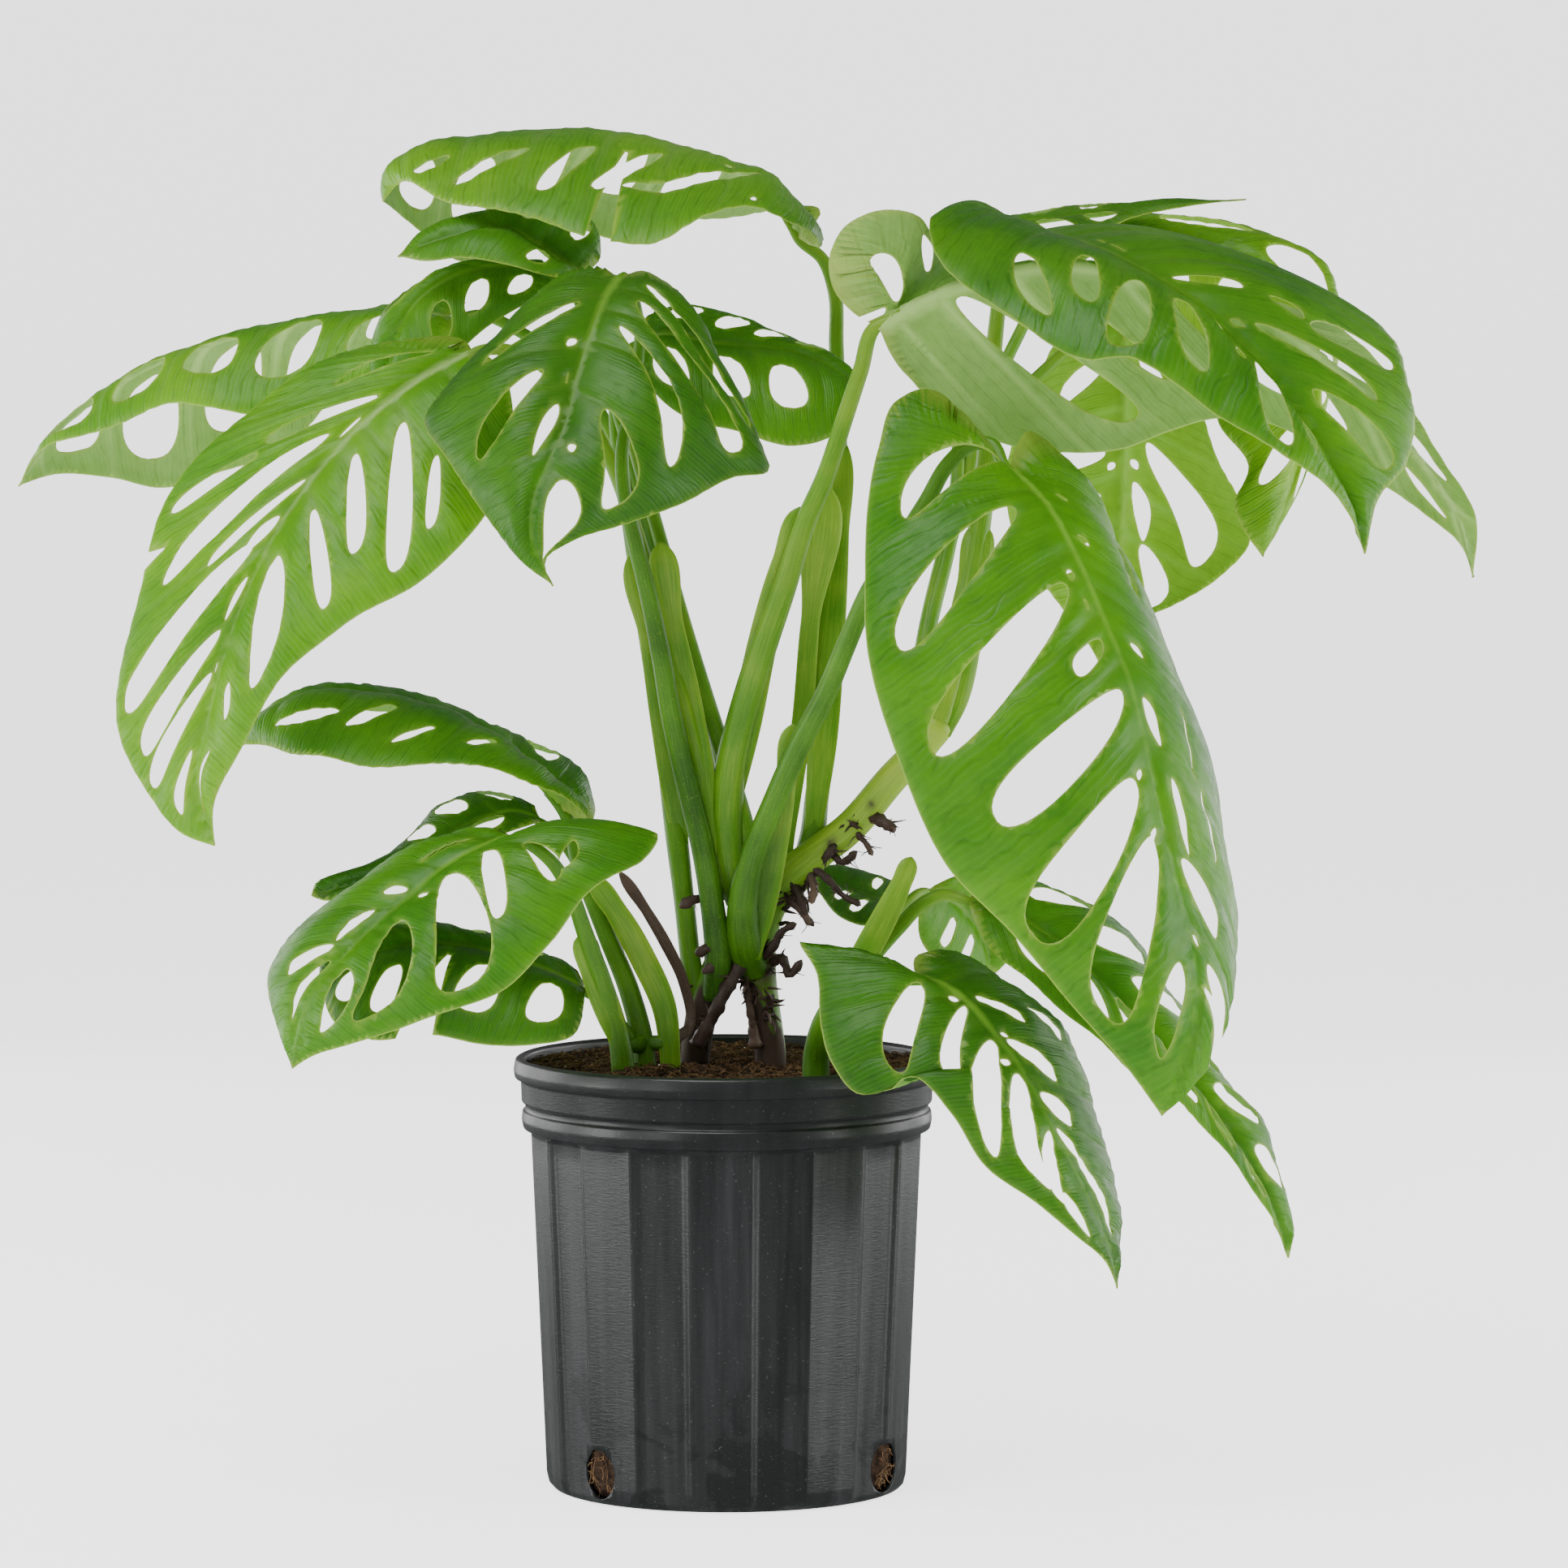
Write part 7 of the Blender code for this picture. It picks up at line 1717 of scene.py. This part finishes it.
pot = add_piece("pot_wall", *turned(profile, POT_COLUMNS), pot_finish)
for angle in DRAIN_HOLES:
    plug = add_piece("drain_plug", *drain_plug(angle), pot_finish)
    cut = pot.modifiers.new("drain", "BOOLEAN")
    cut.operation, cut.solver, cut.object = "DIFFERENCE", "EXACT", plug
    shown = bpy.context.evaluated_depsgraph_get()
    done = bpy.data.meshes.new_from_object(pot.evaluated_get(shown))
    pot.modifiers.clear()
    pot.data = done
    bpy.data.objects.remove(plug)
pot.data.name = "pot_wall"
settle(pot, "pot", "pot")
print("pot faces:", len(pot.data.polygons))

# %% [markdown]
# Potting soil here is dark peat with coir: crumbs, a felt of tan fibres, chips of bark and
# a few white grains of perlite. The surface is a heap with small lumps; the loose bits lie
# on it, scattered by a seeded draw, and each kind is one object so that the count of pieces
# stays low. A plug of the same soil fills the can and shows through the drain holes.

# %% Soil materials
EARTHS = {                   # dark colour, light colour, scale of the lumps
    "peat": ((0.009, 0.005, 0.0035), (0.050, 0.028, 0.015), 260.0),
    "coir": ((0.045, 0.024, 0.011), (0.24, 0.14, 0.065), 120.0),
    "bark": ((0.035, 0.020, 0.013), (0.15, 0.085, 0.05), 300.0),
    "perlite": ((0.55, 0.54, 0.50), (0.80, 0.79, 0.76), 500.0),
}
earth = {}
for name, (dark, light, scale) in EARTHS.items():
    mat, tree, shader = start_material("soil_" + name, Roughness=0.95, Specular_IOR_Level=0.15)
    lumps = noise(tree, put(tree, "TexCoord").outputs["Object"], scale, 5.0, 0.7)
    colour = blend_colour(tree, spread(tree, lumps, 0.35, 0.68), dark, light)
    dress(tree, shader, colour, None, lumps, 0.8, 0.002)
    earth[name] = mat
print("soil materials:", ", ".join(earth))


# %% [markdown]
# The soil's body is one closed shape: rings of points over the heap, then down beside the
# pot's wall to its foot, a hair short of the plastic. Its lumps are sums of waves in
# several sizes, which need no picture and come out the same on every run.

# %% The body of soil
SOIL_TOP_RADIUS, SOIL_LEVEL = 116.0, 244.5
SOIL_EDGE, SOIL_RINGS, SOIL_COLUMNS = 115.4, 70, 300
SOIL_WALL = [(114.2, 234, 0), (110.6, 207, 0), (110.3, 204, 1), (102.7, 24, 1), (101.9, 11, 1),
             (98.0, 4, 0.6)]


def heap(x, y):
    """how far the soil stands above its level at a spot"""
    far = np.hypot(x, y) / SOIL_TOP_RADIUS
    bumps = np.sin(x / 23 + 1.0) * np.cos(y / 19 - 0.6) + 0.6 * np.sin((x - y) / 13)
    rise = 3.2 * np.exp(-((x + 45) ** 2 + (y + 30) ** 2) / 900) - 2.6 * np.exp(-(x - 60) ** 2 / 1200)
    return (bumps + rise) * np.clip(1 - far ** 6, 0, 1)


def crumbs(x, y):
    """small lumps on top of the heap"""
    out = 0
    rng = np.random.default_rng(5)
    for size, tall in ((9.0, 0.9), (5.0, 0.7), (2.8, 0.5), (1.7, 0.35)):
        for _ in range(3):
            turn, a, b = rng.uniform(0, 6.28), rng.uniform(0, 6.28), rng.uniform(0, 6.28)
            u, v = x * np.cos(turn) + y * np.sin(turn), y * np.cos(turn) - x * np.sin(turn)
            out = out + tall * np.sin(u / size * 2 + a) * np.sin(v / size * 2 + b) / 1.6
    return out


def soil_body():
    """the peat's top, its upper wall and its plug down to the drain holes"""
    many = SOIL_COLUMNS
    rad = 2 * np.pi * np.arange(many) / many
    points = [(0, 0, SOIL_LEVEL + heap(0, 0))]
    for radius in np.linspace(0, SOIL_EDGE, SOIL_RINGS)[1:]:
        x, y = radius * np.sin(rad), -radius * np.cos(rad)
        points += list(zip(x, y, SOIL_LEVEL - 0.6 + heap(x, y) + crumbs(x, y)))
    for radius, height, share in SOIL_WALL:
        r = wall_radius(radius, np.degrees(rad), share)
        points += list(zip(r * np.sin(rad), -r * np.cos(rad), np.full(many, height)))
    rings = SOIL_RINGS - 1 + len(SOIL_WALL)
    faces = [(0, 1 + k, 1 + (k + 1) % many) for k in range(many)]
    faces += [(a, d, c, b) for a, b, c, d in ring_faces(rings, many, 1)]
    return points, faces + [tuple(range(len(points) - many, len(points)))[::-1]]


soil = settle(add_piece("soil_peat", *soil_body(), earth["peat"]), "soil", "soil")
print("soil faces:", len(soil.data.polygons))


# %% [markdown]
# Fibres are thin bent tubes that follow the lumps beneath them. Chips and grains are one
# many-sided ball, roughened, squashed and turned a new way each time. A fixed seed makes
# them look sown at random, and yet they lie in the same places on every run.

# %% Fibres and chips on the soil
LESS = 1
FIBRE_SIDES, FIBRE_POINTS = 4, 7


def scatter(rng, count, reach):
    """random spots on the soil, with their height"""
    r = reach * np.sqrt(rng.random(count))
    a = rng.uniform(0, 2 * np.pi, count)
    x, y = r * np.sin(a), -r * np.cos(a)
    return zip(x, y, SOIL_LEVEL - 0.4 + heap(x, y) + crumbs(x, y))


def thread(points, radius):
    """a thin bent fibre as a small closed tube"""
    p = np.array(points, float)
    way = unit(np.gradient(p, axis=0))
    wide = unit(np.cross(way, np.array([0.3, 0.2, 1.0])))
    deep = np.cross(wide, way)
    a = 2 * np.pi * np.arange(FIBRE_SIDES) / FIBRE_SIDES
    rings = [at + radius * (np.cos(a)[:, None] * w + np.sin(a)[:, None] * d)
             for at, w, d in zip(p, wide, deep)]
    return np.concatenate(rings), tube_faces(len(p), FIBRE_SIDES)


def coir_fibres(count, rng):
    out = []
    for x, y, _ in scatter(rng, count, 114.0):
        turn, bend, size = rng.uniform(0, 6.28), rng.normal() * 0.9, rng.uniform(4, 17)
        t = np.linspace(-0.5, 0.5, FIBRE_POINTS)
        head = turn + bend * t * 2
        px = x + size * t * np.cos(head)
        py = y + size * t * np.sin(head)
        keep = np.minimum(1, 115.6 / np.maximum(np.hypot(px, py), 1))
        px, py = px * keep, py * keep
        pz = SOIL_LEVEL + heap(px, py) + crumbs(px, py) + 0.3 + rng.uniform(0, 1.8) * np.cos(t * 3)
        out.append(thread(np.stack([px, py, pz], 1), rng.uniform(0.16, 0.36)))
    return out


def chips(count, rng, small, large, thin):
    """irregular chips of bark or grains of perlite, as squashed many-sided lumps"""
    ball = bmesh.new()
    bmesh.ops.create_icosphere(ball, subdivisions=1, radius=1.0)
    shape = np.array([v.co[:] for v in ball.verts])
    sides = [tuple(v.index for v in f.verts) for f in ball.faces]
    ball.free()
    out = []
    for at in scatter(rng, count, 113.0):
        size = rng.uniform(small, large)
        lump = shape * (1 + 0.28 * rng.normal(size=(len(shape), 1))) * (1, rng.uniform(0.45, 0.9), thin)
        a, b = rng.uniform(0, 6.28), rng.normal() * 0.35
        turn = np.array([[np.cos(a), -np.sin(a), 0], [np.sin(a), np.cos(a), 0], [0, 0, 1]])
        tilt = np.array([[1, 0, 0], [0, np.cos(b), -np.sin(b)], [0, np.sin(b), np.cos(b)]])
        out.append((lump * size @ tilt.T @ turn.T + np.array(at) + (0, 0, 0.3 * size * thin), sides))
    return out


def gather(name, parts, finish):
    """many small shapes as one object that belongs to the soil"""
    return settle(add_piece(name, *joined(parts), finish), "soil", "soil")


rng = np.random.default_rng(23)
fibres = gather("soil_coir", coir_fibres(1500 // LESS, rng), earth["coir"])
gather("soil_bark", chips(520 // LESS, rng, 0.9, 3.6, 0.45), earth["bark"])
gather("soil_perlite", chips(34, rng, 0.5, 1.2, 0.8), earth["perlite"])
print("faces of the fibres:", len(fibres.data.polygons))

# %% [markdown]
# Roots and fibres have grown against the drain holes, so each hole shows a tangle of tan
# threads in dark peat, set just inside the wall.

# %% Tangle behind the drain holes
TANGLE_RADIUS, TANGLE_WIDE, TANGLE_TALL, TANGLE_HEIGHT = 102.0, 11.8, 13.2, 17.6      # mm


def drain_tangle(rng):
    out = []
    for angle in DRAIN_HOLES:
        face, across = out_and_across(angle)
        for _ in range(20 // LESS):
            u, v = rng.uniform(-9, 9), rng.uniform(-11, 11)
            turn, size, bend = rng.uniform(0, 6.28), rng.uniform(5, 15), rng.normal()
            t = np.linspace(-0.5, 0.5, FIBRE_POINTS)
            u = u + size * t * np.cos(turn + bend * t * 2)
            v = v + size * t * np.sin(turn + bend * t * 2)
            over = np.maximum(np.hypot(u / TANGLE_WIDE, v / TANGLE_TALL), 1)
            deep = TANGLE_RADIUS + rng.uniform(-0.4, 0.9) + 0.4 * np.sin(t * 5 + turn)
            line = (face * deep[:, None] + across * (u / over)[:, None]
                    + np.array([0, 0, 1.0]) * (TANGLE_HEIGHT + v / over)[:, None])
            out.append(thread(line, rng.uniform(0.12, 0.26)))
    return out


tangle = gather("drain_fibres", drain_tangle(rng), earth["coir"])
print("faces of the fibres in four drain holes:", len(tangle.data.polygons))
